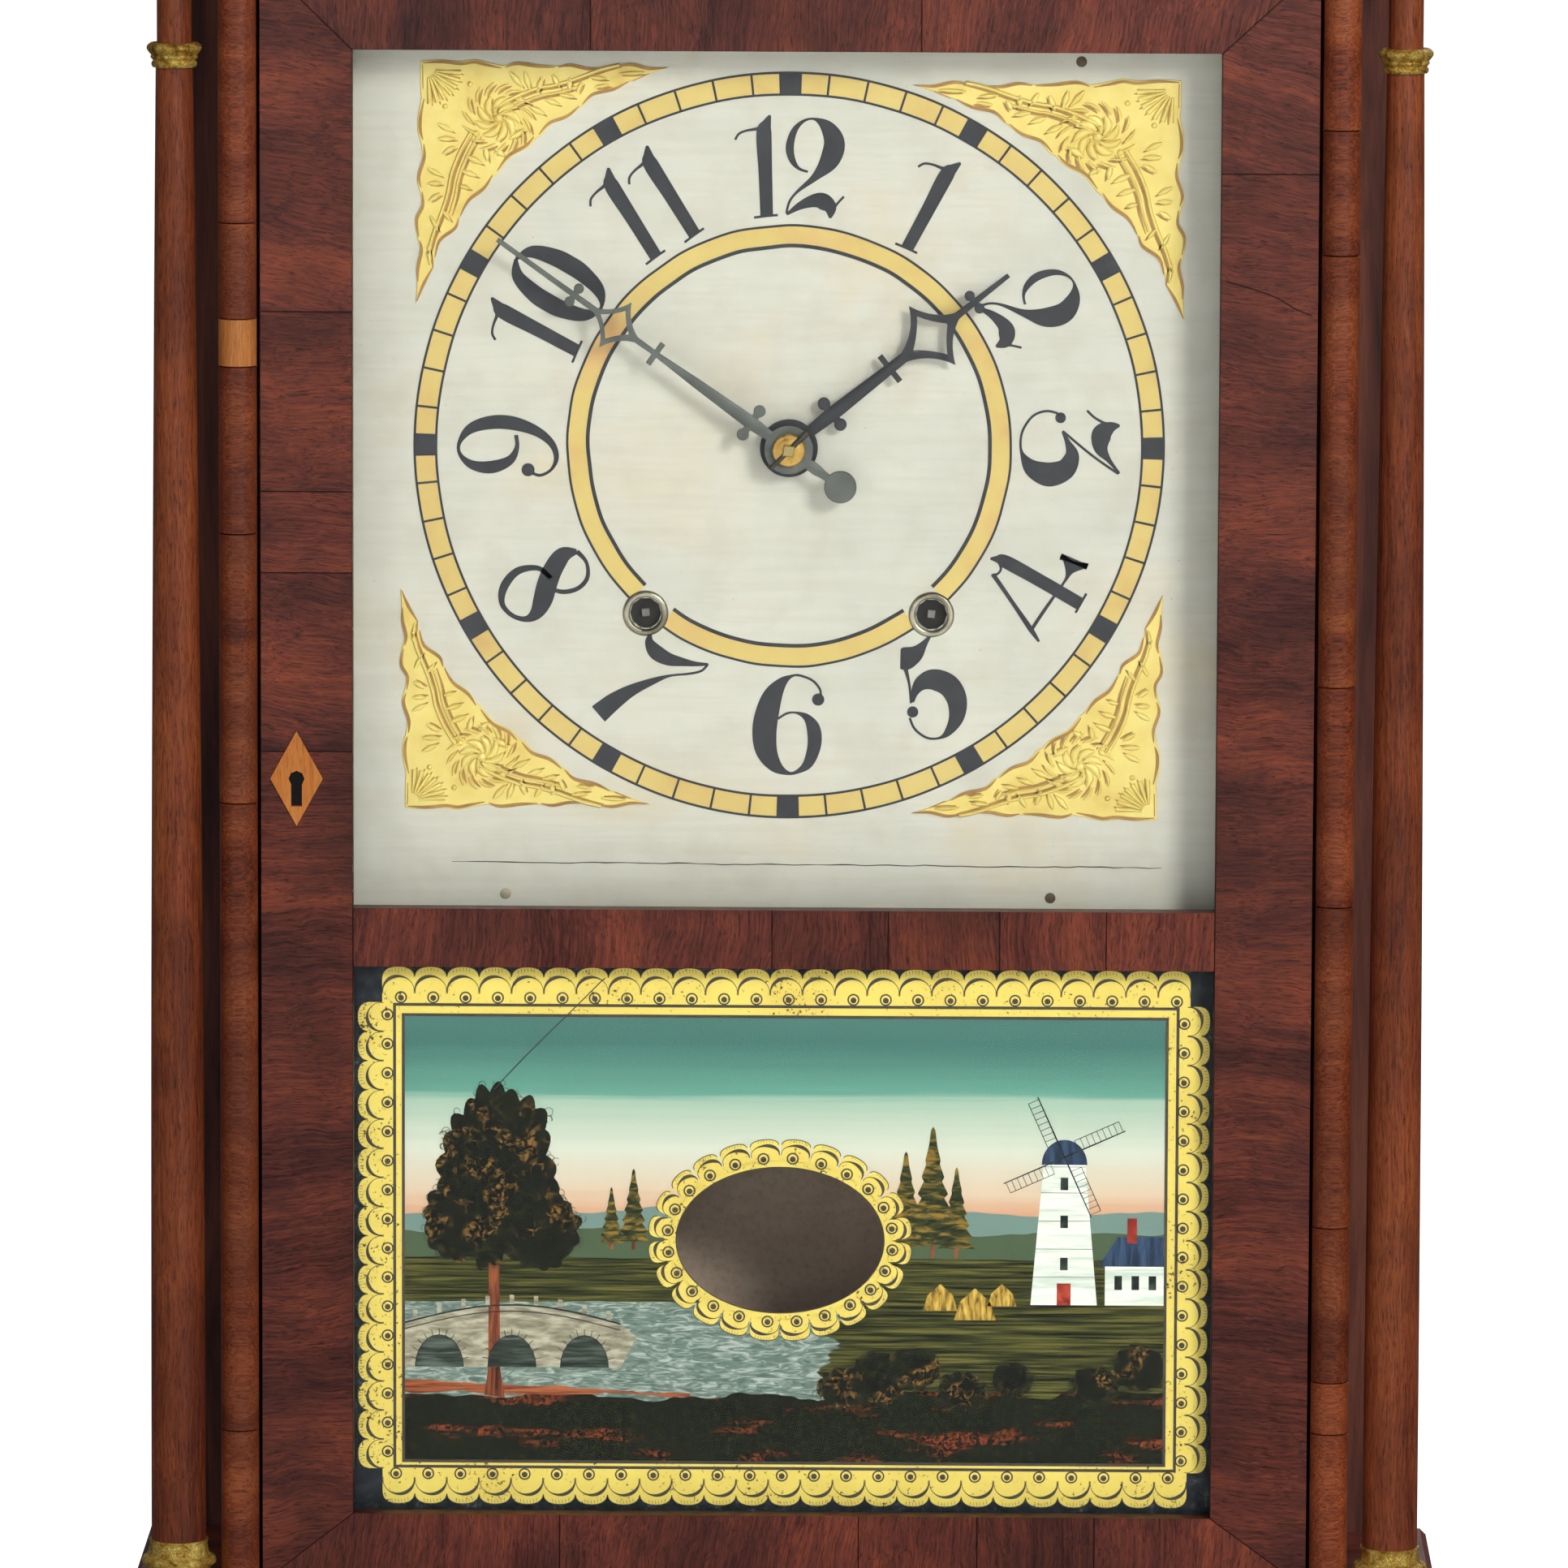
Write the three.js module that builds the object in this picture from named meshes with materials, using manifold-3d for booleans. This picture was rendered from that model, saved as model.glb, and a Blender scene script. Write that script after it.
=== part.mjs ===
// Pillar and scroll shelf clock with a thirty-hour wooden movement.
// Millimetres, +Z up. The front faces -Y and the origin is the middle of the floor under the clock.

import * as THREE from 'three';
import { mergeVertices } from 'three/addons/utils/BufferGeometryUtils.js';
import Module from 'manifold-3d';

const wasm = await Module();
wasm.setup();

// Clearances
const fitGap = 0.3;
const doorGap = 1;
const runningGap = 0.5;
const cutOverrun = 1;

// Case
const doorSetback = 18;
const baseSetback = 3;
const backSpace = 15;
const backboardThick = 7;
const backboardWing = 22;
const sideBoardThick = 12;
const skirtHeight = 84;
const skirtThick = 8;
const skirtInset = 3;
const baseBoardThick = 12;
const baseReach = 2.5;
const baseEdgeRound = 2;
const caseHeight = 516;
const corniceHeight = 28;
const corniceReach = 13;
const corniceFootInset = 14;
const cleatWidth = 14;
const cleatSpacing = 140;
const cleatHeight = 170;

// Pediment
const scrollHeight = 105;
const scrollWidth = 372;
const scrollThick = 8;
const plinthWidth = 22;
const plinthSetback = 5;
const plinthLip = 1.6;
const plinthCapHeight = 4;
const sidePlinthHeight = 44;
const centrePlinthHeight = 74;
const sidePlinthSpacing = 366;
const finialHeight = 73;
const finialRadius = 14.5;

// Columns and half-round strips
const columnBaseGap = 0.5;
const columnFootRadius = 8.65;
const columnNeckRadius = 5.4;
const columnShoulderRadius = 5.8;
const columnBaseHeight = 15;
const columnBaseRadius = 13;
const collarHeight = 7.6;
const collarDrop = 27;
const collarRadius = 8.5;
const capHeight = 12.5;
const capRadius = 11.5;

// Door
const doorWidth = 330;
const doorThick = 15;
const leftStileWidth = 28.8;
const rightStileWidth = 30.5;
const topRailWidth = 28;
const middleRailWidth = 18.6;
const upperSightHeight = 270;
const bottomRailWidth = 22.4;
const rebateWidth = 5;
const rebateSetback = 7;
const paneThick = 2;
const tabletThick = 2.4;
const hingeInset = 6;
const hingeSetback = 3;
const hingePinRadius = 1.5;
const hingePinReach = 9;
const keyholeRise = 258;
const escutcheonWidth = 16.5;
const escutcheonHeight = 30;
const escutcheonThick = 0.8;
const keyholeInset = 11.2;
const keyholeRadius = 2.5;
const keySlotWidth = 3.4;
const keySlotDrop = 8.8;
const lockCaseWidth = 17;
const lockCaseHeight = 34;
const lockCaseDepth = 8;
const boltHeight = 9;
const boltThick = 3.4;
const boltLength = 12;
const boltThrow = 4;
const boltSetback = 0.6;

// Dial and hands
const handDrop = 155;
const dialSetback = 23;
const dialThick = 6;
const dialBelow = 152;
const dialAbove = 143;
const windingOffset = 45;
const windingDrop = 53;
const windingHoleRadius = 5;
const hourHandLength = 87.8;
const hourHubRadius = 9.1;
const minuteHandLength = 112.6;
const minuteHubRadius = 7.65;
const tailLength = 21;
const tailDiscRadius = 5.1;
const hourHandAngle = 51.6;
const minuteHandAngle = 305.7;
const handThick = 1.1;
const hourHandStandoff = 4;
const handSpacing = 4;
const handStemWidth = 2.1;
const arborRadius = 1.8;
const pipeRadius = 3.4;
const colletRadius = 5;
const colletThick = 1.6;
const arborTipReach = 1.4;

// Movement plates and wheels
const plateThick = 7;
const plateSpacing = 28;
const plateWidth = 168;
const plateAbove = 76;
const plateBelow = 99;
const pillarRadius = 4.5;
const pillarInset = 8.5;
const motionModule = 1;
const motionGap = 1;
const motionThick = 3;
const secondOffset = 36.7;
const escapeRise = 44;
const wheelThick = 3;
const mainWheelThick = 4;
const mainModule = 1.5;
const secondModule = 1.05;
const thirdModule = 0.9;
const strikeThirdModule = 0.92;
const escapeRadius = 15;
const escapeToothDepth = 3.2;
const escapeFront = 2;
const thirdFront = 6;
const secondFront = 13;
const mainFront = 21.5;
const pinionOverhang = 0.8;
const drumRadius = 12.5;
const drumFlangeRadius = 14;
const drumFlangeThick = 1.6;
const drumFront = 5;
const drumBack = 20.5;
const drumArborRadius = 3;
const windingSquare = 5;
const windingSquareSetback = 3;

// Escapement and pendulum
const vergeRise = 22;
const palletSpan = 20;
const palletDrop = 7.5;
const vergeHubRadius = 3;
const vergeThick = 2.6;
const crutchLength = 26;
const crutchWidth = 2.6;
const crutchThick = 1.6;
const pendulumSetback = 8;
const pendulumRodRadius = 1;
const pendulumLength = 263;
const rodHeadRise = 4.7;
const cockWidth = 10;
const cockThick = 4;
const cockReach = 12;
const bobRadius = 22;
const bobThick = 8;

// Strike
const bellOffset = 24;
const bellRise = 108;
const bellRadius = 30;
const bellDepth = 18;
const bellWall = 2;
const bellStemRadius = 3;
const bellStandoff = 13;
const hammerOffset = 66;
const hammerRise = 50;
const hammerHeadRadius = 5;
const hammerHeadLength = 12;
const hammerClearance = 1;
const hammerArmWidth = 3;
const hammerArmThick = 2;
const hammerFront = 22;
const flyOffset = 30.5;
const flyRise = 47;
const flyHalfWidth = 12;
const flyThick = 1.4;
const flyFront = 11;
const flyBack = 24;

// Weights, pulleys and cords
const weightRadius = 17;
const weightHeight = 82;
const weightRestRise = 10;
const weightEyeHeight = 7;
const weightEyeRadius = 3.2;
const pulleyRadius = 12;
const pulleyWidth = 6;
const pulleyGroove = 2.6;
const pulleyDrop = 18;
const pulleyInset = 35;
const pulleyCheekThick = 3;
const pulleyCheekWidth = 12;
const cordRadius = 1.2;

// Tooth counts
const mainTeeth = 54;
const secondLeaves = 8;
const secondTeeth = 60;
const thirdLeaves = 6;
const thirdTeeth = 58;
const escapeLeaves = 6;
const escapeTeeth = 36;
const strikeThirdTeeth = 48;
const cannonLeaves = 10;
const minuteTeeth = 30;
const minuteLeaves = 8;
const hourTeeth = 32;

// Facets
const weldDistance = 0.0001;
const columnSteps = 20;
const turnedSteps = 16;
const arborSteps = 8;
const holeSteps = 5;
const outlineSteps = 8;
const cordSides = 8;
const cordArcSteps = 8;
const triangleCornerCount = 3;
const quarterTurn = Math.PI / 2;

// Tooth forms, as shares of the module and of the pitch
const toothAddendumShare = 0.85;
const toothRootShare = 1.05;
const toothFootShare = 0.52;
const leafAddendumShare = 0.6;
const leafRootShare = 1.15;
const leafFootShare = 0.36;
const leafTipShare = 0.16;

// Depths, from front to back
const motionDepth = motionGap + motionThick + motionGap + motionThick + motionGap;
const movementDepth = motionDepth + plateThick + plateSpacing + plateThick;
const clockDepth = doorSetback + dialSetback + dialThick + movementDepth + backSpace + backboardThick;
const backFace = clockDepth / 2;
const corniceFront = -clockDepth / 2;
const baseFront = corniceFront + baseSetback;
const doorFront = corniceFront + doorSetback;
const doorBack = doorFront + doorThick;
const backboardFront = backFace - backboardThick;
const dialFront = doorFront + dialSetback;
const dialBack = dialFront + dialThick;
const hourWheelFront = dialBack + motionGap;
const minuteWheelFront = hourWheelFront + motionThick + motionGap;
const frontPlateFront = minuteWheelFront + motionThick + motionGap;
const frontPlateBack = frontPlateFront + plateThick;
const backPlateFront = frontPlateBack + plateSpacing;
const backPlateBack = backPlateFront + plateThick;
const paneFront = doorFront + rebateSetback;

// Heights
const baseTop = skirtHeight + baseBoardThick;
const caseTop = baseTop + caseHeight;
const corniceTop = caseTop + corniceHeight;
const doorBottom = baseTop + doorGap;
const doorTop = caseTop - doorGap;
const upperSightTop = doorTop - topRailWidth;
const upperSightBottom = upperSightTop - upperSightHeight;
const lowerSightTop = upperSightBottom - middleRailWidth;
const lowerSightBottom = doorBottom + bottomRailWidth;
const handHeight = caseTop - handDrop;
const keyholeHeight = baseTop + keyholeRise;

// Widths
const doorLeft = -doorWidth / 2;
const doorRight = doorWidth / 2;
const sideInner = doorRight + doorGap;
const sideOuter = sideInner + sideBoardThick;
const halfRoundRadius = sideBoardThick / 2;
const columnX = sideOuter + columnBaseGap + columnBaseRadius;
const backboardWidth = 2 * (sideOuter + backboardWing);
const baseWidth = 2 * (columnX + columnBaseRadius + baseReach);
const corniceWidth = 2 * (columnX + capRadius + corniceReach);
const sightLeft = doorLeft + leftStileWidth;
const sightRight = doorRight - rightStileWidth;
const pulleyX = sideInner - pulleyInset;
const hingeX = doorRight - hingeInset;
const hingeY = doorFront + hingeSetback;
const keyholeX = doorLeft + keyholeInset;

// Finishes
const mahogany = finish(0x5b2f28, 0.35, 0);
const darkMahogany = finish(0x4a2621, 0.45, 0);
const columnMahogany = finish(0x6c3a24, 0.3, 0);
const crossBanding = finish(0x7c4227, 0.35, 0);
const pine = finish(0x9a6b45, 0.7, 0);
const gilt = finish(0xbd9430, 0.4, 0.8);
const lightWood = finish(0xd3853c, 0.5, 0);
const glass = finish(0xe8efec, 0.05, 0);
const tabletPaint = finish(0x6f8a6a, 0.3, 0);
const dialPaint = finish(0xe1e1d4, 0.5, 0);
const steel = finish(0x33363b, 0.35, 0.9);
const brass = finish(0xb08d3e, 0.3, 0.9);
const oak = finish(0x8d6a43, 0.65, 0);
const cherry = finish(0xa5673d, 0.6, 0);
const castIron = finish(0x2e2c2b, 0.7, 0.5);
const cordFibre = finish(0x8f7a58, 0.9, 0);

const clock = new THREE.Group();

function finish(color, roughness, metalness) {
  return new THREE.MeshStandardMaterial({ color, roughness, metalness });
}

function place(name, geometry, material) {
  const mesh = new THREE.Mesh(geometry, material);
  mesh.name = name;
  clock.add(mesh);
}

// Solids

// The geometry with its shared corners merged and its collapsed triangles dropped
function welded(geometry) {
  const bare = geometry.clone();
  bare.deleteAttribute('normal');
  bare.deleteAttribute('uv');
  const merged = mergeVertices(bare, weldDistance);
  const corners = merged.index.array;
  const kept = [];
  for (let first = 0; first < corners.length; first += triangleCornerCount) {
    const [a, b, c] = corners.slice(first, first + triangleCornerCount);
    if (a !== b && b !== c && c !== a) kept.push(a, b, c);
  }
  merged.setIndex(kept);
  return merged;
}

function solid(geometry) {
  const mesh = welded(geometry);
  return new wasm.Manifold(new wasm.Mesh({
    numProp: triangleCornerCount,
    vertProperties: new Float32Array(mesh.attributes.position.array),
    triVerts: new Uint32Array(mesh.index.array),
  }));
}

function geometryOf(manifold) {
  const mesh = manifold.getMesh();
  const geometry = new THREE.BufferGeometry();
  const positions = new Float32Array(mesh.vertProperties);
  geometry.setAttribute('position', new THREE.BufferAttribute(positions, mesh.numProp));
  geometry.setIndex(new THREE.BufferAttribute(new Uint32Array(mesh.triVerts), 1));
  return geometry;
}

function joined(pieces) {
  const [first, ...rest] = pieces.map(solid);
  return geometryOf(rest.reduce((sum, piece) => sum.add(piece), first));
}

function cut(body, tools) {
  return geometryOf(tools.map(solid).reduce((rest, tool) => rest.subtract(tool), solid(body)));
}

// A box, each argument its lowest and highest coordinate on one axis
function block([x0, x1], [y0, y1], [z0, z1]) {
  const geometry = new THREE.BoxGeometry(x1 - x0, y1 - y0, z1 - z0);
  geometry.translate((x0 + x1) / 2, (y0 + y1) / 2, (z0 + z1) / 2);
  return geometry;
}

// An outline drawn in X and Z, as thick as the distance between two depths
function board(outline, [front, back], holes = []) {
  const shape = new THREE.Shape(outline);
  for (const { x, z, radius } of holes) {
    const hole = new THREE.Path();
    hole.absarc(x, z, radius, 0, 2 * Math.PI, true);
    shape.holes.push(hole);
  }
  const options = { depth: back - front, bevelEnabled: false, curveSegments: holeSteps };
  const geometry = new THREE.ExtrudeGeometry(shape, options);
  geometry.rotateX(quarterTurn);
  geometry.translate(0, back, 0);
  return geometry;
}

// An outline drawn in Y and Z, as thick as the distance between two sides
function sideways(outline, [left, right]) {
  const geometry = board(outline, [left, right]);
  geometry.translate(0, -right, 0);
  geometry.rotateZ(quarterTurn);
  geometry.translate(left, 0, 0);
  return geometry;
}

// An outline drawn in X and Y, as tall as the distance between two heights
function upright(outline, [bottom, top]) {
  const options = { depth: top - bottom, bevelEnabled: false };
  const geometry = new THREE.ExtrudeGeometry(new THREE.Shape(outline), options);
  geometry.translate(0, 0, bottom);
  return geometry;
}

// A form turned about an upright axis, from pairs of radius and height
function turned(profile, x, y, steps) {
  const points = profile.map(([radius, height]) => new THREE.Vector2(radius, height));
  const geometry = new THREE.LatheGeometry(points, steps);
  geometry.rotateX(quarterTurn);
  geometry.translate(x, y, 0);
  return geometry;
}

// A form turned about an axis from front to back, from pairs of radius and depth
function spindle(profile, { x, z }, steps = arborSteps) {
  const points = profile.map(([radius, depth]) => new THREE.Vector2(radius, depth));
  const geometry = new THREE.LatheGeometry(points, steps);
  geometry.translate(x, 0, z);
  return geometry;
}

function rod(radius, [front, back], centre, steps = arborSteps) {
  return spindle([[0, front], [radius, front], [radius, back], [0, back]], centre, steps);
}

// A slab with a moulded edge on three sides, from rings of half-width, front and height
function moulded(rings, back) {
  const ringCorners = rings.map(({ halfWidth, front, height }) => [
    [-halfWidth, front, height],
    [halfWidth, front, height],
    [halfWidth, back, height],
    [-halfWidth, back, height],
  ]);
  const around = ringCorners[0].length;
  const index = [];
  for (let ring = 0; ring < rings.length - 1; ring += 1) {
    for (let corner = 0; corner < around; corner += 1) {
      const a = ring * around + corner;
      const b = ring * around + (corner + 1) % around;
      index.push(a, b, b + around);
      index.push(a, b + around, a + around);
    }
  }
  const [low0, low1, low2, low3] = ringCorners[0].keys();
  const [top0, top1, top2, top3] = ringCorners[0].map((_, corner) => (rings.length - 1) * around + corner);
  index.push(low0, low2, low1);
  index.push(low0, low3, low2);
  index.push(top0, top1, top2);
  index.push(top0, top2, top3);
  const positions = ringCorners.flat();
  const geometry = new THREE.BufferGeometry();
  const coordinates = new THREE.Float32BufferAttribute(positions.flat(), positions[0].length);
  geometry.setAttribute('position', coordinates);
  geometry.setIndex(index);
  return geometry;
}

// Outlines

// A path's points, mirrored to make the left half of an outline whose right half is given
function symmetrical(rightHalf) {
  const left = rightHalf.map(({ x, y }) => new THREE.Vector2(-x, y)).reverse();
  return dropRepeats([...left, ...rightHalf]);
}

function dropRepeats(points) {
  return points.filter((point, i) => point.distanceTo(points.at(i - 1)) > weldDistance);
}

function polar(radius, angle, { x, z }) {
  return new THREE.Vector2(x + radius * Math.cos(angle), z + radius * Math.sin(angle));
}

function pitchRadius(teeth, module) {
  return teeth * module / 2;
}

function meshDistance(teeth, leaves, module) {
  return pitchRadius(teeth + leaves, module);
}

// The outline of a wheel with pointed teeth, one of them at the angle called phase
function wheelOutline(teeth, module, phase, centre) {
  const root = pitchRadius(teeth, module) - module * toothRootShare;
  const tip = pitchRadius(teeth, module) + module * toothAddendumShare;
  const halfFoot = toothFootShare * Math.PI / teeth;
  const points = [];
  for (let tooth = 0; tooth < teeth; tooth += 1) {
    const middle = phase + tooth * 2 * Math.PI / teeth;
    points.push(polar(root, middle - halfFoot, centre));
    points.push(polar(tip, middle, centre));
    points.push(polar(root, middle + halfFoot, centre));
  }
  return points;
}

// The outline of a pinion with blunt leaves
function pinionOutline(leaves, module, phase, centre) {
  const root = pitchRadius(leaves, module) - module * leafRootShare;
  const tip = pitchRadius(leaves, module) + module * leafAddendumShare;
  const halfFoot = leafFootShare * Math.PI / leaves;
  const halfTip = leafTipShare * Math.PI / leaves;
  const points = [];
  for (let leaf = 0; leaf < leaves; leaf += 1) {
    const middle = phase + leaf * 2 * Math.PI / leaves;
    points.push(polar(root, middle - halfFoot, centre));
    points.push(polar(tip, middle - halfTip, centre));
    points.push(polar(tip, middle + halfTip, centre));
    points.push(polar(root, middle + halfFoot, centre));
  }
  return points;
}

function bearing(from, to) {
  return Math.atan2(to.z - from.z, to.x - from.x);
}

// The phase of a pinion whose leaves fall between the teeth of a wheel with the given phase
function meshPhase(wheelCentre, wheelPhase, teeth, pinionCentre, leaves) {
  const towards = bearing(wheelCentre, pinionCentre);
  return towards + Math.PI + Math.PI / leaves - (wheelPhase - towards) * teeth / leaves;
}

// The place at one distance from a and another from b: on the left of the way from a to b, or on its right
function meet(a, fromA, b, fromB, turn) {
  const apart = Math.hypot(b.x - a.x, b.z - a.z);
  const along = (fromA ** 2 - fromB ** 2 + apart ** 2) / (2 * apart);
  const aside = turn * Math.sqrt(fromA ** 2 - along ** 2);
  const ux = (b.x - a.x) / apart;
  const uz = (b.z - a.z) / apart;
  return { x: a.x + along * ux - aside * uz, z: a.z + along * uz + aside * ux };
}

function fromHands(x, rise) {
  return { x, z: handHeight + rise };
}

// Arbor places
const centreArbor = fromHands(0, 0);
const mainPlace = fromHands(windingOffset, -windingDrop);
const strikeMainPlace = fromHands(-windingOffset, -windingDrop);
const mainDistance = meshDistance(mainTeeth, secondLeaves, mainModule);
const secondPlace = meet(mainPlace, mainDistance, centreArbor, secondOffset, -1);
const strikeSecondPlace = { x: -secondPlace.x, z: secondPlace.z };
const escapePlace = fromHands(0, escapeRise);
const secondDistance = meshDistance(secondTeeth, thirdLeaves, secondModule);
const thirdDistance = meshDistance(thirdTeeth, escapeLeaves, thirdModule);
const thirdPlace = meet(secondPlace, secondDistance, escapePlace, thirdDistance, -1);
const flyPlace = fromHands(-flyOffset, flyRise);
const flyDistance = meshDistance(strikeThirdTeeth, escapeLeaves, strikeThirdModule);
const strikeThirdPlace = meet(strikeSecondPlace, secondDistance, flyPlace, flyDistance, 1);
const minuteDistance = meshDistance(minuteTeeth, cannonLeaves, motionModule);
const minutePlace = meet(centreArbor, minuteDistance, secondPlace, minuteDistance, -1);
const vergePlace = fromHands(0, escapeRise + vergeRise);
const hammerPlace = fromHands(-hammerOffset, hammerRise);
const bellPlace = fromHands(-bellOffset, bellRise);
const arborHoleRadius = arborRadius + fitGap;
const drumHoleRadius = drumArborRadius + fitGap;

// Case pieces

function makeBackboard() {
  const half = backboardWidth / 2;
  const panel = block([-half, half], [backboardFront, backFace], [baseTop, caseTop]);
  const cleatFront = backPlateBack + fitGap;
  const cleats = [-1, 1].map((side) => {
    const middle = side * cleatSpacing / 2;
    const across = [middle - cleatWidth / 2, middle + cleatWidth / 2];
    const tall = [handHeight + plateAbove - cleatHeight, handHeight + plateAbove];
    return block(across, [cleatFront, backboardFront + cutOverrun], tall);
  });
  place('backboard', joined([panel, ...cleats]), pine);
}

function makeSideBoards() {
  const right = block([sideInner, sideOuter], [doorFront, backboardFront], [baseTop, caseTop]);
  place('right_side_board', right, darkMahogany);
  const left = block([-sideOuter, -sideInner], [doorFront, backboardFront], [baseTop, caseTop]);
  const mortiseDepth = boltThrow + fitGap;
  const mortise = block(
    [-sideInner - mortiseDepth, -sideInner + cutOverrun],
    [boltFront() - runningGap, boltFront() + boltThick + runningGap],
    [keyholeHeight - boltHeight / 2 - runningGap, keyholeHeight + boltHeight / 2 + runningGap],
  );
  place('left_side_board', cut(left, [mortise]), darkMahogany);
}

function makeBaseBoard() {
  const halfWidth = baseWidth / 2;
  const rings = [
    { halfWidth: halfWidth - baseEdgeRound, front: baseFront + baseEdgeRound, height: skirtHeight },
    { halfWidth, front: baseFront, height: skirtHeight + baseEdgeRound },
    { halfWidth, front: baseFront, height: baseTop - baseEdgeRound },
    { halfWidth: halfWidth - baseEdgeRound, front: baseFront + baseEdgeRound, height: baseTop },
  ];
  place('base_board', cut(moulded(rings, backFace), [hingeBore(baseTop)]), mahogany);
}

// The lower edge of a skirt and its feet, from its middle to its right end,
// in shares of half its length and its height
const skirtDropShare = 0.34;
const skirtArchShare = 0.72;
const skirtEndShare = 0.57;
const footWidthShare = 0.1;
const skirtLobeShare = 0.16;
const skirtCuspShare = 0.2;
const skirtFlankShare = 0.66;

function skirtOutline(half, height, middle) {
  const x = (share) => share * half;
  const z = (share) => share * height;
  const edge = new THREE.Path();
  const lobeTop = z((skirtArchShare + skirtEndShare) / 2);
  edge.moveTo(0, z(skirtDropShare));
  edge.quadraticCurveTo(x(skirtLobeShare), z(skirtDropShare), x(skirtLobeShare), lobeTop);
  edge.lineTo(x(skirtCuspShare), lobeTop);
  const archMiddle = (skirtCuspShare + skirtFlankShare) / 2;
  const archLow = z(2 * skirtArchShare) - lobeTop;
  edge.quadraticCurveTo(x(archMiddle), archLow, x(skirtFlankShare), z(skirtEndShare));
  edge.quadraticCurveTo(x(1 - footWidthShare), z(skirtEndShare), x(1 - footWidthShare), 0);
  edge.lineTo(half, 0);
  edge.lineTo(half, height);
  const points = symmetrical(edge.getPoints(outlineSteps));
  return points.map((point) => new THREE.Vector2(point.x + middle, point.y));
}

function makeSkirts() {
  const half = baseWidth / 2 - skirtInset;
  const front = baseFront + skirtInset;
  const frontOutline = skirtOutline(half, skirtHeight, 0);
  place('front_skirt', board(frontOutline, [front, front + skirtThick]), mahogany);
  const sideStart = front + skirtThick;
  const sideHalf = (backFace - sideStart) / 2;
  const sideOutline = bracketOutline(sideHalf, skirtHeight, sideStart + sideHalf);
  place('left_skirt', sideways(sideOutline, [-half, -half + skirtThick]), mahogany);
  place('right_skirt', sideways(sideOutline, [half - skirtThick, half]), mahogany);
}

// The side skirt: one arch between a front bracket and a rear foot
const sideArchShare = 0.64;
const sideFootShare = 0.2;

function bracketOutline(half, height, middle) {
  const edge = new THREE.Path();
  edge.moveTo(0, height * sideArchShare);
  const innerFoot = half * (1 - sideFootShare);
  edge.quadraticCurveTo(innerFoot, height * sideArchShare, innerFoot, 0);
  edge.lineTo(half, 0);
  edge.lineTo(half, height);
  const points = symmetrical(edge.getPoints(outlineSteps));
  return points.map((point) => new THREE.Vector2(point.x + middle, point.y));
}

// The cornice's moulding: its overhang and its height, in shares of the whole overhang and height
const corniceShares = [
  [0, 0],
  [0, 0.16],
  [0.1, 0.16],
  [0.16, 0.34],
  [0.34, 0.54],
  [0.64, 0.68],
  [0.86, 0.74],
  [1, 0.76],
  [1, 1],
];

function makeCornice() {
  const rings = corniceShares.map(([outShare, upShare]) => ({
    halfWidth: corniceWidth / 2 - corniceFootInset * (1 - outShare),
    front: corniceFront + corniceFootInset * (1 - outShare) / 2,
    height: caseTop + corniceHeight * upShare,
  }));
  const cheeks = [-1, 1].flatMap((side) => pulleyCheeks(side * pulleyX));
  const top = joined([moulded(rings, backFace), ...cheeks]);
  const bores = [-1, 1].map((side) => {
    const reach = pulleyWidth / 2 + pulleyCheekThick + fitGap + cutOverrun;
    return rod(arborHoleRadius, [cordDepth - reach, cordDepth + reach], pulleyPlace(side));
  });
  place('cornice', cut(top, [hingeBore(caseTop), ...bores]), mahogany);
}

function pulleyPlace(side) {
  return { x: side * pulleyX, z: caseTop - pulleyDrop };
}

function pulleyCheeks(x) {
  const inner = pulleyWidth / 2 + fitGap;
  const outer = inner + pulleyCheekThick;
  const across = [x - pulleyCheekWidth / 2, x + pulleyCheekWidth / 2];
  const tall = [caseTop - pulleyDrop - pulleyCheekWidth / 2, caseTop + cutOverrun];
  return [[-outer, -inner], [inner, outer]].map(([low, high]) => (
    block(across, [cordDepth + low, cordDepth + high], tall)
  ));
}

function hingeBore(height) {
  const radius = hingePinRadius + fitGap;
  const reach = hingePinReach + fitGap;
  return turned(
    [[0, height - reach], [radius, height - reach], [radius, height + reach], [0, height + reach]],
    hingeX, hingeY, arborSteps,
  );
}

// The right half of the scroll board's top edge, in shares of half its width and its height
const scrollDipShare = 0.3;
const scrollEyeShares = [0.2, 0.8];
const scrollEyeRadiusShare = 0.17;
const scrollNeckShares = [0.62, 0.44];
const scrollFootShares = [0.86, 0.2];

function scrollEye() {
  const [xShare, zShare] = scrollEyeShares;
  return { x: xShare * scrollWidth / 2, z: zShare * scrollHeight };
}

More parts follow.
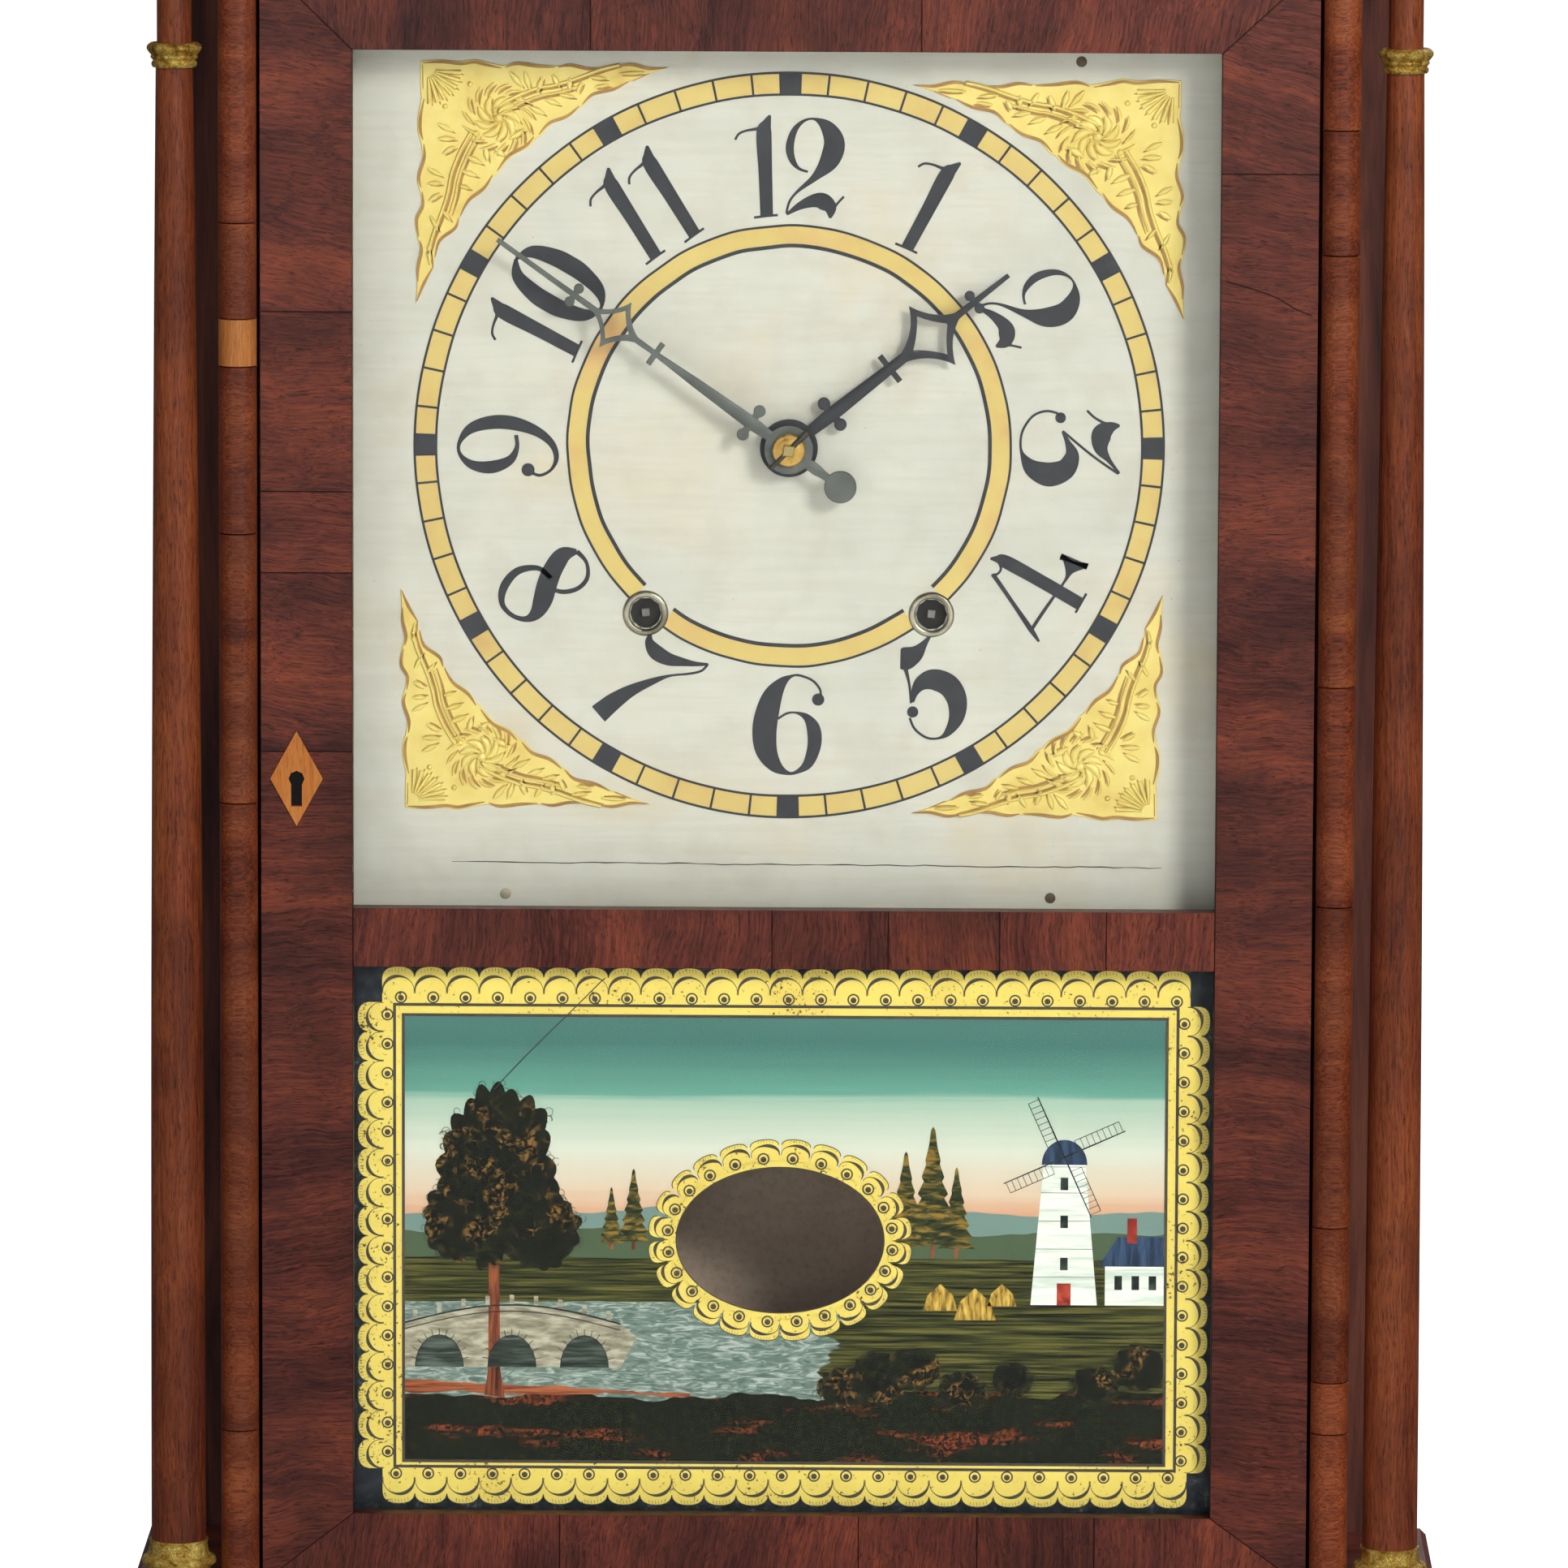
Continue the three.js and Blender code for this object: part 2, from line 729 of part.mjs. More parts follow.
function scrollOutline() {
  const half = scrollWidth / 2;
  const eye = scrollEye();
  const radius = scrollEyeRadiusShare * scrollHeight;
  const [neckX, neckZ] = [scrollNeckShares[0] * half, scrollNeckShares[1] * scrollHeight];
  const [footX, footZ] = [scrollFootShares[0] * half, scrollFootShares[1] * scrollHeight];
  const edge = new THREE.Path();
  edge.moveTo(0, scrollDipShare * scrollHeight);
  edge.lineTo(eye.x / 2, scrollDipShare * scrollHeight);
  const slant = radius * Math.SQRT1_2;
  edge.quadraticCurveTo(eye.x, eye.z - 2 * radius, eye.x - slant, eye.z - slant);
  edge.absarc(eye.x, eye.z, radius, Math.PI + quarterTurn / 2, quarterTurn, true);
  const [runX, runZ] = [(footX - neckX) / 2, footZ - neckZ];
  edge.bezierCurveTo(eye.x + 2 * radius, eye.z + radius, neckX - runX, neckZ - runZ, neckX, neckZ);
  edge.quadraticCurveTo(neckX + runX, footZ, footX, footZ);
  edge.lineTo(half, footZ);
  edge.lineTo(half, 0);
  const points = symmetrical(edge.getPoints(outlineSteps));
  return points.map((point) => new THREE.Vector2(point.x, point.y + corniceTop));
}

function makePediment() {
  const plinthBack = plinthFront() + plinthWidth;
  const scrollFront = plinthBack + fitGap;
  place('scroll_board', board(scrollOutline(), [scrollFront, scrollFront + scrollThick]), mahogany);
  const sides = [['left', -1], ['centre', 0], ['right', 1]];
  for (const [name, side] of sides) {
    const x = side * sidePlinthSpacing / 2;
    const height = side === 0 ? centrePlinthHeight : sidePlinthHeight;
    place(`${name}_plinth`, plinth(height, plinthBack, x), mahogany);
    const y = (plinthFront() + plinthBack) / 2;
    place(`${name}_finial`, finial(corniceTop + height, x, y), brass);
  }
}

function plinthFront() {
  return corniceFront + plinthSetback;
}

function plinth(height, back, x) {
  const halfWidth = plinthWidth / 2;
  const ring = (lip, rise) => ({
    halfWidth: halfWidth + lip,
    front: plinthFront() - lip,
    height: corniceTop + rise,
  });
  const rings = [
    ring(0, 0),
    ring(0, height - plinthCapHeight),
    ring(plinthLip, height - plinthCapHeight / 2),
    ring(plinthLip, height),
  ];
  const geometry = moulded(rings, back);
  geometry.translate(x, 0, 0);
  return geometry;
}

// An urn finial: radius and height, in shares of its largest radius and its height
const finialShares = [
  [0, 0],
  [0.52, 0],
  [0.52, 0.05],
  [0.3, 0.1],
  [0.22, 0.16],
  [0.34, 0.2],
  [0.62, 0.27],
  [0.92, 0.37],
  [1, 0.46],
  [0.94, 0.52],
  [0.6, 0.57],
  [0.4, 0.6],
  [0.58, 0.63],
  [0.5, 0.67],
  [0.26, 0.72],
  [0.2, 0.8],
  [0.26, 0.88],
  [0.2, 0.96],
  [0, 1],
];

function finial(bottom, x, y) {
  const profile = finialShares.map(([radius, height]) => (
    [radius * finialRadius, bottom + height * finialHeight]
  ));
  return turned(profile, x, y, turnedSteps);
}

// Columns

const columnBaseTop = baseTop + columnBaseHeight;
const collarTop = caseTop - collarDrop;
const collarBottom = collarTop - collarHeight;

// The shaft's entasis: its radius between shoulder and foot, and its height, as shares
const shaftShares = [
  [1, 0],
  [0.96, 0.15],
  [0.86, 0.35],
  [0.66, 0.55],
  [0.4, 0.75],
  [0.18, 0.9],
  [0, 1],
];

// The capital: radius between neck and cap, and height, as shares
const capShares = [
  [0.1, 0],
  [0.5, 0.1],
  [0.55, 0.3],
  [0.3, 0.36],
  [0.6, 0.56],
  [1, 0.7],
  [1, 1],
];

function columnProfile() {
  const shaft = shaftShares.map(([widthShare, heightShare]) => [
    columnShoulderRadius + widthShare * (columnFootRadius - columnShoulderRadius),
    columnBaseTop + heightShare * (collarBottom - fitGap - columnBaseTop),
  ]);
  const capital = capShares.map(([widthShare, heightShare]) => [
    columnNeckRadius + widthShare * (capRadius - columnNeckRadius),
    caseTop - capHeight * (1 - heightShare),
  ]);
  const neck = [
    [columnNeckRadius, collarBottom - fitGap],
    [columnNeckRadius, caseTop - capHeight],
  ];
  return [[0, columnBaseTop], ...shaft, ...neck, ...capital, [0, caseTop]];
}

// The gilt base: radius and height, as shares of its foot radius and height
const columnBaseShares = [
  [0, 0],
  [1, 0],
  [1, 0.18],
  [0.94, 0.26],
  [0.78, 0.3],
  [0.76, 0.4],
  [0.9, 0.5],
  [0.88, 0.62],
  [0.74, 0.7],
  [0.7, 0.9],
  [0.72, 1],
  [0, 1],
];

// The gilt collar: radius between its bore and its rim, and height, as shares
const collarShares = [
  [0, 0],
  [0.25, 0],
  [0.3, 0.14],
  [0.1, 0.3],
  [0.45, 0.42],
  [1, 0.66],
  [0.95, 0.86],
  [0.55, 1],
  [0, 1],
  [0, 0],
];

function makeColumns() {
  const bore = columnNeckRadius + fitGap;
  const collar = collarShares.map(([widthShare, heightShare]) => (
    [bore + widthShare * (collarRadius - bore), collarBottom + heightShare * collarHeight]
  ));
  const foot = columnBaseShares.map(([widthShare, heightShare]) => (
    [widthShare * columnBaseRadius, baseTop + heightShare * columnBaseHeight]
  ));
  for (const [name, side] of [['left', -1], ['right', 1]]) {
    const x = side * columnX;
    place(`${name}_column`, turned(columnProfile(), x, doorFront, columnSteps), columnMahogany);
    place(`${name}_collar`, turned(collar, x, doorFront, columnSteps), gilt);
    place(`${name}_column_base`, turned(foot, x, doorFront, columnSteps), gilt);
  }
}

function makeHalfRounds() {
  for (const [name, side] of [['left', -1], ['right', 1]]) {
    const x = side * (sideInner + sideOuter) / 2;
    const section = new THREE.Path();
    section.absarc(x, doorFront, halfRoundRadius, Math.PI, 2 * Math.PI, false);
    const strip = upright(section.getPoints(arborSteps), [baseTop, caseTop]);
    place(`${name}_half_round`, strip, crossBanding);
  }
}

// Door

function boltFront() {
  return doorBack - lockCaseDepth / 2 - boltThick / 2;
}

function lockCaseRight() {
  return doorLeft + boltSetback + boltLength + lockCaseWidth / 2;
}

function makeDoorFrame() {
  const frame = block([doorLeft, doorRight], [doorFront, doorBack], [doorBottom, doorTop]);
  const through = [doorFront - cutOverrun, doorBack + cutOverrun];
  const rebate = [paneFront, doorBack + cutOverrun];
  const cuts = [];
  for (const [low, high] of [[upperSightBottom, upperSightTop], [lowerSightBottom, lowerSightTop]]) {
    cuts.push(block([sightLeft, sightRight], through, [low, high]));
    const wide = [sightLeft - rebateWidth, sightRight + rebateWidth];
    cuts.push(block(wide, rebate, [low - rebateWidth, high + rebateWidth]));
  }
  cuts.push(hingeBore(doorBottom));
  cuts.push(hingeBore(doorTop));
  cuts.push(...lockCuts());
  place('door_frame', cut(frame, cuts), mahogany);
}

function lockCuts() {
  const lockLeft = lockCaseRight() - lockCaseWidth;
  const pocket = block(
    [lockLeft - fitGap, lockCaseRight() + fitGap],
    [doorBack - lockCaseDepth - fitGap, doorBack + cutOverrun],
    [keyholeHeight - lockCaseHeight / 2 - fitGap, keyholeHeight + lockCaseHeight / 2 + fitGap],
  );
  const slot = block(
    [doorLeft - cutOverrun, lockLeft],
    [boltFront() - runningGap, boltFront() + boltThick + runningGap],
    [keyholeHeight - boltHeight / 2 - runningGap, keyholeHeight + boltHeight / 2 + runningGap],
  );
  return [pocket, slot, ...keyholeCuts(doorFront - cutOverrun, doorBack - lockCaseDepth)];
}

function keyholeCuts(front, back) {
  const eye = rod(keyholeRadius, [front, back], { x: keyholeX, z: keyholeHeight });
  const across = [keyholeX - keySlotWidth / 2, keyholeX + keySlotWidth / 2];
  const slot = block(across, [front, back], [keyholeHeight - keySlotDrop, keyholeHeight]);
  return [eye, slot];
}

function makePanes() {
  const wide = [sightLeft - rebateWidth + fitGap, sightRight + rebateWidth - fitGap];
  const tall = (low, high) => [low - rebateWidth + fitGap, high + rebateWidth - fitGap];
  const upper = block(wide, [paneFront, paneFront + paneThick], tall(upperSightBottom, upperSightTop));
  place('upper_pane', upper, glass);
  const lower = block(wide, [paneFront, paneFront + tabletThick], tall(lowerSightBottom, lowerSightTop));
  place('painted_tablet', lower, tabletPaint);
}

function makeLock() {
  const halfWidth = escutcheonWidth / 2;
  const halfHeight = escutcheonHeight / 2;
  const diamond = [
    new THREE.Vector2(keyholeX - halfWidth, keyholeHeight),
    new THREE.Vector2(keyholeX, keyholeHeight - halfHeight),
    new THREE.Vector2(keyholeX + halfWidth, keyholeHeight),
    new THREE.Vector2(keyholeX, keyholeHeight + halfHeight),
  ];
  const front = doorFront - escutcheonThick;
  const plate = board(diamond, [front, doorFront]);
  place('escutcheon', cut(plate, keyholeCuts(front - cutOverrun, doorFront + cutOverrun)), lightWood);

  const lockLeft = lockCaseRight() - lockCaseWidth;
  const box = block(
    [lockLeft, lockCaseRight()],
    [doorBack - lockCaseDepth, doorBack],
    [keyholeHeight - lockCaseHeight / 2, keyholeHeight + lockCaseHeight / 2],
  );
  const boltRight = doorLeft + boltSetback + boltLength;
  const channel = block(
    [lockLeft - cutOverrun, boltRight + fitGap],
    [boltFront() - runningGap, boltFront() + boltThick + runningGap],
    [keyholeHeight - boltHeight / 2 - runningGap, keyholeHeight + boltHeight / 2 + runningGap],
  );
  const lockFront = doorBack - lockCaseDepth;
  const keyway = keyholeCuts(lockFront - cutOverrun, boltFront());
  place('lock_case', cut(box, [channel, ...keyway]), brass);
  const bolt = block(
    [doorLeft + boltSetback, boltRight],
    [boltFront(), boltFront() + boltThick],
    [keyholeHeight - boltHeight / 2, keyholeHeight + boltHeight / 2],
  );
  place('lock_bolt', bolt, steel);
}

function makeHingePins() {
  for (const [name, height] of [['upper', caseTop], ['lower', baseTop]]) {
    const pin = [
      [0, height - hingePinReach],
      [hingePinRadius, height - hingePinReach],
      [hingePinRadius, height + hingePinReach],
      [0, height + hingePinReach],
    ];
    place(`${name}_hinge_pin`, turned(pin, hingeX, hingeY, arborSteps), steel);
  }
}

// Dial and hands

function rectangle([x0, x1], [z0, z1]) {
  return [[x0, z0], [x1, z0], [x1, z1], [x0, z1]].map(([x, z]) => new THREE.Vector2(x, z));
}

function makeDial() {
  const half = sideInner - fitGap;
  const outline = rectangle([-half, half], [handHeight - dialBelow, handHeight + dialAbove]);
  const holes = [
    { ...centreArbor, radius: pipeRadius + fitGap },
    { ...mainPlace, radius: windingHoleRadius },
    { ...strikeMainPlace, radius: windingHoleRadius },
  ];
  place('dial_board', board(outline, [dialFront, dialBack], holes), dialPaint);
}

// A flat hand pointing up: stem, dots, cross bar and an open diamond, along shares of its length
const hourHandShares = { dot: 0.19, bar: 0.45, near: 0.54, side: 0.66, far: 0.77, tipDot: 0.84 };
const minuteHandShares = { dot: 0.12, bar: 0.43, near: 0.48, side: 0.57, far: 0.66, tipDot: 0.78 };
const handDotRadius = 1.9;
const handTipDotRadius = 1.45;
const handBarWidth = 7.4;
const handBarHeight = 2;
const handDiamondWidth = 22;
const handDiamondStroke = 1.5;
const handTipWidth = 0.6;

function handPieces(length, hubRadius, shares, faces) {
  const centre = { x: 0, z: 0 };
  const bar = (halfWidth, low, high) => block([-halfWidth, halfWidth], faces, [low, high]);
  const stem = board([
    new THREE.Vector2(-handStemWidth / 2, 0),
    new THREE.Vector2(handStemWidth / 2, 0),
    new THREE.Vector2(handTipWidth / 2, length),
    new THREE.Vector2(-handTipWidth / 2, length),
  ], faces);
  const barHeight = shares.bar * length;
  const pieces = [rod(hubRadius, faces, centre, columnSteps), stem];
  pieces.push(bar(handBarWidth / 2, barHeight - handBarHeight / 2, barHeight + handBarHeight / 2));
  pieces.push(bar(handDotRadius, hubRadius - cutOverrun, shares.dot * length));
  for (const side of [-1, 1]) {
    pieces.push(rod(handDotRadius, faces, { x: side * handDotRadius, z: shares.dot * length }));
    pieces.push(rod(handTipDotRadius, faces, { x: side * handTipDotRadius, z: shares.tipDot * length }));
  }
  return pieces;
}

function openDiamond(length, shares, faces) {
  const [near, side, far] = [shares.near * length, shares.side * length, shares.far * length];
  const outer = diamond(near, side, far, handDiamondWidth / 2);
  const shrink = handDiamondStroke * Math.SQRT2;
  const inner = diamond(
    near + shrink,
    side,
    far - shrink,
    handDiamondWidth / 2 - shrink,
  );
  const through = [faces[0] - cutOverrun, faces[1] + cutOverrun];
  return { ring: board(outer, faces), hollow: board(inner, through) };
}

function diamond(near, side, far, halfWidth) {
  const corners = [[0, near], [halfWidth, side], [0, far], [-halfWidth, side]];
  return corners.map(([x, z]) => new THREE.Vector2(x, z));
}

function hand(length, hubRadius, shares, faces, boreRadius, angle, extras) {
  const bore = rod(boreRadius, [faces[0] - cutOverrun, faces[1] + cutOverrun], { x: 0, z: 0 });
  const { ring, hollow } = openDiamond(length, shares, faces);
  const body = joined([...handPieces(length, hubRadius, shares, faces), ...extras, ring]);
  const geometry = cut(body, [bore, hollow]);
  geometry.rotateY(THREE.MathUtils.degToRad(angle));
  geometry.translate(centreArbor.x, 0, centreArbor.z);
  return geometry;
}

function hourHandFaces() {
  const back = dialFront - hourHandStandoff;
  return [back - handThick, back];
}

function minuteHandFaces() {
  const back = hourHandFaces()[0] - handSpacing;
  return [back - handThick, back];
}

function makeHands() {
  const hourFaces = hourHandFaces();
  const hourBore = pipeRadius + fitGap;
  const hour = hand(hourHandLength, hourHubRadius, hourHandShares, hourFaces, hourBore, hourHandAngle, []);
  place('hour_hand', hour, steel);
  const faces = minuteHandFaces();
  const tail = [
    block([-handStemWidth / 2, handStemWidth / 2], faces, [-tailLength, 0]),
    rod(tailDiscRadius, faces, { x: 0, z: -tailLength }, turnedSteps),
  ];
  const bore = arborHoleRadius;
  const minute = hand(
    minuteHandLength, minuteHubRadius, minuteHandShares, faces, bore, minuteHandAngle, tail,
  );
  place('minute_hand', minute, steel);
}

// Motion work behind the dial

const minuteWheelPhase = bearing(minutePlace, centreArbor);
const hourWheelPhase = bearing(centreArbor, minutePlace);

function gear(outline, front, thick) {
  return board(outline, [front, front + thick]);
}

function cannonPhase(place) {
  return meshPhase(minutePlace, minuteWheelPhase, minuteTeeth, place, cannonLeaves);
}

function makeMotionWork() {
  const [colletBack] = minuteHandFaces();
  const colletFront = colletBack - fitGap - colletThick;
  const arbor = spindle([
    [0, colletFront - arborTipReach],
    [arborRadius, colletFront - arborTipReach],
    [arborRadius, colletFront],
    [colletRadius, colletFront],
    [colletRadius, colletFront + colletThick],
    [arborRadius, colletFront + colletThick],
    [arborRadius, frontPlateBack + motionGap],
    [0, frontPlateBack + motionGap],
  ], centreArbor);
  const cannon = pinionOutline(cannonLeaves, motionModule, cannonPhase(centreArbor), centreArbor);
  place('minute_arbor', joined([arbor, gear(cannon, minuteWheelFront, motionThick)]), steel);

  const hourOutline = wheelOutline(hourTeeth, motionModule, hourWheelPhase, centreArbor);
  const pipe = rod(pipeRadius, [hourHandFaces()[0] - fitGap, hourWheelFront + cutOverrun], centreArbor);
  const bore = rod(arborHoleRadius, [dialFront - dialSetback, frontPlateFront], centreArbor);
  const hourWheel = joined([gear(hourOutline, hourWheelFront, motionThick), pipe]);
  place('hour_wheel', cut(hourWheel, [bore]), cherry);

  const minuteOutline = wheelOutline(minuteTeeth, motionModule, minuteWheelPhase, minutePlace);
  const leafPhase = meshPhase(centreArbor, hourWheelPhase, hourTeeth, minutePlace, minuteLeaves);
  const leaves = pinionOutline(minuteLeaves, motionModule, leafPhase, minutePlace);
  place('minute_wheel', joined([
    gear(minuteOutline, minuteWheelFront, motionThick),
    gear(leaves, hourWheelFront, motionThick + motionGap + cutOverrun),
    rod(arborRadius, [minuteWheelFront, frontPlateBack], minutePlace),
  ]), cherry);
}

// Plates

function arborHoles(places, radius) {
  return places.map((place) => ({ ...place, radius }));
}

function pillarPlaces() {
  const x = plateWidth / 2 - pillarInset;
  const high = plateAbove - pillarInset;
  const low = pillarInset - plateBelow;
  return [[-x, low], [x, low], [-x, high], [x, high]].map(([across, rise]) => fromHands(across, rise));
}

function makePlates() {
  const outline = rectangle(
    [-plateWidth / 2, plateWidth / 2],
    [handHeight - plateBelow, handHeight + plateAbove],
  );
  const timeArbors = [secondPlace, thirdPlace, escapePlace, vergePlace];
  const strikeArbors = [strikeSecondPlace, strikeThirdPlace, flyPlace];
  const shared = [...timeArbors, ...strikeArbors];
  const small = arborHoles([...shared, hammerPlace], arborHoleRadius);
  const large = arborHoles([mainPlace, strikeMainPlace], drumHoleRadius);
  const frontHoles = [...small, ...large, ...arborHoles([centreArbor, minutePlace], arborHoleRadius)];
  place('front_plate', board(outline, [frontPlateFront, frontPlateBack], frontHoles), oak);
  const back = board(outline, [backPlateFront, backPlateBack], [...small, ...large]);
  const pillars = pillarPlaces().map((place) => (
    rod(pillarRadius, [frontPlateBack, backPlateFront + cutOverrun], place)
  ));
  place('back_plate', joined([back, ...pillars, pendulumCock()]), oak);
}

// The bracket behind the back plate that the pendulum hangs from
function pendulumCock() {
  const bottom = vergePlace.z + rodHeadRise + fitGap;
  const faces = [backPlateBack - cutOverrun, backPlateBack + cockReach];
  return block([-cockWidth / 2, cockWidth / 2], faces, [bottom, bottom + cockThick]);
}

// Going and striking trains

// A wheel and its pinion on one arbor that runs in both plates
function trainWheel(centre, wheel, pinion, arborFront = frontPlateFront + cutOverrun) {
  return joined([
    rod(arborRadius, [arborFront, backPlateBack - cutOverrun], centre),
    gear(wheel.outline, frontPlateBack + wheel.front, wheel.thick),
    gear(pinion.outline, frontPlateBack + pinion.front - pinionOverhang, pinion.thick + 2 * pinionOverhang),
  ]);
}

function makeMainWheel(name, centre, second) {
  const outline = wheelOutline(mainTeeth, mainModule, bearing(centre, second), centre);
  const front = frontPlateBack + mainFront;
  const disc = board(outline, [front, front + mainWheelThick], [{ ...centre, radius: drumHoleRadius }]);
  place(name, disc, cherry);
}

function makeSecondWheel(name, centre, main, third, frontPinion) {
  const wheel = {
    outline: wheelOutline(secondTeeth, secondModule, bearing(centre, third), centre),
    front: secondFront,
    thick: wheelThick,
  };
  const leafPhase = meshPhase(main, bearing(main, centre), mainTeeth, centre, secondLeaves);
  const pinion = {
    outline: pinionOutline(secondLeaves, mainModule, leafPhase, centre),
    front: mainFront,
    thick: mainWheelThick,
  };
  if (!frontPinion) {
    place(name, trainWheel(centre, wheel, pinion), cherry);
    return;
  }
  const driver = pinionOutline(cannonLeaves, motionModule, cannonPhase(centre), centre);
  const arbor = trainWheel(centre, wheel, pinion, minuteWheelFront);
  place(name, joined([arbor, gear(driver, minuteWheelFront, motionThick)]), cherry);
}

function makeThirdWheel(name, centre, second, next, teeth, module) {
  const wheel = {
    outline: wheelOutline(teeth, module, bearing(centre, next), centre),
    front: thirdFront,
    thick: wheelThick,
  };
  const leafPhase = meshPhase(second, bearing(second, centre), secondTeeth, centre, thirdLeaves);
  const pinion = {
    outline: pinionOutline(thirdLeaves, secondModule, leafPhase, centre),
    front: secondFront,
    thick: wheelThick,
  };
  place(name, trainWheel(centre, wheel, pinion), cherry);
}

function lastPinion(centre, third, teeth, module) {
  const phase = meshPhase(third, bearing(third, centre), teeth, centre, escapeLeaves);
  return {
    outline: pinionOutline(escapeLeaves, module, phase, centre),
    front: thirdFront,
    thick: wheelThick,
  };
}

function escapeOutline() {
  const points = [];
  const pitch = 2 * Math.PI / escapeTeeth;
  const root = escapeRadius - escapeToothDepth;
  const leanShare = 0.7;
  for (let tooth = 0; tooth < escapeTeeth; tooth += 1) {
    const angle = tooth * pitch;
    points.push(polar(root, angle, escapePlace));
    points.push(polar(escapeRadius, angle + leanShare * pitch, escapePlace));
  }
  return points;
}

function makeEscapeWheel() {
  const wheel = { outline: escapeOutline(), front: escapeFront, thick: wheelThick };
  const pinion = lastPinion(escapePlace, thirdPlace, thirdTeeth, thirdModule);
  place('escape_wheel', trainWheel(escapePlace, wheel, pinion), brass);
}

function makeFly() {
  const pinion = lastPinion(flyPlace, strikeThirdPlace, strikeThirdTeeth, strikeThirdModule);
  const pinionFront = frontPlateBack + pinion.front - pinionOverhang;
  const leaves = gear(pinion.outline, pinionFront, pinion.thick + 2 * pinionOverhang);
  const vane = block(
    [flyPlace.x - flyHalfWidth, flyPlace.x + flyHalfWidth],
    [frontPlateBack + flyFront, frontPlateBack + flyBack],
    [flyPlace.z - flyThick / 2, flyPlace.z + flyThick / 2],
  );
  const arbor = rod(arborRadius, [frontPlateFront + cutOverrun, backPlateBack - cutOverrun], flyPlace);
  place('fly', joined([arbor, leaves, vane]), cherry);
}

// The cord drum, with the winding square that shows through the dial
function makeDrum(name, centre) {
  const squareHalf = windingSquare / 2;
  const front = frontPlateBack + drumFront;
  const back = frontPlateBack + drumBack;
  const shoulder = frontPlateFront - cutOverrun;
  const body = spindle([
    [0, shoulder],
    [drumArborRadius, shoulder],
    [drumArborRadius, front],
    [drumFlangeRadius, front],
    [drumFlangeRadius, front + drumFlangeThick],
    [drumRadius, front + drumFlangeThick],
    [drumRadius, back - drumFlangeThick],
    [drumFlangeRadius, back - drumFlangeThick],
    [drumFlangeRadius, back],
    [drumArborRadius, back],
    [drumArborRadius, backPlateBack - cutOverrun],
    [0, backPlateBack - cutOverrun],
  ], centre, turnedSteps);
  const square = block(
    [centre.x - squareHalf, centre.x + squareHalf],
    [dialFront + windingSquareSetback, frontPlateFront],
    [centre.z - squareHalf, centre.z + squareHalf],
  );
  place(name, joined([body, square]), cherry);
}

function makeTrains() {
  makeMainWheel('time_main_wheel', mainPlace, secondPlace);
  makeSecondWheel('time_second_wheel', secondPlace, mainPlace, thirdPlace, true);
  makeThirdWheel('time_third_wheel', thirdPlace, secondPlace, escapePlace, thirdTeeth, thirdModule);
  makeEscapeWheel();
  makeDrum('time_drum', mainPlace);
  makeMainWheel('strike_main_wheel', strikeMainPlace, strikeSecondPlace);
  makeSecondWheel('strike_second_wheel', strikeSecondPlace, strikeMainPlace, strikeThirdPlace, false);
  makeThirdWheel(
    'strike_third_wheel', strikeThirdPlace, strikeSecondPlace, flyPlace, strikeThirdTeeth, strikeThirdModule,
  );
  makeFly();
  makeDrum('strike_drum', strikeMainPlace);
}

// Escapement and pendulum

// The verge strip's right half, in shares of half the pallet span and the pallet drop
const vergeShares = [
  [0, 0.3],
  [0.5, 0.12],
  [0.9, -0.35],
  [1, -1],
  [0.84, -0.94],
  [0.72, -0.45],
  [0.36, -0.18],
  [0, -0.1],
];

function makeVerge() {
  const half = vergeShares.map(([xShare, zShare]) => (
    new THREE.Vector2(xShare * palletSpan / 2, zShare * palletDrop)
  ));
  const strip = [...half, ...half.slice(1, -1).reverse().map(({ x, y }) => new THREE.Vector2(-x, y))];
  const outline = strip.map(({ x, y }) => new THREE.Vector2(x + vergePlace.x, y + vergePlace.z));
  const front = frontPlateBack + escapeFront;
  const crutchFaces = [backPlateBack + motionGap, backPlateBack + motionGap + crutchThick];
  const rodFront = backPlateBack + pendulumSetback - pendulumRodRadius;
  const foot = [vergePlace.z - crutchLength, vergePlace.z - crutchLength + crutchWidth];
  const across = [-crutchWidth / 2, crutchWidth / 2];
  place('verge', joined([
    board(outline, [front, front + vergeThick]),
    rod(vergeHubRadius, [front, front + vergeThick], vergePlace),
    rod(arborRadius, [frontPlateFront + cutOverrun, crutchFaces[1]], vergePlace),
    block(across, crutchFaces, [vergePlace.z - crutchLength, vergePlace.z]),
    block(across, [crutchFaces[0], rodFront - fitGap], foot),
  ]), steel);
}

// The bob's lens section: radius and half-thickness, as shares
const bobShares = [
  [0, -1],
  [0.45, -0.9],
  [0.8, -0.55],
  [1, -0.12],
  [1, 0.12],
  [0.8, 0.55],
  [0.45, 0.9],
  [0, 1],
];

function makePendulum() {
  const depth = backPlateBack + pendulumSetback;
  const bobPlace = { x: vergePlace.x, z: vergePlace.z - pendulumLength };
  const lens = spindle(bobShares.map(([radiusShare, depthShare]) => (
    [radiusShare * bobRadius, depth + depthShare * bobThick / 2]
  )), bobPlace, columnSteps);
  const bottom = bobPlace.z - bobRadius - pendulumRodRadius;
  const top = vergePlace.z + rodHeadRise;
  const post = (radius, low, high) => (
    turned([[0, low], [radius, low], [radius, high], [0, high]], vergePlace.x, depth, cordSides)
  );
  const channel = post(pendulumRodRadius + fitGap, bottom - cutOverrun, top);
  place('pendulum_bob', cut(lens, [channel]), brass);
  place('pendulum_rod', post(pendulumRodRadius, bottom, top), steel);
}

// Bell and hammer

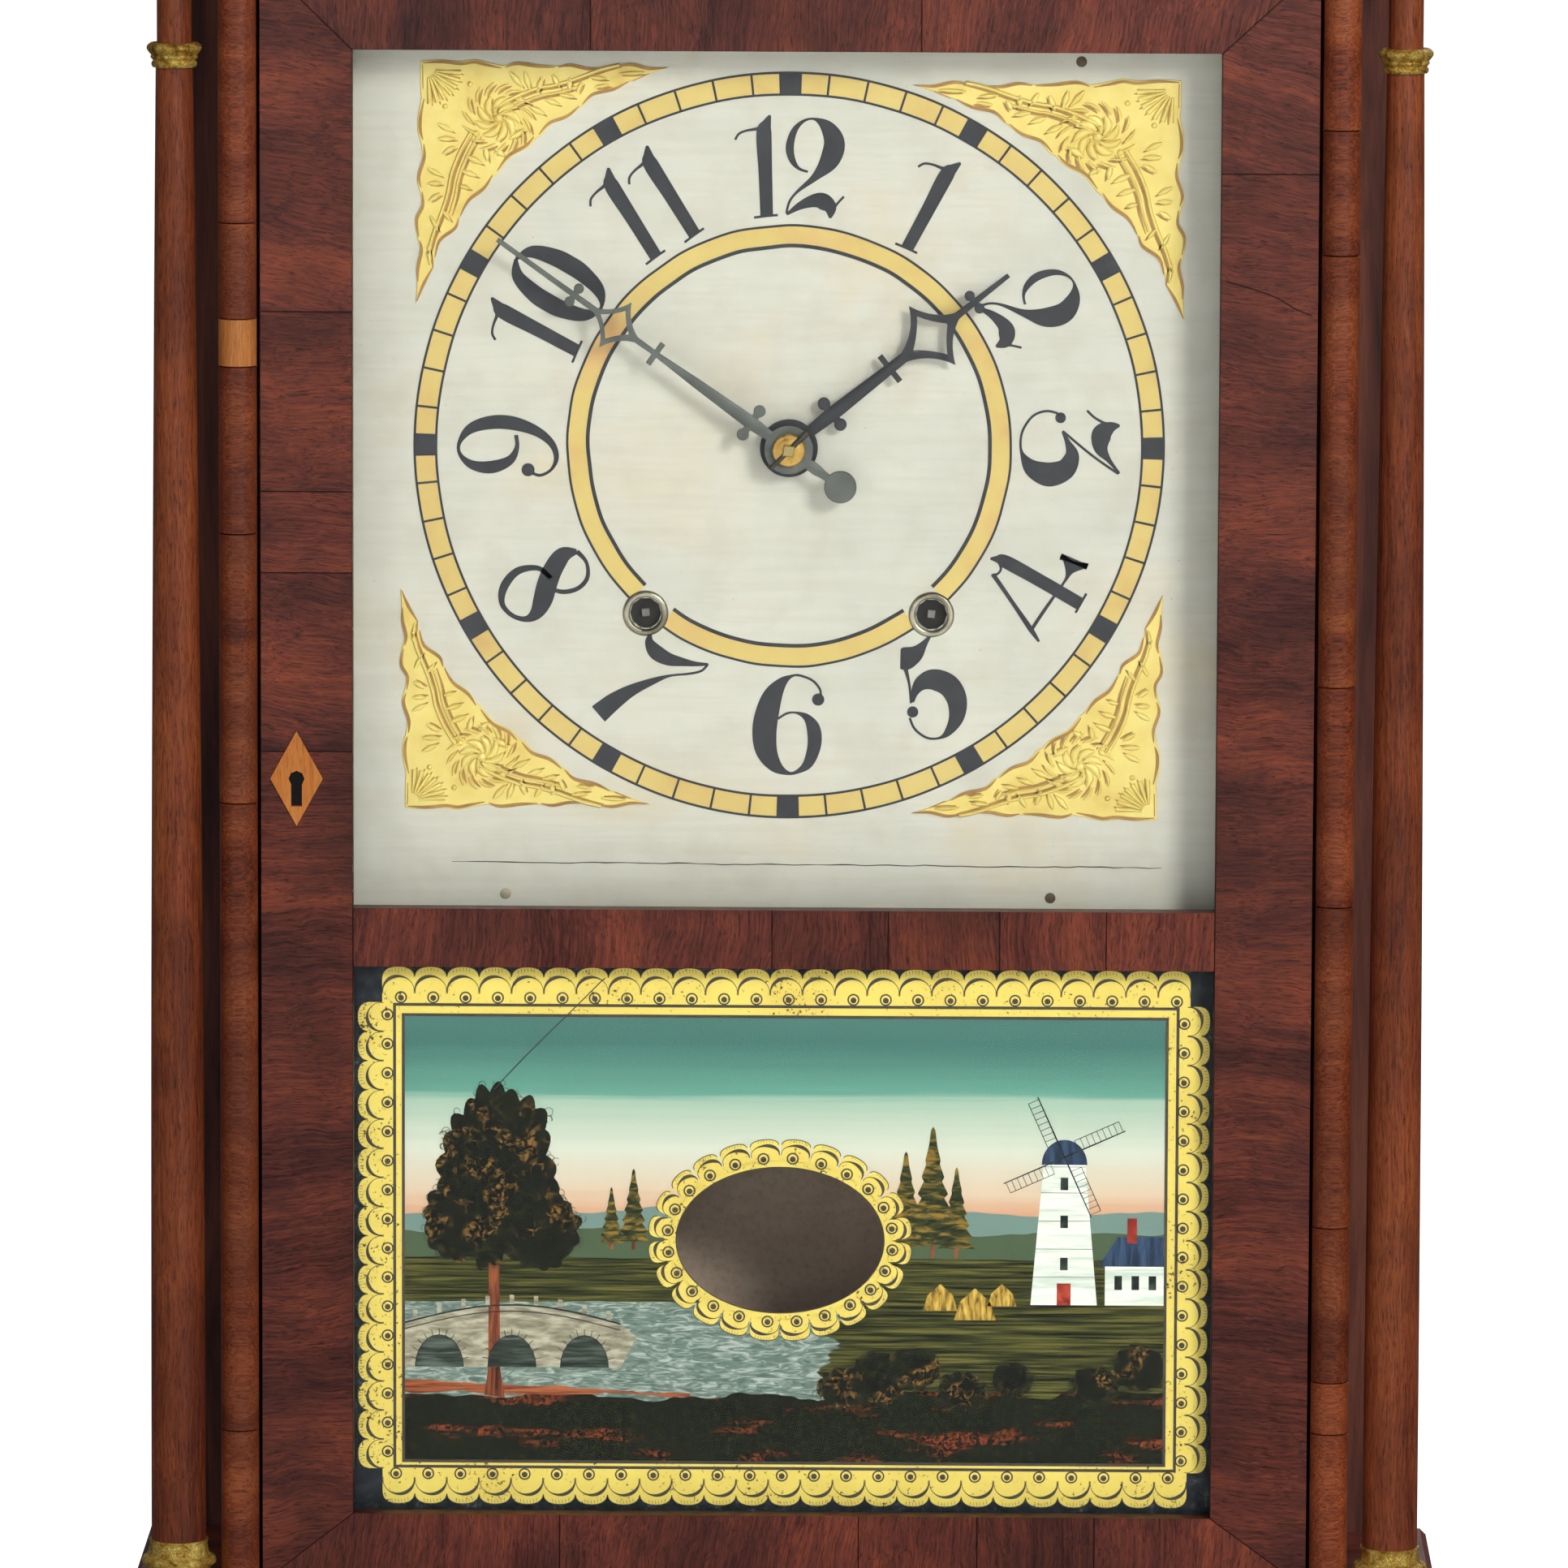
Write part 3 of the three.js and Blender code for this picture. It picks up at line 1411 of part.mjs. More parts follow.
function makeBell() {
  const apex = backboardFront - bellStandoff;
  const rim = apex - bellDepth;
  const domeShares = [[1, 0], [0.98, 0.3], [0.9, 0.6], [0.7, 0.85], [0.4, 0.97]];
  const outer = domeShares.map(([r, d]) => [r * bellRadius, rim + d * bellDepth]);
  const inner = domeShares.map(([r, d]) => [r * (bellRadius - bellWall), rim + d * (bellDepth - bellWall)]);
  const profile = [
    [0, apex - bellWall],
    ...inner.reverse(),
    ...outer,
    [bellStemRadius, apex],
    [bellStemRadius, backboardFront],
    [0, backboardFront],
  ];
  place('bell', spindle(profile, bellPlace, columnSteps), castIron);
}

function makeHammer() {
  const faces = [frontPlateBack + hammerFront, frontPlateBack + hammerFront + hammerArmThick];
  const headRight = bellPlace.x - bellRadius - hammerClearance;
  const headMiddle = headRight - hammerHeadLength / 2;
  const arm = board([
    new THREE.Vector2(hammerPlace.x - hammerArmWidth / 2, hammerPlace.z),
    new THREE.Vector2(hammerPlace.x + hammerArmWidth / 2, hammerPlace.z),
    new THREE.Vector2(headMiddle + hammerArmWidth / 2, bellPlace.z),
    new THREE.Vector2(headMiddle - hammerArmWidth / 2, bellPlace.z),
  ], faces);
  const head = rod(hammerHeadRadius, [-hammerHeadLength / 2, hammerHeadLength / 2], { x: 0, z: 0 });
  head.rotateZ(quarterTurn);
  head.translate(headMiddle, (faces[0] + faces[1]) / 2, bellPlace.z);
  place('hammer', joined([
    rod(arborRadius, [frontPlateFront + cutOverrun, backPlateBack - cutOverrun], hammerPlace),
    arm,
    head,
  ]), steel);
}

// Weights, pulleys and cords

const cordDepth = frontPlateBack + (drumFront + drumBack) / 2;
const drumCordRadius = drumRadius + cordRadius + fitGap;
const pulleyCordRadius = pulleyRadius - pulleyGroove + cordRadius + fitGap;
const weightBottom = baseTop + weightRestRise;

// The weight: radius and height, as shares of its radius and height
const weightShares = [
  [0, 0],
  [0.94, 0],
  [1, 0.03],
  [1, 0.95],
  [0.9, 1],
];

function makeWeight(name, side) {
  const x = side * (pulleyX + pulleyCordRadius);
  const body = weightShares.map(([radiusShare, heightShare]) => (
    [radiusShare * weightRadius, weightBottom + heightShare * weightHeight]
  ));
  const top = weightBottom + weightHeight;
  const eye = [
    [weightEyeRadius, top],
    [weightEyeRadius, top + weightEyeHeight],
    [0, top + weightEyeHeight],
  ];
  place(name, turned([...body, ...eye], x, cordDepth, turnedSteps), castIron);
}

function makePulley(name, side) {
  const half = pulleyWidth / 2;
  const reach = half + fitGap + pulleyCheekThick;
  const profile = [
    [0, cordDepth - reach],
    [arborRadius, cordDepth - reach],
    [arborRadius, cordDepth - half],
    [pulleyRadius, cordDepth - half],
    [pulleyRadius - pulleyGroove, cordDepth - cordRadius],
    [pulleyRadius - pulleyGroove, cordDepth + cordRadius],
    [pulleyRadius, cordDepth + half],
    [arborRadius, cordDepth + half],
    [arborRadius, cordDepth + reach],
    [0, cordDepth + reach],
  ];
  place(name, spindle(profile, pulleyPlace(side), turnedSteps), brass);
}

// The cord's centre line: off the outer side of the drum, over the pulley and down to the weight
function cordRoute(drum, pulley) {
  const apart = Math.hypot(pulley.x - drum.x, pulley.z - drum.z);
  const lean = Math.asin((drumCordRadius + pulleyCordRadius) / apart);
  const heading = bearing(drum, pulley) + lean;
  const off = heading - quarterTurn;
  const points = [polar(drumCordRadius, off, drum)];
  const start = off + Math.PI;
  for (let step = 0; step <= cordArcSteps; step += 1) {
    points.push(polar(pulleyCordRadius, start * (1 - step / cordArcSteps), pulley));
  }
  const weightTop = weightBottom + weightHeight + weightEyeHeight + fitGap;
  points.push(new THREE.Vector2(pulley.x + pulleyCordRadius, weightTop));
  return points;
}

// A round tube along a flat route in X and Z, closed at both ends
function cordTube(route) {
  const positions = [];
  const index = [];
  route.forEach((point, i) => {
    const before = route[Math.max(i - 1, 0)];
    const after = route[Math.min(i + 1, route.length - 1)];
    const along = after.clone().sub(before).normalize();
    for (let side = 0; side < cordSides; side += 1) {
      const angle = side * 2 * Math.PI / cordSides;
      const out = cordRadius * Math.cos(angle);
      const y = cordDepth + cordRadius * Math.sin(angle);
      positions.push(point.x - along.y * out, y, point.y + along.x * out);
    }
  });
  for (let ring = 0; ring < route.length - 1; ring += 1) {
    for (let side = 0; side < cordSides; side += 1) {
      const a = ring * cordSides + side;
      const b = ring * cordSides + (side + 1) % cordSides;
      index.push(a, b + cordSides, b);
      index.push(a, a + cordSides, b + cordSides);
    }
  }
  const last = (route.length - 1) * cordSides;
  for (let side = 1; side < cordSides - 1; side += 1) {
    index.push(0, side, side + 1);
    index.push(last, last + side + 1, last + side);
  }
  const geometry = new THREE.BufferGeometry();
  geometry.setAttribute('position', new THREE.Float32BufferAttribute(positions, triangleCornerCount));
  geometry.setIndex(index);
  return geometry;
}

function makeCord(name, side) {
  const tube = cordTube(cordRoute(mainPlace, pulleyPlace(1)));
  if (side > 0) {
    place(name, tube, cordFibre);
    return;
  }
  place(name, mirrored(tube), cordFibre);
}

// The geometry mirrored left to right, its faces still pointing out
function mirrored(geometry) {
  geometry.scale(-1, 1, 1);
  const corners = geometry.index.array;
  for (let first = 0; first < corners.length; first += triangleCornerCount) {
    [corners[first], corners[first + 1]] = [corners[first + 1], corners[first]];
  }
  return geometry;
}

function makeDrive() {
  for (const [name, side] of [['time', 1], ['strike', -1]]) {
    makeWeight(`${name}_weight`, side);
    makePulley(`${name}_pulley`, side);
    makeCord(`${name}_cord`, side);
  }
}

makeBackboard();
makeSideBoards();
makeBaseBoard();
makeSkirts();
makeCornice();
makePediment();
makeHalfRounds();
makeColumns();
makeDoorFrame();
makePanes();
makeLock();
makeHingePins();
makeDial();
makeHands();
makeMotionWork();
makePlates();
makeTrains();
makeVerge();
makePendulum();
makeBell();
makeHammer();
makeDrive();

export default clock;
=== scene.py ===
# Pillar and scroll shelf clock: the looks, in metres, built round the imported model
import math
import random

import bmesh
import bpy
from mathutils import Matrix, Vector, noise


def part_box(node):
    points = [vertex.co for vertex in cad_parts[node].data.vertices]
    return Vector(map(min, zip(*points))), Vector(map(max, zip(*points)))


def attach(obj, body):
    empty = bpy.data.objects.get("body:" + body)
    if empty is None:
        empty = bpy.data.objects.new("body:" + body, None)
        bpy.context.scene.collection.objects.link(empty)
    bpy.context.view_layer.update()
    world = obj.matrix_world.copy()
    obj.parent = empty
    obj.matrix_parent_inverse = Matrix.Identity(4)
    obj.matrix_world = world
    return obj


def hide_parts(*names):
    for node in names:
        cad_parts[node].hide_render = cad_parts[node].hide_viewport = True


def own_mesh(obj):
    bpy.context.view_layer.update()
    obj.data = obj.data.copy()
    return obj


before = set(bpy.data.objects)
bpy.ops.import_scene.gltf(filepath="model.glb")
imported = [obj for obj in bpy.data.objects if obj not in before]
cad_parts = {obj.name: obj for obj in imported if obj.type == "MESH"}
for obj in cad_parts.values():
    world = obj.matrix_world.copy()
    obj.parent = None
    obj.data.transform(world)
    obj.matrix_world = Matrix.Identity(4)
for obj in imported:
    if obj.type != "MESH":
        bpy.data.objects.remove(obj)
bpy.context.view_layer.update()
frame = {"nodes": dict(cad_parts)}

MM = 0.001
TURN = 2 * math.pi
QUARTER = math.pi / 2

# Places taken from the frame

door_low, door_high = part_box("door_frame")
tablet_low, tablet_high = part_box("painted_tablet")
door_front = door_low.y
dial_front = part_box("dial_board")[0].y
case_bottom, case_top = (corner.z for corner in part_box("left_side_board"))
backboard_thick = 7 * MM
backboard_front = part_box("backboard")[1].y - backboard_thick

# Sizes read from the photograph

left_stile = 28.8 * MM
right_stile = 30.5 * MM
top_rail = 28 * MM
middle_rail = 18.6 * MM
upper_sight_height = 270 * MM
lower_sight_height = 175 * MM
hand_rise = 361 * MM
winding_offset = 45 * MM
winding_drop = 53 * MM

sight_left = door_low.x + left_stile
sight_right = door_high.x - right_stile
upper_top = door_high.z - top_rail
upper_bottom = upper_top - upper_sight_height
lower_top = upper_bottom - middle_rail
lower_bottom = lower_top - lower_sight_height
hand_centre = (0.0, case_bottom + hand_rise)
winding_height = hand_centre[1] - winding_drop

# The painted tablet's rectangles, each (left, right, bottom, top), and its clear oval
tablet_glass_thick = 2 * MM
tablet_glass_back = tablet_low.y + tablet_glass_thick
border_outer = (-135.3 * MM, 133.7 * MM, 120.7 * MM, 293.3 * MM)
border_inner = (-124.2 * MM, 124.1 * MM, 132.2 * MM, 281.7 * MM)
picture = (-120.9 * MM, 120.2 * MM, 134.5 * MM, 277.9 * MM)
oval_centre = (-1.7 * MM, 206.3 * MM)
oval_size = (32.8 * MM, 23.3 * MM)


# Materials

def srgb(red, green, blue):
    """A colour given as it looks, from 0 to 255, in the linear values that shaders use"""
    def linear(channel):
        share = channel / 255
        return share / 12.92 if share <= 0.04045 else ((share + 0.055) / 1.055) ** 2.4
    return (linear(red), linear(green), linear(blue), 1.0)


class Surface:
    """A material whose nodes are added one at a time. Colours are red, green and blue as they look."""

    def __init__(self, name, roughness=0.5, metallic=0.0):
        self.material = bpy.data.materials.new(name)
        self.material.use_nodes = True
        self.nodes = self.material.node_tree.nodes
        self.links = self.material.node_tree.links
        self.shader = self.nodes["Principled BSDF"]
        self.shader.inputs["Roughness"].default_value = roughness
        self.shader.inputs["Metallic"].default_value = metallic
        self.place = self.add("ShaderNodeTexCoord").outputs["Object"]

    def add(self, kind, inputs=None, **settings):
        node = self.nodes.new(kind)
        for key, value in settings.items():
            setattr(node, key, value)
        for key, value in (inputs or {}).items():
            self.feed(node.inputs[key], value)
        return node

    def feed(self, socket, value):
        if isinstance(value, bpy.types.NodeSocket):
            self.links.new(value, socket)
        else:
            socket.default_value = value

    def set(self, **values):
        for key, value in values.items():
            self.feed(self.shader.inputs[key.replace("_", " ")], value)

    def maths(self, operation, first, second=0.0):
        return self.add("ShaderNodeMath", {0: first, 1: second}, operation=operation).outputs[0]

    def vector(self, operation, first, second):
        return self.add("ShaderNodeVectorMath", {0: first, 1: second}, operation=operation).outputs[0]

    def joined(self, x, y, z):
        return self.add("ShaderNodeCombineXYZ", {0: x, 1: y, 2: z}).outputs[0]

    def axes(self):
        return self.add("ShaderNodeSeparateXYZ", {0: self.place}).outputs

    def spread(self, place, scales, shift=(0, 0, 0)):
        """The place with each axis scaled, so that a pattern is finer along the larger scales"""
        inputs = {"Vector": place, "Scale": scales, "Location": shift}
        return self.add("ShaderNodeMapping", inputs).outputs[0]

    def noise(self, place, scale, detail=4.0, roughness=0.5, distortion=0.0, output="Fac"):
        inputs = {"Vector": place, "Scale": scale, "Detail": detail}
        inputs.update({"Roughness": roughness, "Distortion": distortion})
        return self.add("ShaderNodeTexNoise", inputs).outputs[output]

    def mottle(self, scale, detail=4.0, roughness=0.5, distortion=0.0):
        """Even noise over the piece"""
        return self.noise(self.place, scale, detail, roughness, distortion)

    def streaks(self, scales, detail, roughness=0.5, distortion=0.0):
        """Noise drawn out along the axes with the smaller scales"""
        return self.noise(self.spread(self.place, scales), 1, detail, roughness, distortion)

    def ramp(self, value, stops):
        """A colour chosen by the value, from (value, colour) stops"""
        node = self.add("ShaderNodeValToRGB", {0: value})
        elements = node.color_ramp.elements
        while len(elements) < len(stops):
            elements.new(1.0)
        for element, (position, colour) in zip(elements, stops):
            element.position = position
            element.color = srgb(*colour)
        return node.outputs[0]

    def span(self, value, low, high, to_low=0.0, to_high=1.0):
        inputs = {0: value, 1: low, 2: high, 3: to_low, 4: to_high}
        return self.add("ShaderNodeMapRange", inputs).outputs[0]

    def mix(self, share, first, second):
        first, second = (srgb(*side) if isinstance(side, tuple) else side for side in (first, second))
        inputs = {0: share, 6: first, 7: second}
        return self.add("ShaderNodeMix", inputs, data_type="RGBA").outputs[2]

    def bump(self, height, depth, strength=1.0):
        """Fine relief of this depth, on top of any that is there already"""
        inputs = {"Height": height, "Distance": depth, "Strength": strength}
        if self.shader.inputs["Normal"].is_linked:
            inputs["Normal"] = self.shader.inputs["Normal"].links[0].from_socket
        self.feed(self.shader.inputs["Normal"], self.add("ShaderNodeBump", inputs).outputs[0])


# Woods: dark, middle and light tone
MAHOGANY = ((70, 34, 31), (124, 62, 50), (168, 84, 58))
BANDING = ((100, 44, 26), (154, 74, 42), (190, 104, 58))
SHAFT = ((108, 50, 30), (164, 80, 44), (196, 106, 58))
REPAIR = ((186, 98, 44), (214, 128, 62), (230, 152, 84))
SIDE = ((58, 30, 24), (84, 44, 32), (106, 58, 38))
PINE = ((92, 62, 42), (120, 84, 56), (142, 104, 70))
HOLLY = ((206, 116, 48), (236, 142, 62), (246, 160, 80))
OAK = ((120, 84, 50), (154, 112, 68), (178, 136, 88))
CHERRY = ((128, 70, 40), (158, 94, 56), (182, 116, 72))

# Depths of the relief in surfaces
FINE_DEPTH = 0.1 * MM
GRAIN_DEPTH = 0.2 * MM
FIBRE_DEPTH = 0.3 * MM


def grain_scales(grain, along, across):
    return tuple(along if axis == grain else across for axis in "xyz")


def wood(name, grain, tones, gloss=0.34, wave=0.012, coat=0.25, pores=1.0, figure=1.0, lean=0.0):
    """Old varnished wood, its grain along one axis. Each patch of veneer has its own figure and tone."""
    pore_depth, wave_depth = 0.05 * MM, 0.6 * MM
    s = Surface(name, gloss)
    patch = s.add("ShaderNodeAttribute", attribute_name="patch").outputs["Fac"]
    shift = s.joined(*[s.maths("MULTIPLY", patch, factor) for factor in (3.7, 1.9, 2.3)])
    tone = s.add("ShaderNodeTexWhiteNoise", {"W": patch}, noise_dimensions="1D").outputs["Value"]
    x, y, z = s.axes()
    turned = s.maths("MULTIPLY", s.maths("SUBTRACT", tone, 0.35), lean)
    leant = s.joined(s.maths("SUBTRACT", x, s.maths("MULTIPLY", z, turned)), y,
                     s.maths("ADD", z, s.maths("MULTIPLY", x, turned)))
    start = s.vector("ADD", leant, shift)
    drift = s.vector("SUBTRACT", s.noise(start, 22, 3, output="Color"), (0.5, 0.5, 0.5))
    bent = s.vector("ADD", start, s.vector("MULTIPLY", drift, (wave, wave, wave)))
    broad = s.noise(s.spread(bent, grain_scales(grain, 7, 44)), 1, 5, 0.55, 0.5)
    streaks = s.noise(s.spread(bent, grain_scales(grain, 30, 1150)), 1, 4, 0.66)
    fleck = s.noise(s.spread(bent, grain_scales(grain, 200, 2600)), 1, 3, 0.6)
    cloud = s.noise(start, 26, 4, 0.6)
    dark, middle, light = tones
    blend = s.maths("ADD", s.maths("MULTIPLY", broad, 0.55), s.maths("MULTIPLY", streaks, 0.45))
    colour = s.ramp(blend, [(0.36, dark), (0.49, middle), (0.62, light)])
    colour = s.mix(s.span(cloud, 0.42, 0.64, 0.0, 0.5 * figure), colour, dark)
    colour = s.mix(s.span(fleck, 0.52, 0.66, 0.0, 0.62 * pores), colour, (30, 14, 14))
    value = s.span(tone, 0, 1, 0.84, 1.18)
    colour = s.add("ShaderNodeHueSaturation", {"Color": colour, "Value": value}).outputs[0]
    s.set(Base_Color=colour, Coat_Weight=coat, Coat_Roughness=0.32, Specular_IOR_Level=0.3)
    s.set(Roughness=s.span(cloud, 0.3, 0.7, gloss - 0.06, gloss + 0.14))
    s.bump(fleck, pore_depth * pores, 0.6)
    s.bump(s.noise(start, 160, 4), wave_depth, 0.3)
    return s.material


def aged_paint():
    """The dial's ground: cream paint brushed sideways, greyed by dust and stained. Its back is bare wood."""
    brush_depth, bare_from, bare_to = 0.12 * MM, 5.2 * MM, 5.6 * MM
    s = Surface("aged_dial_paint", 0.42)
    brushed = s.streaks((22, 22, 420), 5, 0.6)
    stain = s.mottle(17, 6, 0.62, 0.4)
    mottle = s.mottle(60, 5, 0.6)
    speck = s.mottle(900, 2, 0.5)
    colour = s.ramp(stain, [(0.36, (190, 192, 177)), (0.54, (199, 199, 183)), (0.74, (198, 190, 160))])
    colour = s.mix(s.span(brushed, 0.42, 0.62, 0.0, 0.2), colour, (178, 172, 146))
    worn = s.streaks((16, 16, 110), 6, 0.7, 0.6)
    colour = s.mix(s.span(worn, 0.62, 0.74, 0.0, 0.26), colour, (172, 156, 124))
    colour = s.mix(s.span(mottle, 0.48, 0.66, 0.0, 0.4), colour, (180, 176, 156))
    colour = s.mix(s.span(speck, 0.72, 0.78, 0.0, 0.6), colour, (120, 110, 92))
    depth = s.axes()[1]
    grain = s.streaks(grain_scales("x", 9, 160), 5, 0.6, 0.5)
    bare = s.ramp(grain, [(0.36, (122, 84, 54)), (0.5, (156, 112, 74)), (0.66, (176, 134, 92))])
    colour = s.mix(s.span(depth, dial_front + bare_from, dial_front + bare_to), colour, bare)
    s.set(Base_Color=colour, Coat_Weight=0.15, Coat_Roughness=0.3)
    s.bump(brushed, brush_depth, 0.5)
    s.bump(mottle, FIBRE_DEPTH, 0.2)
    return s.material


def flat_gold(name, worn=0.35):
    """Gold leaf laid flat on paint, rubbed through to a pinkish ground in places"""
    s = Surface(name, 0.45, 0.25)
    leaf = s.mottle(55, 5, 0.6)
    fine = s.mottle(420, 4, 0.6)
    colour = s.ramp(leaf, [(0.3, (204, 184, 110)), (0.55, (200, 178, 104)), (0.75, (190, 160, 94))])
    colour = s.mix(s.span(s.mottle(24, 4, 0.6), 0.5, 0.68, 0, worn), colour, (194, 154, 100))
    colour = s.mix(s.span(fine, 0.52, 0.75, 0, 0.3), colour, (196, 150, 70))
    s.set(Base_Color=colour)
    s.bump(fine, FINE_DEPTH, 0.4)
    return s.material


def raised_gold(name):
    """Gold leaf over raised gesso: bright on the high parts"""
    leaf_depth = 1.2 * MM
    s = Surface(name, 0.4, 0.15)
    leaf = s.mottle(80, 4, 0.6)
    fine = s.mottle(700, 3, 0.6)
    s.set(Base_Color=s.ramp(leaf, [(0.35, (222, 205, 118)), (0.6, (214, 193, 104)), (0.8, (198, 168, 82))]))
    s.bump(fine, GRAIN_DEPTH, 0.35)
    s.bump(leaf, leaf_depth, 0.3)
    return s.material


def brushed_paint(name, colour, edge, roughness=0.45):
    """Thin paint laid with a brush, its colour uneven and chipped in small spots"""
    s = Surface(name, roughness)
    uneven = s.mottle(140, 4, 0.65)
    chips = s.mottle(1100, 3, 0.5)
    mixed = s.mix(s.span(uneven, 0.35, 0.7, 0, 1), colour, edge)
    mixed = s.mix(s.span(chips, 0.74, 0.78, 0, 0.5), mixed, (190, 186, 170))
    s.set(Base_Color=mixed)
    s.bump(uneven, FINE_DEPTH, 0.4)
    return s.material


def metal(name, colour, tarnish, roughness=0.32, metallic=1.0, pits=0.3):
    """Old metal: brushed, with darker tarnish in clouds and small pits"""
    s = Surface(name, roughness, metallic)
    cloud = s.mottle(60, 5, 0.6)
    fine = s.mottle(300, 4, 0.6)
    spots = s.mottle(1500, 2, 0.5)
    mixed = s.mix(s.span(cloud, 0.4, 0.7), colour, tarnish)
    mixed = s.mix(s.span(spots, 0.62, 0.72, 0, pits), mixed, tarnish)
    s.set(Base_Color=mixed, Roughness=s.span(fine, 0.3, 0.7, roughness - 0.08, roughness + 0.16))
    s.bump(fine, FINE_DEPTH, 0.3)
    return s.material


def gilt_turning():
    """Burnished gold over turned wood, worn to red clay. Its noise also paints a highlight and shade: bright
    gold on the high places of the relief and dark brown in its hollows.
    """
    wear_depth, tool_depth = 1.6 * MM, 0.4 * MM
    s = Surface("gilt_turning", 0.3, 0.45)
    leaf_pattern = s.mottle(260, 6, 0.72, 0.6)
    fine = s.mottle(1100, 3, 0.6)
    # Painted highlight and painted shade: the ramp's bright top and dark brown bottom follow the relief's
    # noise
    colour = s.ramp(leaf_pattern, [(0.33, (96, 62, 26)), (0.45, (208, 158, 58)), (0.6, (255, 226, 120))])
    colour = s.mix(s.span(fine, 0.56, 0.7, 0, 0.6), colour, (70, 42, 20))
    s.set(Base_Color=colour, Roughness=s.span(leaf_pattern, 0.3, 0.7, 0.4, 0.18))
    s.bump(leaf_pattern, wear_depth, 0.8)
    s.bump(fine, tool_depth, 0.6)
    return s.material


def window_glass():
    """Thin clear glass with a faint ripple and hardly a reflection. Lamps shine through it."""
    ripple_depth = 0.8 * MM
    s = Surface("window_glass", 0.04)
    s.set(Base_Color=(1, 1, 1, 1), IOR=1.12, Transmission_Weight=1.0)
    s.bump(s.mottle(14, 2, 0.4), ripple_depth, 0.15)
    clear = s.add("ShaderNodeBsdfTransparent")
    shadow = s.add("ShaderNodeLightPath").outputs["Is Shadow Ray"]
    inputs = {0: shadow, 1: s.shader.outputs[0], 2: clear.outputs[0]}
    both = s.add("ShaderNodeMixShader", inputs).outputs[0]
    s.feed(s.nodes["Material Output"].inputs["Surface"], both)
    return s.material


# Shapes

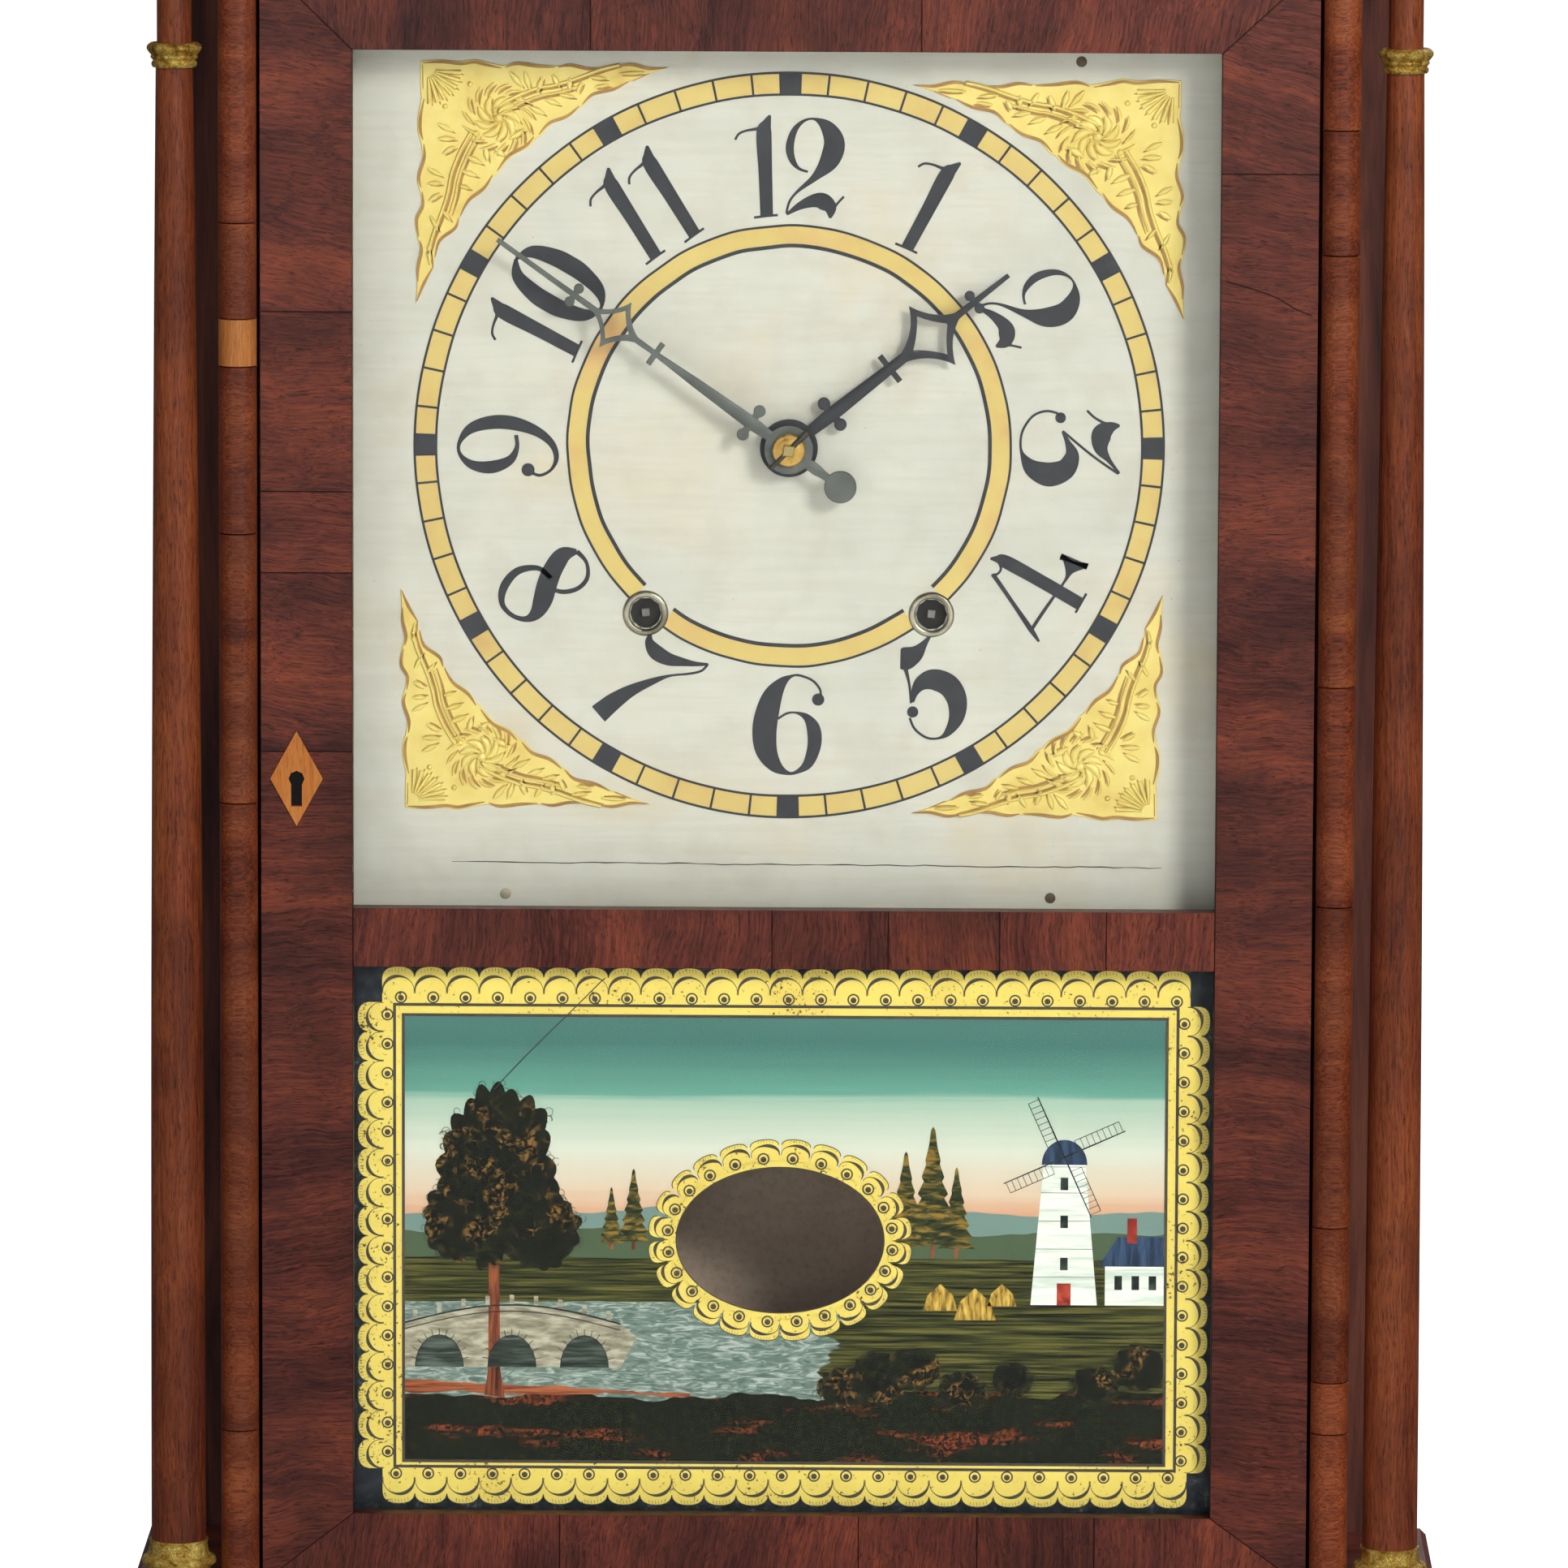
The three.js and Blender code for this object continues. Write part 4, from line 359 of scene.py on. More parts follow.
class Shape:
    """Points and faces gathered for one mesh"""

    def __init__(self, patch=0.0):
        self.points = []
        self.faces = []
        self.patches = []
        self.smooths = []
        self.patch = patch

    def face(self, corners, smooth):
        self.faces.append(list(corners))
        self.patches.append(self.patch)
        self.smooths.append(smooth)

    def tube(self, rings, smooth=True, closed=False):
        """Skin over rings of equally many points, with flat ends unless the last ring meets the first"""
        base, count = len(self.points), len(rings[0])
        self.points += [tuple(point) for ring in rings for point in ring]
        for ring in range(len(rings) if closed else len(rings) - 1):
            start = base + ring * count
            following = base + (ring + 1) % len(rings) * count
            for corner in range(count):
                beside = (corner + 1) % count
                self.face((start + corner, start + beside, following + beside, following + corner), smooth)
        if not closed:
            for start in (base, base + (len(rings) - 1) * count):
                self.face(range(start, start + count), False)

    def prism(self, outline, front, back, chamfer=0.0):
        """A flat board with this outline in X and Z. Its front rim is cut back by the chamfer."""
        rings = [[(x, back, z) for x, z in outline]]
        if chamfer:
            rings.append([(x, front + chamfer, z) for x, z in outline])
            outline = inset(outline, chamfer)
        rings.append([(x, front, z) for x, z in outline])
        self.tube(rings, smooth=False)

    def stroke(self, line, section, base, closed=False, smooth=True):
        """A brush stroke along (x, z, width) points. The section is (share across, height) points."""
        rings = []
        for index, (x, z, width) in enumerate(line):
            before = line[index - 1] if index or closed else line[index]
            after = line[(index + 1) % len(line)] if index + 1 < len(line) or closed else line[index]
            along = Vector((after[0] - before[0], after[1] - before[1])).normalized()
            rings.append([(x - along.y * across * width, base - height, z + along.x * across * width)
                          for across, height in section])
        self.tube(rings, smooth, closed)

    def turned(self, profile, at, steps, bored):
        """Skin round an axis, from (radius, along) points, set in place by the function at"""
        least_radius = 0.01 * MM
        angles = [step * TURN / steps for step in range(steps)]
        rings = []
        for radius, along in profile:
            radius = max(radius, least_radius)
            rings.append([at(radius * math.cos(angle), radius * math.sin(angle), along) for angle in angles])
        self.tube(rings, closed=bored)

    def lathe(self, profile, x, y, steps=72, bored=False):
        """A turning about an upright axis, from (radius, height) points"""
        self.turned(profile, lambda across, aside, height: (x + across, y + aside, height), steps, bored)

    def spindle(self, profile, x, z, steps=48, bored=False):
        """A turning about a front-to-back axis, from (radius, y) points"""
        self.turned(profile, lambda across, up, y: (x + across, y, z + up), steps, bored)

    def band(self, pairs, front, back, closed=True):
        """A flat band between pairs of (x, z) points, one on each of its edges"""
        rings = []
        for (x, z), (far_x, far_z) in pairs:
            rings.append([(x, back, z), (x, front, z), (far_x, front, far_z), (far_x, back, far_z)])
        self.tube(rings, smooth=False, closed=closed)

    def sector(self, centre, radii, angles, front, back, steps=4, wobble=0.0):
        """Part of a flat ring, its angles clockwise from the top"""
        around, apart = 6, 40
        inner, outer = radii
        low, high = angles
        whole = high - low >= TURN
        pairs = []
        for step in range(steps if whole else steps + 1):
            angle = low + (high - low) * step / steps
            across, up = math.sin(angle), math.cos(angle)
            shake = wobble * noise.noise(Vector((across * around, up * around, outer * apart)))
            reaches = (inner + shake, outer + shake)
            pairs.append([(centre[0] + reach * across, centre[1] + reach * up) for reach in reaches])
        self.band(pairs, front, back, closed=whole)

    def build(self, name, material, body, slot, replaces=()):
        sharp_angle = math.radians(40)
        mesh = bpy.data.meshes.new(name)
        mesh.from_pydata(self.points, [], self.faces)
        layer = mesh.attributes.new("patch", "FLOAT", "FACE")
        layer.data.foreach_set("value", self.patches)
        mesh.polygons.foreach_set("use_smooth", self.smooths)
        work = bmesh.new()
        work.from_mesh(mesh)
        bmesh.ops.recalc_face_normals(work, faces=work.faces)
        work.to_mesh(mesh)
        work.free()
        mesh.set_sharp_from_angle(angle=sharp_angle)
        obj = bpy.data.objects.new(name, mesh)
        bpy.context.scene.collection.objects.link(obj)
        mesh.materials.append(material)
        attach(obj, body)
        if replaces:
            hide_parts(*replaces)
        return obj


def inset(outline, distance):
    """The outline moved in by a distance, side by side"""
    least_reach = 0.3
    area = sum(x0 * z1 - x1 * z0 for (x0, z0), (x1, z1) in zip(outline, outline[1:] + outline[:1]))
    turn = 1 if area > 0 else -1
    moved = []
    for index, corner in enumerate(outline):
        here = Vector(corner)
        into = (here - Vector(outline[index - 1])).normalized()
        out = (Vector(outline[(index + 1) % len(outline)]) - here).normalized()
        normal_in = Vector((-into.y, into.x)) * turn
        middle = normal_in + Vector((-out.y, out.x)) * turn
        moved.append(tuple(here + middle * (distance / max(middle.dot(normal_in), least_reach))))
    return moved


def curve_through(points, steps, closed=False):
    """A smooth line through points of any length, by Catmull and Rom's rule"""
    count = len(points)
    line = []

    def at(index):
        return points[index % count] if closed else points[min(max(index, 0), count - 1)]

    def between(a, b, c, d, t):
        square_part, cube_part = 2 * a - 5 * b + 4 * c - d, 3 * b - a - 3 * c + d
        return 0.5 * (2 * b + (c - a) * t + square_part * t * t + cube_part * t ** 3)

    for index in range(count if closed else count - 1):
        near = [at(index + offset) for offset in (-1, 0, 1, 2)]
        for step in range(steps):
            line.append(tuple(between(*values, step / steps) for values in zip(*near)))
    if not closed:
        line.append(tuple(points[-1]))
    return line


def flat_section(height):
    return [(-0.5, 0), (-0.5, height), (0.5, height), (0.5, 0)]


def ridge_section(height):
    return [(-0.5, 0), (-0.4, height * 0.6), (-0.15, height), (0.15, height), (0.4, height * 0.6), (0.5, 0)]


def placed(points, centre, size, angle):
    """Points given in shares, made real and turned clockwise about the centre"""
    across, up = math.cos(angle), math.sin(angle)
    result = []
    for x, z, *rest in points:
        x, z = x * size, z * size
        rest = [value * size for value in rest]
        result.append((centre[0] + x * across + z * up, centre[1] - x * up + z * across, *rest))
    return result


def placed_point(x, z, centre, size, angle):
    return placed([(x, z)], centre, size, angle)[0]


def rectangle(left, right, bottom, top):
    return [(left, bottom), (right, bottom), (right, top), (left, top)]


def square(half):
    return rectangle(-half, half, -half, half)


def polar(centre, reach, angle):
    return (centre[0] + reach * math.cos(angle), centre[1] + reach * math.sin(angle))


def on_line(start, end, share):
    return (start[0] + (end[0] - start[0]) * share, start[1] + (end[1] - start[1]) * share)


def box_middle(name):
    """The middle of a node's box, as x, y and z"""
    low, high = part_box(name)
    return [(low[axis] + high[axis]) / 2 for axis in range(3)]


def half_width(name):
    low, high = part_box(name)
    return (high.x - low.x) / 2


# Camera, light and floor

world_light = 0.22
world_gloss = 0.06
world_seen = 1.3
floor_glow = 0.86
light_aim = (0, 0, 0.38)

# Each light's place, size in metres and power in watts
LIGHTS = {
    "key": ((1.5, -2.6, 1.6), (0.7, 0.7), 40),
    "strip": ((-1.7, -2.9, 0.7), (0.5, 1.6), 5),
    "front": ((0.0, -3.6, 0.9), (1.2, 0.9), 6),
    "back": ((0.6, 2.6, 2.2), (2.0, 1.2), 30),
}


def make_camera():
    """The photograph was taken from a little above, far off, with a long lens"""
    distance = 3.784
    pitch, yaw, roll = math.radians(7.99), math.radians(0.809), math.radians(-0.219)
    aim = Vector((-2.9 * MM, door_front, 353.1 * MM))
    focal_pixels = 14870
    image_pixels = 1932
    data = bpy.data.cameras.new("camera")
    data.sensor_width = 36
    data.lens = focal_pixels / image_pixels * data.sensor_width
    camera = bpy.data.objects.new("camera", data)
    away = Vector((math.sin(yaw) * math.cos(pitch), -math.cos(yaw) * math.cos(pitch), math.sin(pitch)))
    camera.location = aim + distance * away
    camera.rotation_euler = (QUARTER - pitch, roll, yaw)
    bpy.context.scene.collection.objects.link(camera)
    bpy.context.scene.camera = camera


def make_light(name, place, size, power):
    data = bpy.data.lights.new(name, "AREA")
    data.shape = "RECTANGLE"
    data.size, data.size_y = size
    data.energy = power
    light = bpy.data.objects.new(name, data)
    light.location = place
    light.rotation_euler = (Vector(light_aim) - Vector(place)).to_track_quat("-Z", "Y").to_euler()
    bpy.context.scene.collection.objects.link(light)


def make_world():
    """A white room that lights matt surfaces evenly, stays dim in varnish and glass, and looks bright"""
    world = bpy.data.worlds.new("studio")
    world.use_nodes = True
    nodes, links = world.node_tree.nodes, world.node_tree.links
    background = nodes["Background"]
    background.inputs["Color"].default_value = (1, 1, 1, 1)
    rays = nodes.new("ShaderNodeLightPath")
    strength = nodes.new("ShaderNodeMix")
    links.new(rays.outputs["Is Glossy Ray"], strength.inputs[0])
    strength.inputs[2].default_value = world_light
    strength.inputs[3].default_value = world_gloss
    seen = nodes.new("ShaderNodeMix")
    links.new(rays.outputs["Is Camera Ray"], seen.inputs[0])
    links.new(strength.outputs[0], seen.inputs[2])
    seen.inputs[3].default_value = world_seen
    links.new(seen.outputs[0], background.inputs["Strength"])
    bpy.context.scene.world = world


def make_floor():
    half = 14.0
    pale, paler = (0.88, 0.88, 0.88, 1), (0.92, 0.92, 0.92, 1)
    mesh = bpy.data.meshes.new("floor")
    mesh.from_pydata([(x, z, 0) for x, z in square(half)], [], [(0, 1, 2, 3)])
    floor = bpy.data.objects.new("floor", mesh)
    bpy.context.scene.collection.objects.link(floor)
    s = Surface("pale_floor", 0.7)
    inputs = {0: s.mottle(3, 3), 6: paler, 7: pale}
    s.set(Base_Color=s.add("ShaderNodeMix", inputs, data_type="RGBA").outputs[2])
    s.set(Emission_Color=(1, 1, 1, 1), Emission_Strength=floor_glow)
    mesh.materials.append(s.material)
    floor.visible_glossy = False
    floor.visible_diffuse = False


def make_studio():
    """Lights, white room and floor, with colours shown as they are"""
    bpy.context.scene.view_settings.view_transform = "Standard"
    for name, (place, size, power) in LIGHTS.items():
        make_light(name, place, size, power)
    make_world()
    make_floor()


# Case

VENEER = 0.35 * MM
JOINT = 0.3 * MM
PROUD = 0.04 * MM
PATCHES = (1, 9)


def patchwork(name, joints, material, outline_of, seed):
    """Veneer laid on the door in patches, each with its own figure"""
    rng = random.Random(seed)
    shape = Shape()
    for low, high in zip(joints, joints[1:]):
        shape.patch = rng.uniform(*PATCHES)
        shape.prism(outline_of(low + JOINT / 2, high - JOINT / 2), door_front - VENEER, door_front, JOINT / 2)
    return shape.build(name, material, "door", "mahogany_veneer")


def stile_outline(outer, inner):
    """Outlines of a stile's patches between two heights. Those at the ends are mitred."""
    slope_bottom = lower_bottom - door_low.z
    slope_top = door_high.z - upper_top
    inner += JOINT / 2 * math.copysign(1, outer - inner)

    def outline(low, high):
        near_low = low + slope_bottom if low < lower_bottom else low
        near_high = high - slope_top if high > upper_top else high
        return [(outer, low), (inner, near_low), (inner, near_high), (outer, high)]
    return outline


def rail_outline(outer, inner):
    """Outlines of a rail's patches between two joints. Those at the ends are mitred."""
    low, high = sorted((outer, inner))

    def outline(start, end):
        near = start + left_stile if start < sight_left - left_stile / 2 else start
        far = end - right_stile if end > sight_right + right_stile / 2 else end
        if (near, far) == (start, end):
            return rectangle(start, end, low, high)
        return [(start, outer), (end, outer), (far, inner), (near, inner)]
    return outline


def make_stile_crack():
    """The crack across the top of the right stile"""
    points = [(136.5, 512), (145, 509.5), (152, 507), (158, 503.5), (163, 501.5)]
    width = 0.35 * MM
    crack = Shape()
    line = curve_through([(x * MM, z * MM, width) for x, z in points], 5)
    crack.stroke(line, flat_section(PROUD), door_front - VENEER, smooth=False)
    crack.build("right_stile_crack", brushed_paint("crack_shade", (20, 9, 8), (34, 16, 14), 0.8), "door",
                "mahogany_veneer")


def make_door_veneer():
    """Cross-grained veneer round both windows, mitred at the corners"""
    left, right = door_low.x, door_high.x
    bottom, top = door_low.z, door_high.z
    left_joints = [bottom, 362.5 * MM, 419 * MM, 444.5 * MM, 501 * MM, top]
    right_joints = [bottom, 545.5 * MM, top]
    top_joints = [left, -62 * MM, 41 * MM, right]
    middle_joints = [sight_left, -4.5 * MM, 32 * MM, 67 * MM, 100.5 * MM, sight_right]
    bottom_joints = [left, -71 * MM, 23.5 * MM, 61 * MM, 98 * MM, right]
    across = wood("mahogany_across", "x", MAHOGANY, lean=0.5)
    upright = wood("mahogany_upright", "z", MAHOGANY, lean=0.3)
    patchwork("left_stile_veneer", left_joints, across, stile_outline(left, sight_left), 11)
    make_stile_crack()
    patchwork("right_stile_veneer", right_joints, across, stile_outline(right, sight_right), 12)
    patchwork("top_rail_veneer", top_joints, upright, rail_outline(top, upper_top), 13)
    patchwork("middle_rail_veneer", middle_joints, upright, rail_outline(lower_top, upper_bottom), 14)
    patchwork("bottom_rail_veneer", bottom_joints, upright, rail_outline(bottom, lower_bottom), 15)


# Heights of the joints in the half-rounds' banding, in millimetres. The left one has a light inlay.
BANDING_JOINTS = {
    "left": (146.5, 346.5, 431.5, 484, 499, 529),
    "right": (147.5, 164, 213.5, 315.5, 385, 520.5, 559.5),
}
inlay_low, inlay_high = 480 * MM, 490 * MM


def banded_rings(side, start, end):
    """The half-round's surface between two joints, its ends a little rounded"""
    low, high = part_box(f"{side}_half_round")
    middle, radius = (low.x + high.x) / 2, (high.x - low.x) / 2
    depth = high.y - low.y
    steps = 24
    rings = []
    angles = [math.pi * step / steps for step in range(steps + 1)]
    ends = [(start + JOINT / 2, 0), (start + JOINT, JOINT), (end - JOINT, JOINT), (end - JOINT / 2, 0)]
    for height, out in ends:
        rings.append([(middle - (radius - JOINT + out) * math.cos(angle),
                       high.y - (depth - JOINT + out) * math.sin(angle), height) for angle in angles])
    return rings


def make_half_rounds():
    """The two half-round strips beside the door, cross-banded in short patches"""
    material = wood("cross_banding", "x", BANDING, gloss=0.38, coat=0.2)
    repair = wood("repair_wood", "z", REPAIR, gloss=0.3, wave=0.004, coat=0.3, pores=0.6, figure=0.3)
    for seed, (side, joints) in enumerate(BANDING_JOINTS.items(), 21):
        heights = [case_bottom, *(joint * MM for joint in joints), case_top]
        banding, inlay = Shape(), Shape()
        rng = random.Random(seed)
        for start, end in zip(heights, heights[1:]):
            shape = inlay if side == "left" and inlay_low < start < inlay_high else banding
            shape.patch = rng.uniform(*PATCHES)
            shape.tube(banded_rings(side, start, end))
        strip = f"{side}_half_round"
        banding.build(f"{strip}_banding", material, "case", "cross_banding", (strip,))
        if inlay.points:
            inlay.build("half_round_repair", repair, "case", "escutcheon_wood")


def make_keyhole():
    """Painted shade: a near-black keyhole shape laid just in front of the escutcheon, standing for the dark
    of the lock seen through the keyhole
    """
    x, _, z = box_middle("escutcheon")
    eye, half_slot, drop = 2.7 * MM, 1.6 * MM, 8.4 * MM
    steps = 24
    turn = math.asin(half_slot / eye)
    outline = []
    for step in range(steps + 1):
        angle = turn - QUARTER + (TURN - 2 * turn) * step / steps
        outline.append((x + eye * math.cos(angle), z + eye * math.sin(angle)))
    outline += [(x - half_slot, z - drop), (x + half_slot, z - drop)]
    # A thin near-black sheet of painted shade over the escutcheon's keyhole
    dark = Shape()
    front = door_front - VENEER - PROUD
    dark.prism(outline, front, front + PROUD / 2)
    dark.build("keyhole_shade_sheet", brushed_paint("keyhole_painted_shade", (8, 5, 4), (18, 12, 10), 0.8), "door", "iron")


# Turned parts: pairs of width and height, as shares of the greatest radius and of the height

SHAFT_SHARES = [(1, 0), (0.96, 0.15), (0.86, 0.35), (0.66, 0.55), (0.4, 0.75), (0.18, 0.9), (0, 1)]
CAP_SHARES = [(0.1, 0), (0.5, 0.1), (0.55, 0.3), (0.3, 0.36), (0.6, 0.56), (1, 0.7), (1, 1)]
FOOT_SHARES = [(1, 0), (1, 0.18), (0.94, 0.26), (0.78, 0.3), (0.76, 0.4), (0.9, 0.5), (0.88, 0.62),
               (0.74, 0.7), (0.7, 0.9), (0.72, 1)]
COLLAR_SHARES = [(0.4, 0), (0.52, 0.1), (0.5, 0.2), (0.36, 0.27), (0.6, 0.38), (0.62, 0.45), (0.56, 0.49),
                 (1, 0.72), (0.97, 0.88), (0.6, 1)]
FINIAL_SHARES = [(0.52, 0), (0.52, 0.05), (0.3, 0.1), (0.22, 0.16), (0.34, 0.2), (0.62, 0.27), (0.92, 0.37),
                 (1, 0.46), (0.94, 0.52), (0.6, 0.57), (0.4, 0.6), (0.58, 0.63), (0.5, 0.67), (0.26, 0.72),
                 (0.2, 0.8), (0.26, 0.88), (0.2, 0.96), (0.03, 1)]


def turning(shares, inner, outer, bottom, top, steps=6):
    """A smooth profile from shares: radius between inner and outer, height between bottom and top"""
    points = [(inner + (outer - inner) * width, bottom + (top - bottom) * height) for width, height in shares]
    return curve_through(points, steps)


def turned_node(name, shares, node, material, slot, place, bore=0):
    """A turning that takes a node's place and fills its height and width"""
    low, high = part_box(node)
    shape = Shape()
    profile = [(bore, low.z)] + turning(shares, bore, half_width(node), low.z, high.z) + [(bore, high.z)]
    shape.lathe(profile, *place, bored=bore > 0)
    shape.build(name, material, "case", slot, (node,))


def make_columns():
    """Tapered shafts between gilt feet and collars, with a turned cap under the cornice"""
    shaft_wood = wood("column_shaft_mahogany", "z", SHAFT, gloss=0.42, coat=0.1, wave=0.006)
    gilded = gilt_turning()
    neck, shoulder, shaft_radius, bore, cap_height = 5.4 * MM, 5.8 * MM, 8.65 * MM, 5.6 * MM, 9.6 * MM
    neck_rise = 0.3 * MM
    for side, patch in (("left", 2.3), ("right", 5.4)):
        low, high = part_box(f"{side}_column")
        shaft_top, cap_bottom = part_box(f"{side}_collar")[0].z, high.z - cap_height
        place = box_middle(f"{side}_column_base")[:2]
        profile = [(0, low.z)] + turning(SHAFT_SHARES, shoulder, shaft_radius, low.z, shaft_top)
        profile += [(neck, shaft_top + neck_rise), (neck, cap_bottom)]
        profile += turning(CAP_SHARES, neck, half_width(f"{side}_column"), cap_bottom, high.z) + [(0, high.z)]
        shaft = Shape(patch)
        shaft.lathe(profile, *place)
        shaft.build(f"{side}_column_shaft", shaft_wood, "case", "column_wood", (f"{side}_column",))
        turned_node(f"{side}_gilt_foot", FOOT_SHARES, f"{side}_column_base", gilded, "gilt", place)
        turned_node(f"{side}_gilt_collar", COLLAR_SHARES, f"{side}_collar", gilded, "gilt", place, bore)


def make_finials():
    """Three brass urns on the plinths"""
    brass = metal("finial_brass", (226, 184, 96), (168, 124, 58), 0.22, metallic=0.6)
    for name in ("left", "centre", "right"):
        node = f"{name}_finial"
        turned_node(f"{name}_urn", FINIAL_SHARES, node, brass, "finial_brass", box_middle(node)[:2])


def door_core():
    """The door's solid wood: varnished at its edges, with dark glue on the face that shows in the joints"""
    s = Surface("door_core", 0.45)
    facing = s.add("ShaderNodeTexCoord").outputs["Normal"]
    forward = s.add("ShaderNodeSeparateXYZ", {0: facing}).outputs[1]
    grain = s.streaks(grain_scales("z", 9, 240), 5, 0.6, 0.5)
    fine = s.streaks(grain_scales("z", 90, 1800), 4, 0.65)
    colour = s.ramp(grain, [(0.36, (62, 32, 28)), (0.5, (92, 48, 38)), (0.64, (116, 62, 46))])
    colour = s.mix(s.span(fine, 0.5, 0.66, 0, 0.5), colour, (34, 18, 16))
    s.set(Base_Color=s.mix(s.span(forward, -0.9, -0.8, 1, 0), colour, (16, 8, 7)))
    s.bump(fine, GRAIN_DEPTH, 0.5)
    return s.material


def backboard_wood():
    """Bare pine inside the case, stained dark on the wings that show beside it"""
    stained_from, stained_to = 172 * MM, 173 * MM
    s = Surface("backboard_wood", 0.7)
    x = s.axes()[0]
    grain = s.streaks(grain_scales("z", 7, 90), 5, 0.6, 0.5)
    fine = s.streaks(grain_scales("z", 60, 1300), 4, 0.65)
    pine = s.ramp(grain, [(0.3, (134, 88, 56)), (0.5, (162, 112, 72)), (0.7, (182, 134, 90))])
    stained = s.ramp(grain, [(0.36, (62, 31, 26)), (0.5, (104, 54, 42)), (0.64, (134, 74, 54))])
    outside = s.span(s.maths("ABSOLUTE", x), stained_from, stained_to)
    grime = s.mottle(5, 5, 0.6)
    pine = s.mix(s.span(grime, 0.45, 0.65, 0, 0.5), pine, (84, 60, 42))
    colour = s.mix(outside, pine, stained)
    s.set(Base_Color=s.mix(s.span(fine, 0.5, 0.66, 0, 0.35), colour, (58, 36, 26)))
    s.bump(fine, GRAIN_DEPTH, 0.5)
    return s.material


def label_paper():
    """Brown stained paper"""
    s = Surface("label_paper", 0.8)
    fibre = s.mottle(500, 5, 0.65)
    stain = s.mottle(14, 5, 0.6, 0.5)
    colour = s.ramp(stain, [(0.35, (206, 180, 156)), (0.55, (228, 206, 180)), (0.7, (176, 142, 118))])
    s.set(Base_Color=s.mix(s.span(fibre, 0.45, 0.7, 0, 0.3), colour, (140, 112, 92)))
    s.bump(fibre, GRAIN_DEPTH, 0.4)
    return s.material


def make_label():
    """The aged paper pasted inside the back, left bare, with ragged edges"""
    left, right, rise, height = -112 * MM, 108 * MM, 34 * MM, 168 * MM
    thick, raggedness = 0.3 * MM, 0.8 * MM
    steps, waves, apart = 24, 9, 50
    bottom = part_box("backboard")[0].z + rise
    corners = rectangle(left, right, bottom, bottom + height)
    material = label_paper()
    outline = []
    for start, end in zip(corners, corners[1:] + corners[:1]):
        for step in range(steps):
            share = step / steps
            ragged = raggedness * noise.noise(Vector((share * waves + start[0] * apart, start[1] * apart, 0)))
            x, z = on_line(start, end, share)
            outline.append((x + ragged, z + ragged))
    sheet = Shape()
    sheet.prism(outline, backboard_front - thick, backboard_front)
    sheet.build("paper_label", material, "case", "back_pine")


# Cords

CORD_RADIUS = 1.2 * MM
CORD_SIDES = 12


def evenly(points, spacing):
    """The line through these points, with points at even distances"""
    result = [points[0]]
    left = spacing
    for start, end in zip(points, points[1:]):
        length = (end - start).length
        reach = left
        while reach < length:
            result.append(start.lerp(end, reach / length))
            reach += spacing
        left = reach - length
    result.append(points[-1])
    return result


def twisted(points):
    """Three strands laid into one cord along the points"""
    strands, lay, spacing = 3, 7 * MM, 1.4 * MM
    points = evenly(points, spacing)
    rings = []
    walked = 0.0
    for index, point in enumerate(points):
        before, after = points[max(index - 1, 0)], points[min(index + 1, len(points) - 1)]
        along = (after - before).normalized()
        out = along.cross(Vector((0, 1, 0))).normalized()
        over = along.cross(out)
        walked += (point - before).length
        turn = TURN * walked / lay / strands
        ring = []
        for step in range(CORD_SIDES):
            angle = TURN * step / CORD_SIDES
            reach = CORD_RADIUS * (0.8 + 0.2 * abs(math.cos((angle - turn) * strands / 2)))
            ring.append(point + out * (reach * math.cos(angle)) + over * (reach * math.sin(angle)))
        rings.append(ring)
    cord = Shape()
    cord.tube(rings)
    return cord


def linen():
    """Soiled cord of flax"""
    s = Surface("linen_cord", 0.9)
    fibre = s.mottle(1800, 4, 0.7)
    soil = s.mottle(40, 4, 0.6)
    colour = s.ramp(soil, [(0.35, (126, 104, 74)), (0.55, (166, 142, 104)), (0.7, (184, 162, 124))])
    s.set(Base_Color=s.mix(s.span(fibre, 0.5, 0.7, 0, 0.6), colour, (92, 74, 50)))
    s.bump(fibre, FIBRE_DEPTH, 0.8)
    return s.material


def make_cord(name, side, material):
    """One weight's cord: the run over the pulley, the drop to the weight, and the turns on the drum"""
    drum_reach, pulley_reach, lift, gap = 14.0 * MM, 10.9 * MM, 370 * MM, 0.2 * MM
    turns, steps, pitch = 4, 40, 2.04 * CORD_RADIUS
    pulley_x, depth, pulley_z = box_middle(f"{name}_pulley")
    drum = Vector((winding_offset, 0, winding_height))
    pulley = Vector((abs(pulley_x), 0, pulley_z))
    apart = pulley - drum
    off = math.atan2(apart.z, apart.x) + math.asin((drum_reach + pulley_reach) / apart.length) - QUARTER

    def at(centre, radius, angle, along=0.0):
        x = side * (centre.x + radius * math.cos(angle))
        return Vector((x, depth + along, centre.z + radius * math.sin(angle)))

    over = [at(pulley, pulley_reach, (off + math.pi) * (1 - step / steps)) for step in range(steps + 1)]
    top = over[-1]
    run = twisted([at(drum, drum_reach, off), *over])
    run.build(f"{name}_cord_run", material, "case", "cord_fibre", (f"{name}_cord",))
    weight_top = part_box(f"{name}_weight")[1].z
    drop = twisted([top, Vector((top.x, depth, weight_top + gap))])
    hanging = drop.build(f"{name}_cord_drop", material, "case", "cord_fibre", (f"{name}_cord",))
    tuple(top)
    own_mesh(hanging)
    coil = [at(drum, drum_reach, off - TURN * step / steps, pitch * (step / steps - turns / 2))
            for step in range(turns * steps + 1)]
    twisted(coil).build(f"{name}_cord_turns", material, f"{name}_drum_arbor", "cord_fibre")


def make_cords():
    material = linen()
    make_cord("time", 1, material)
    make_cord("strike", -1, material)


# Scroll board

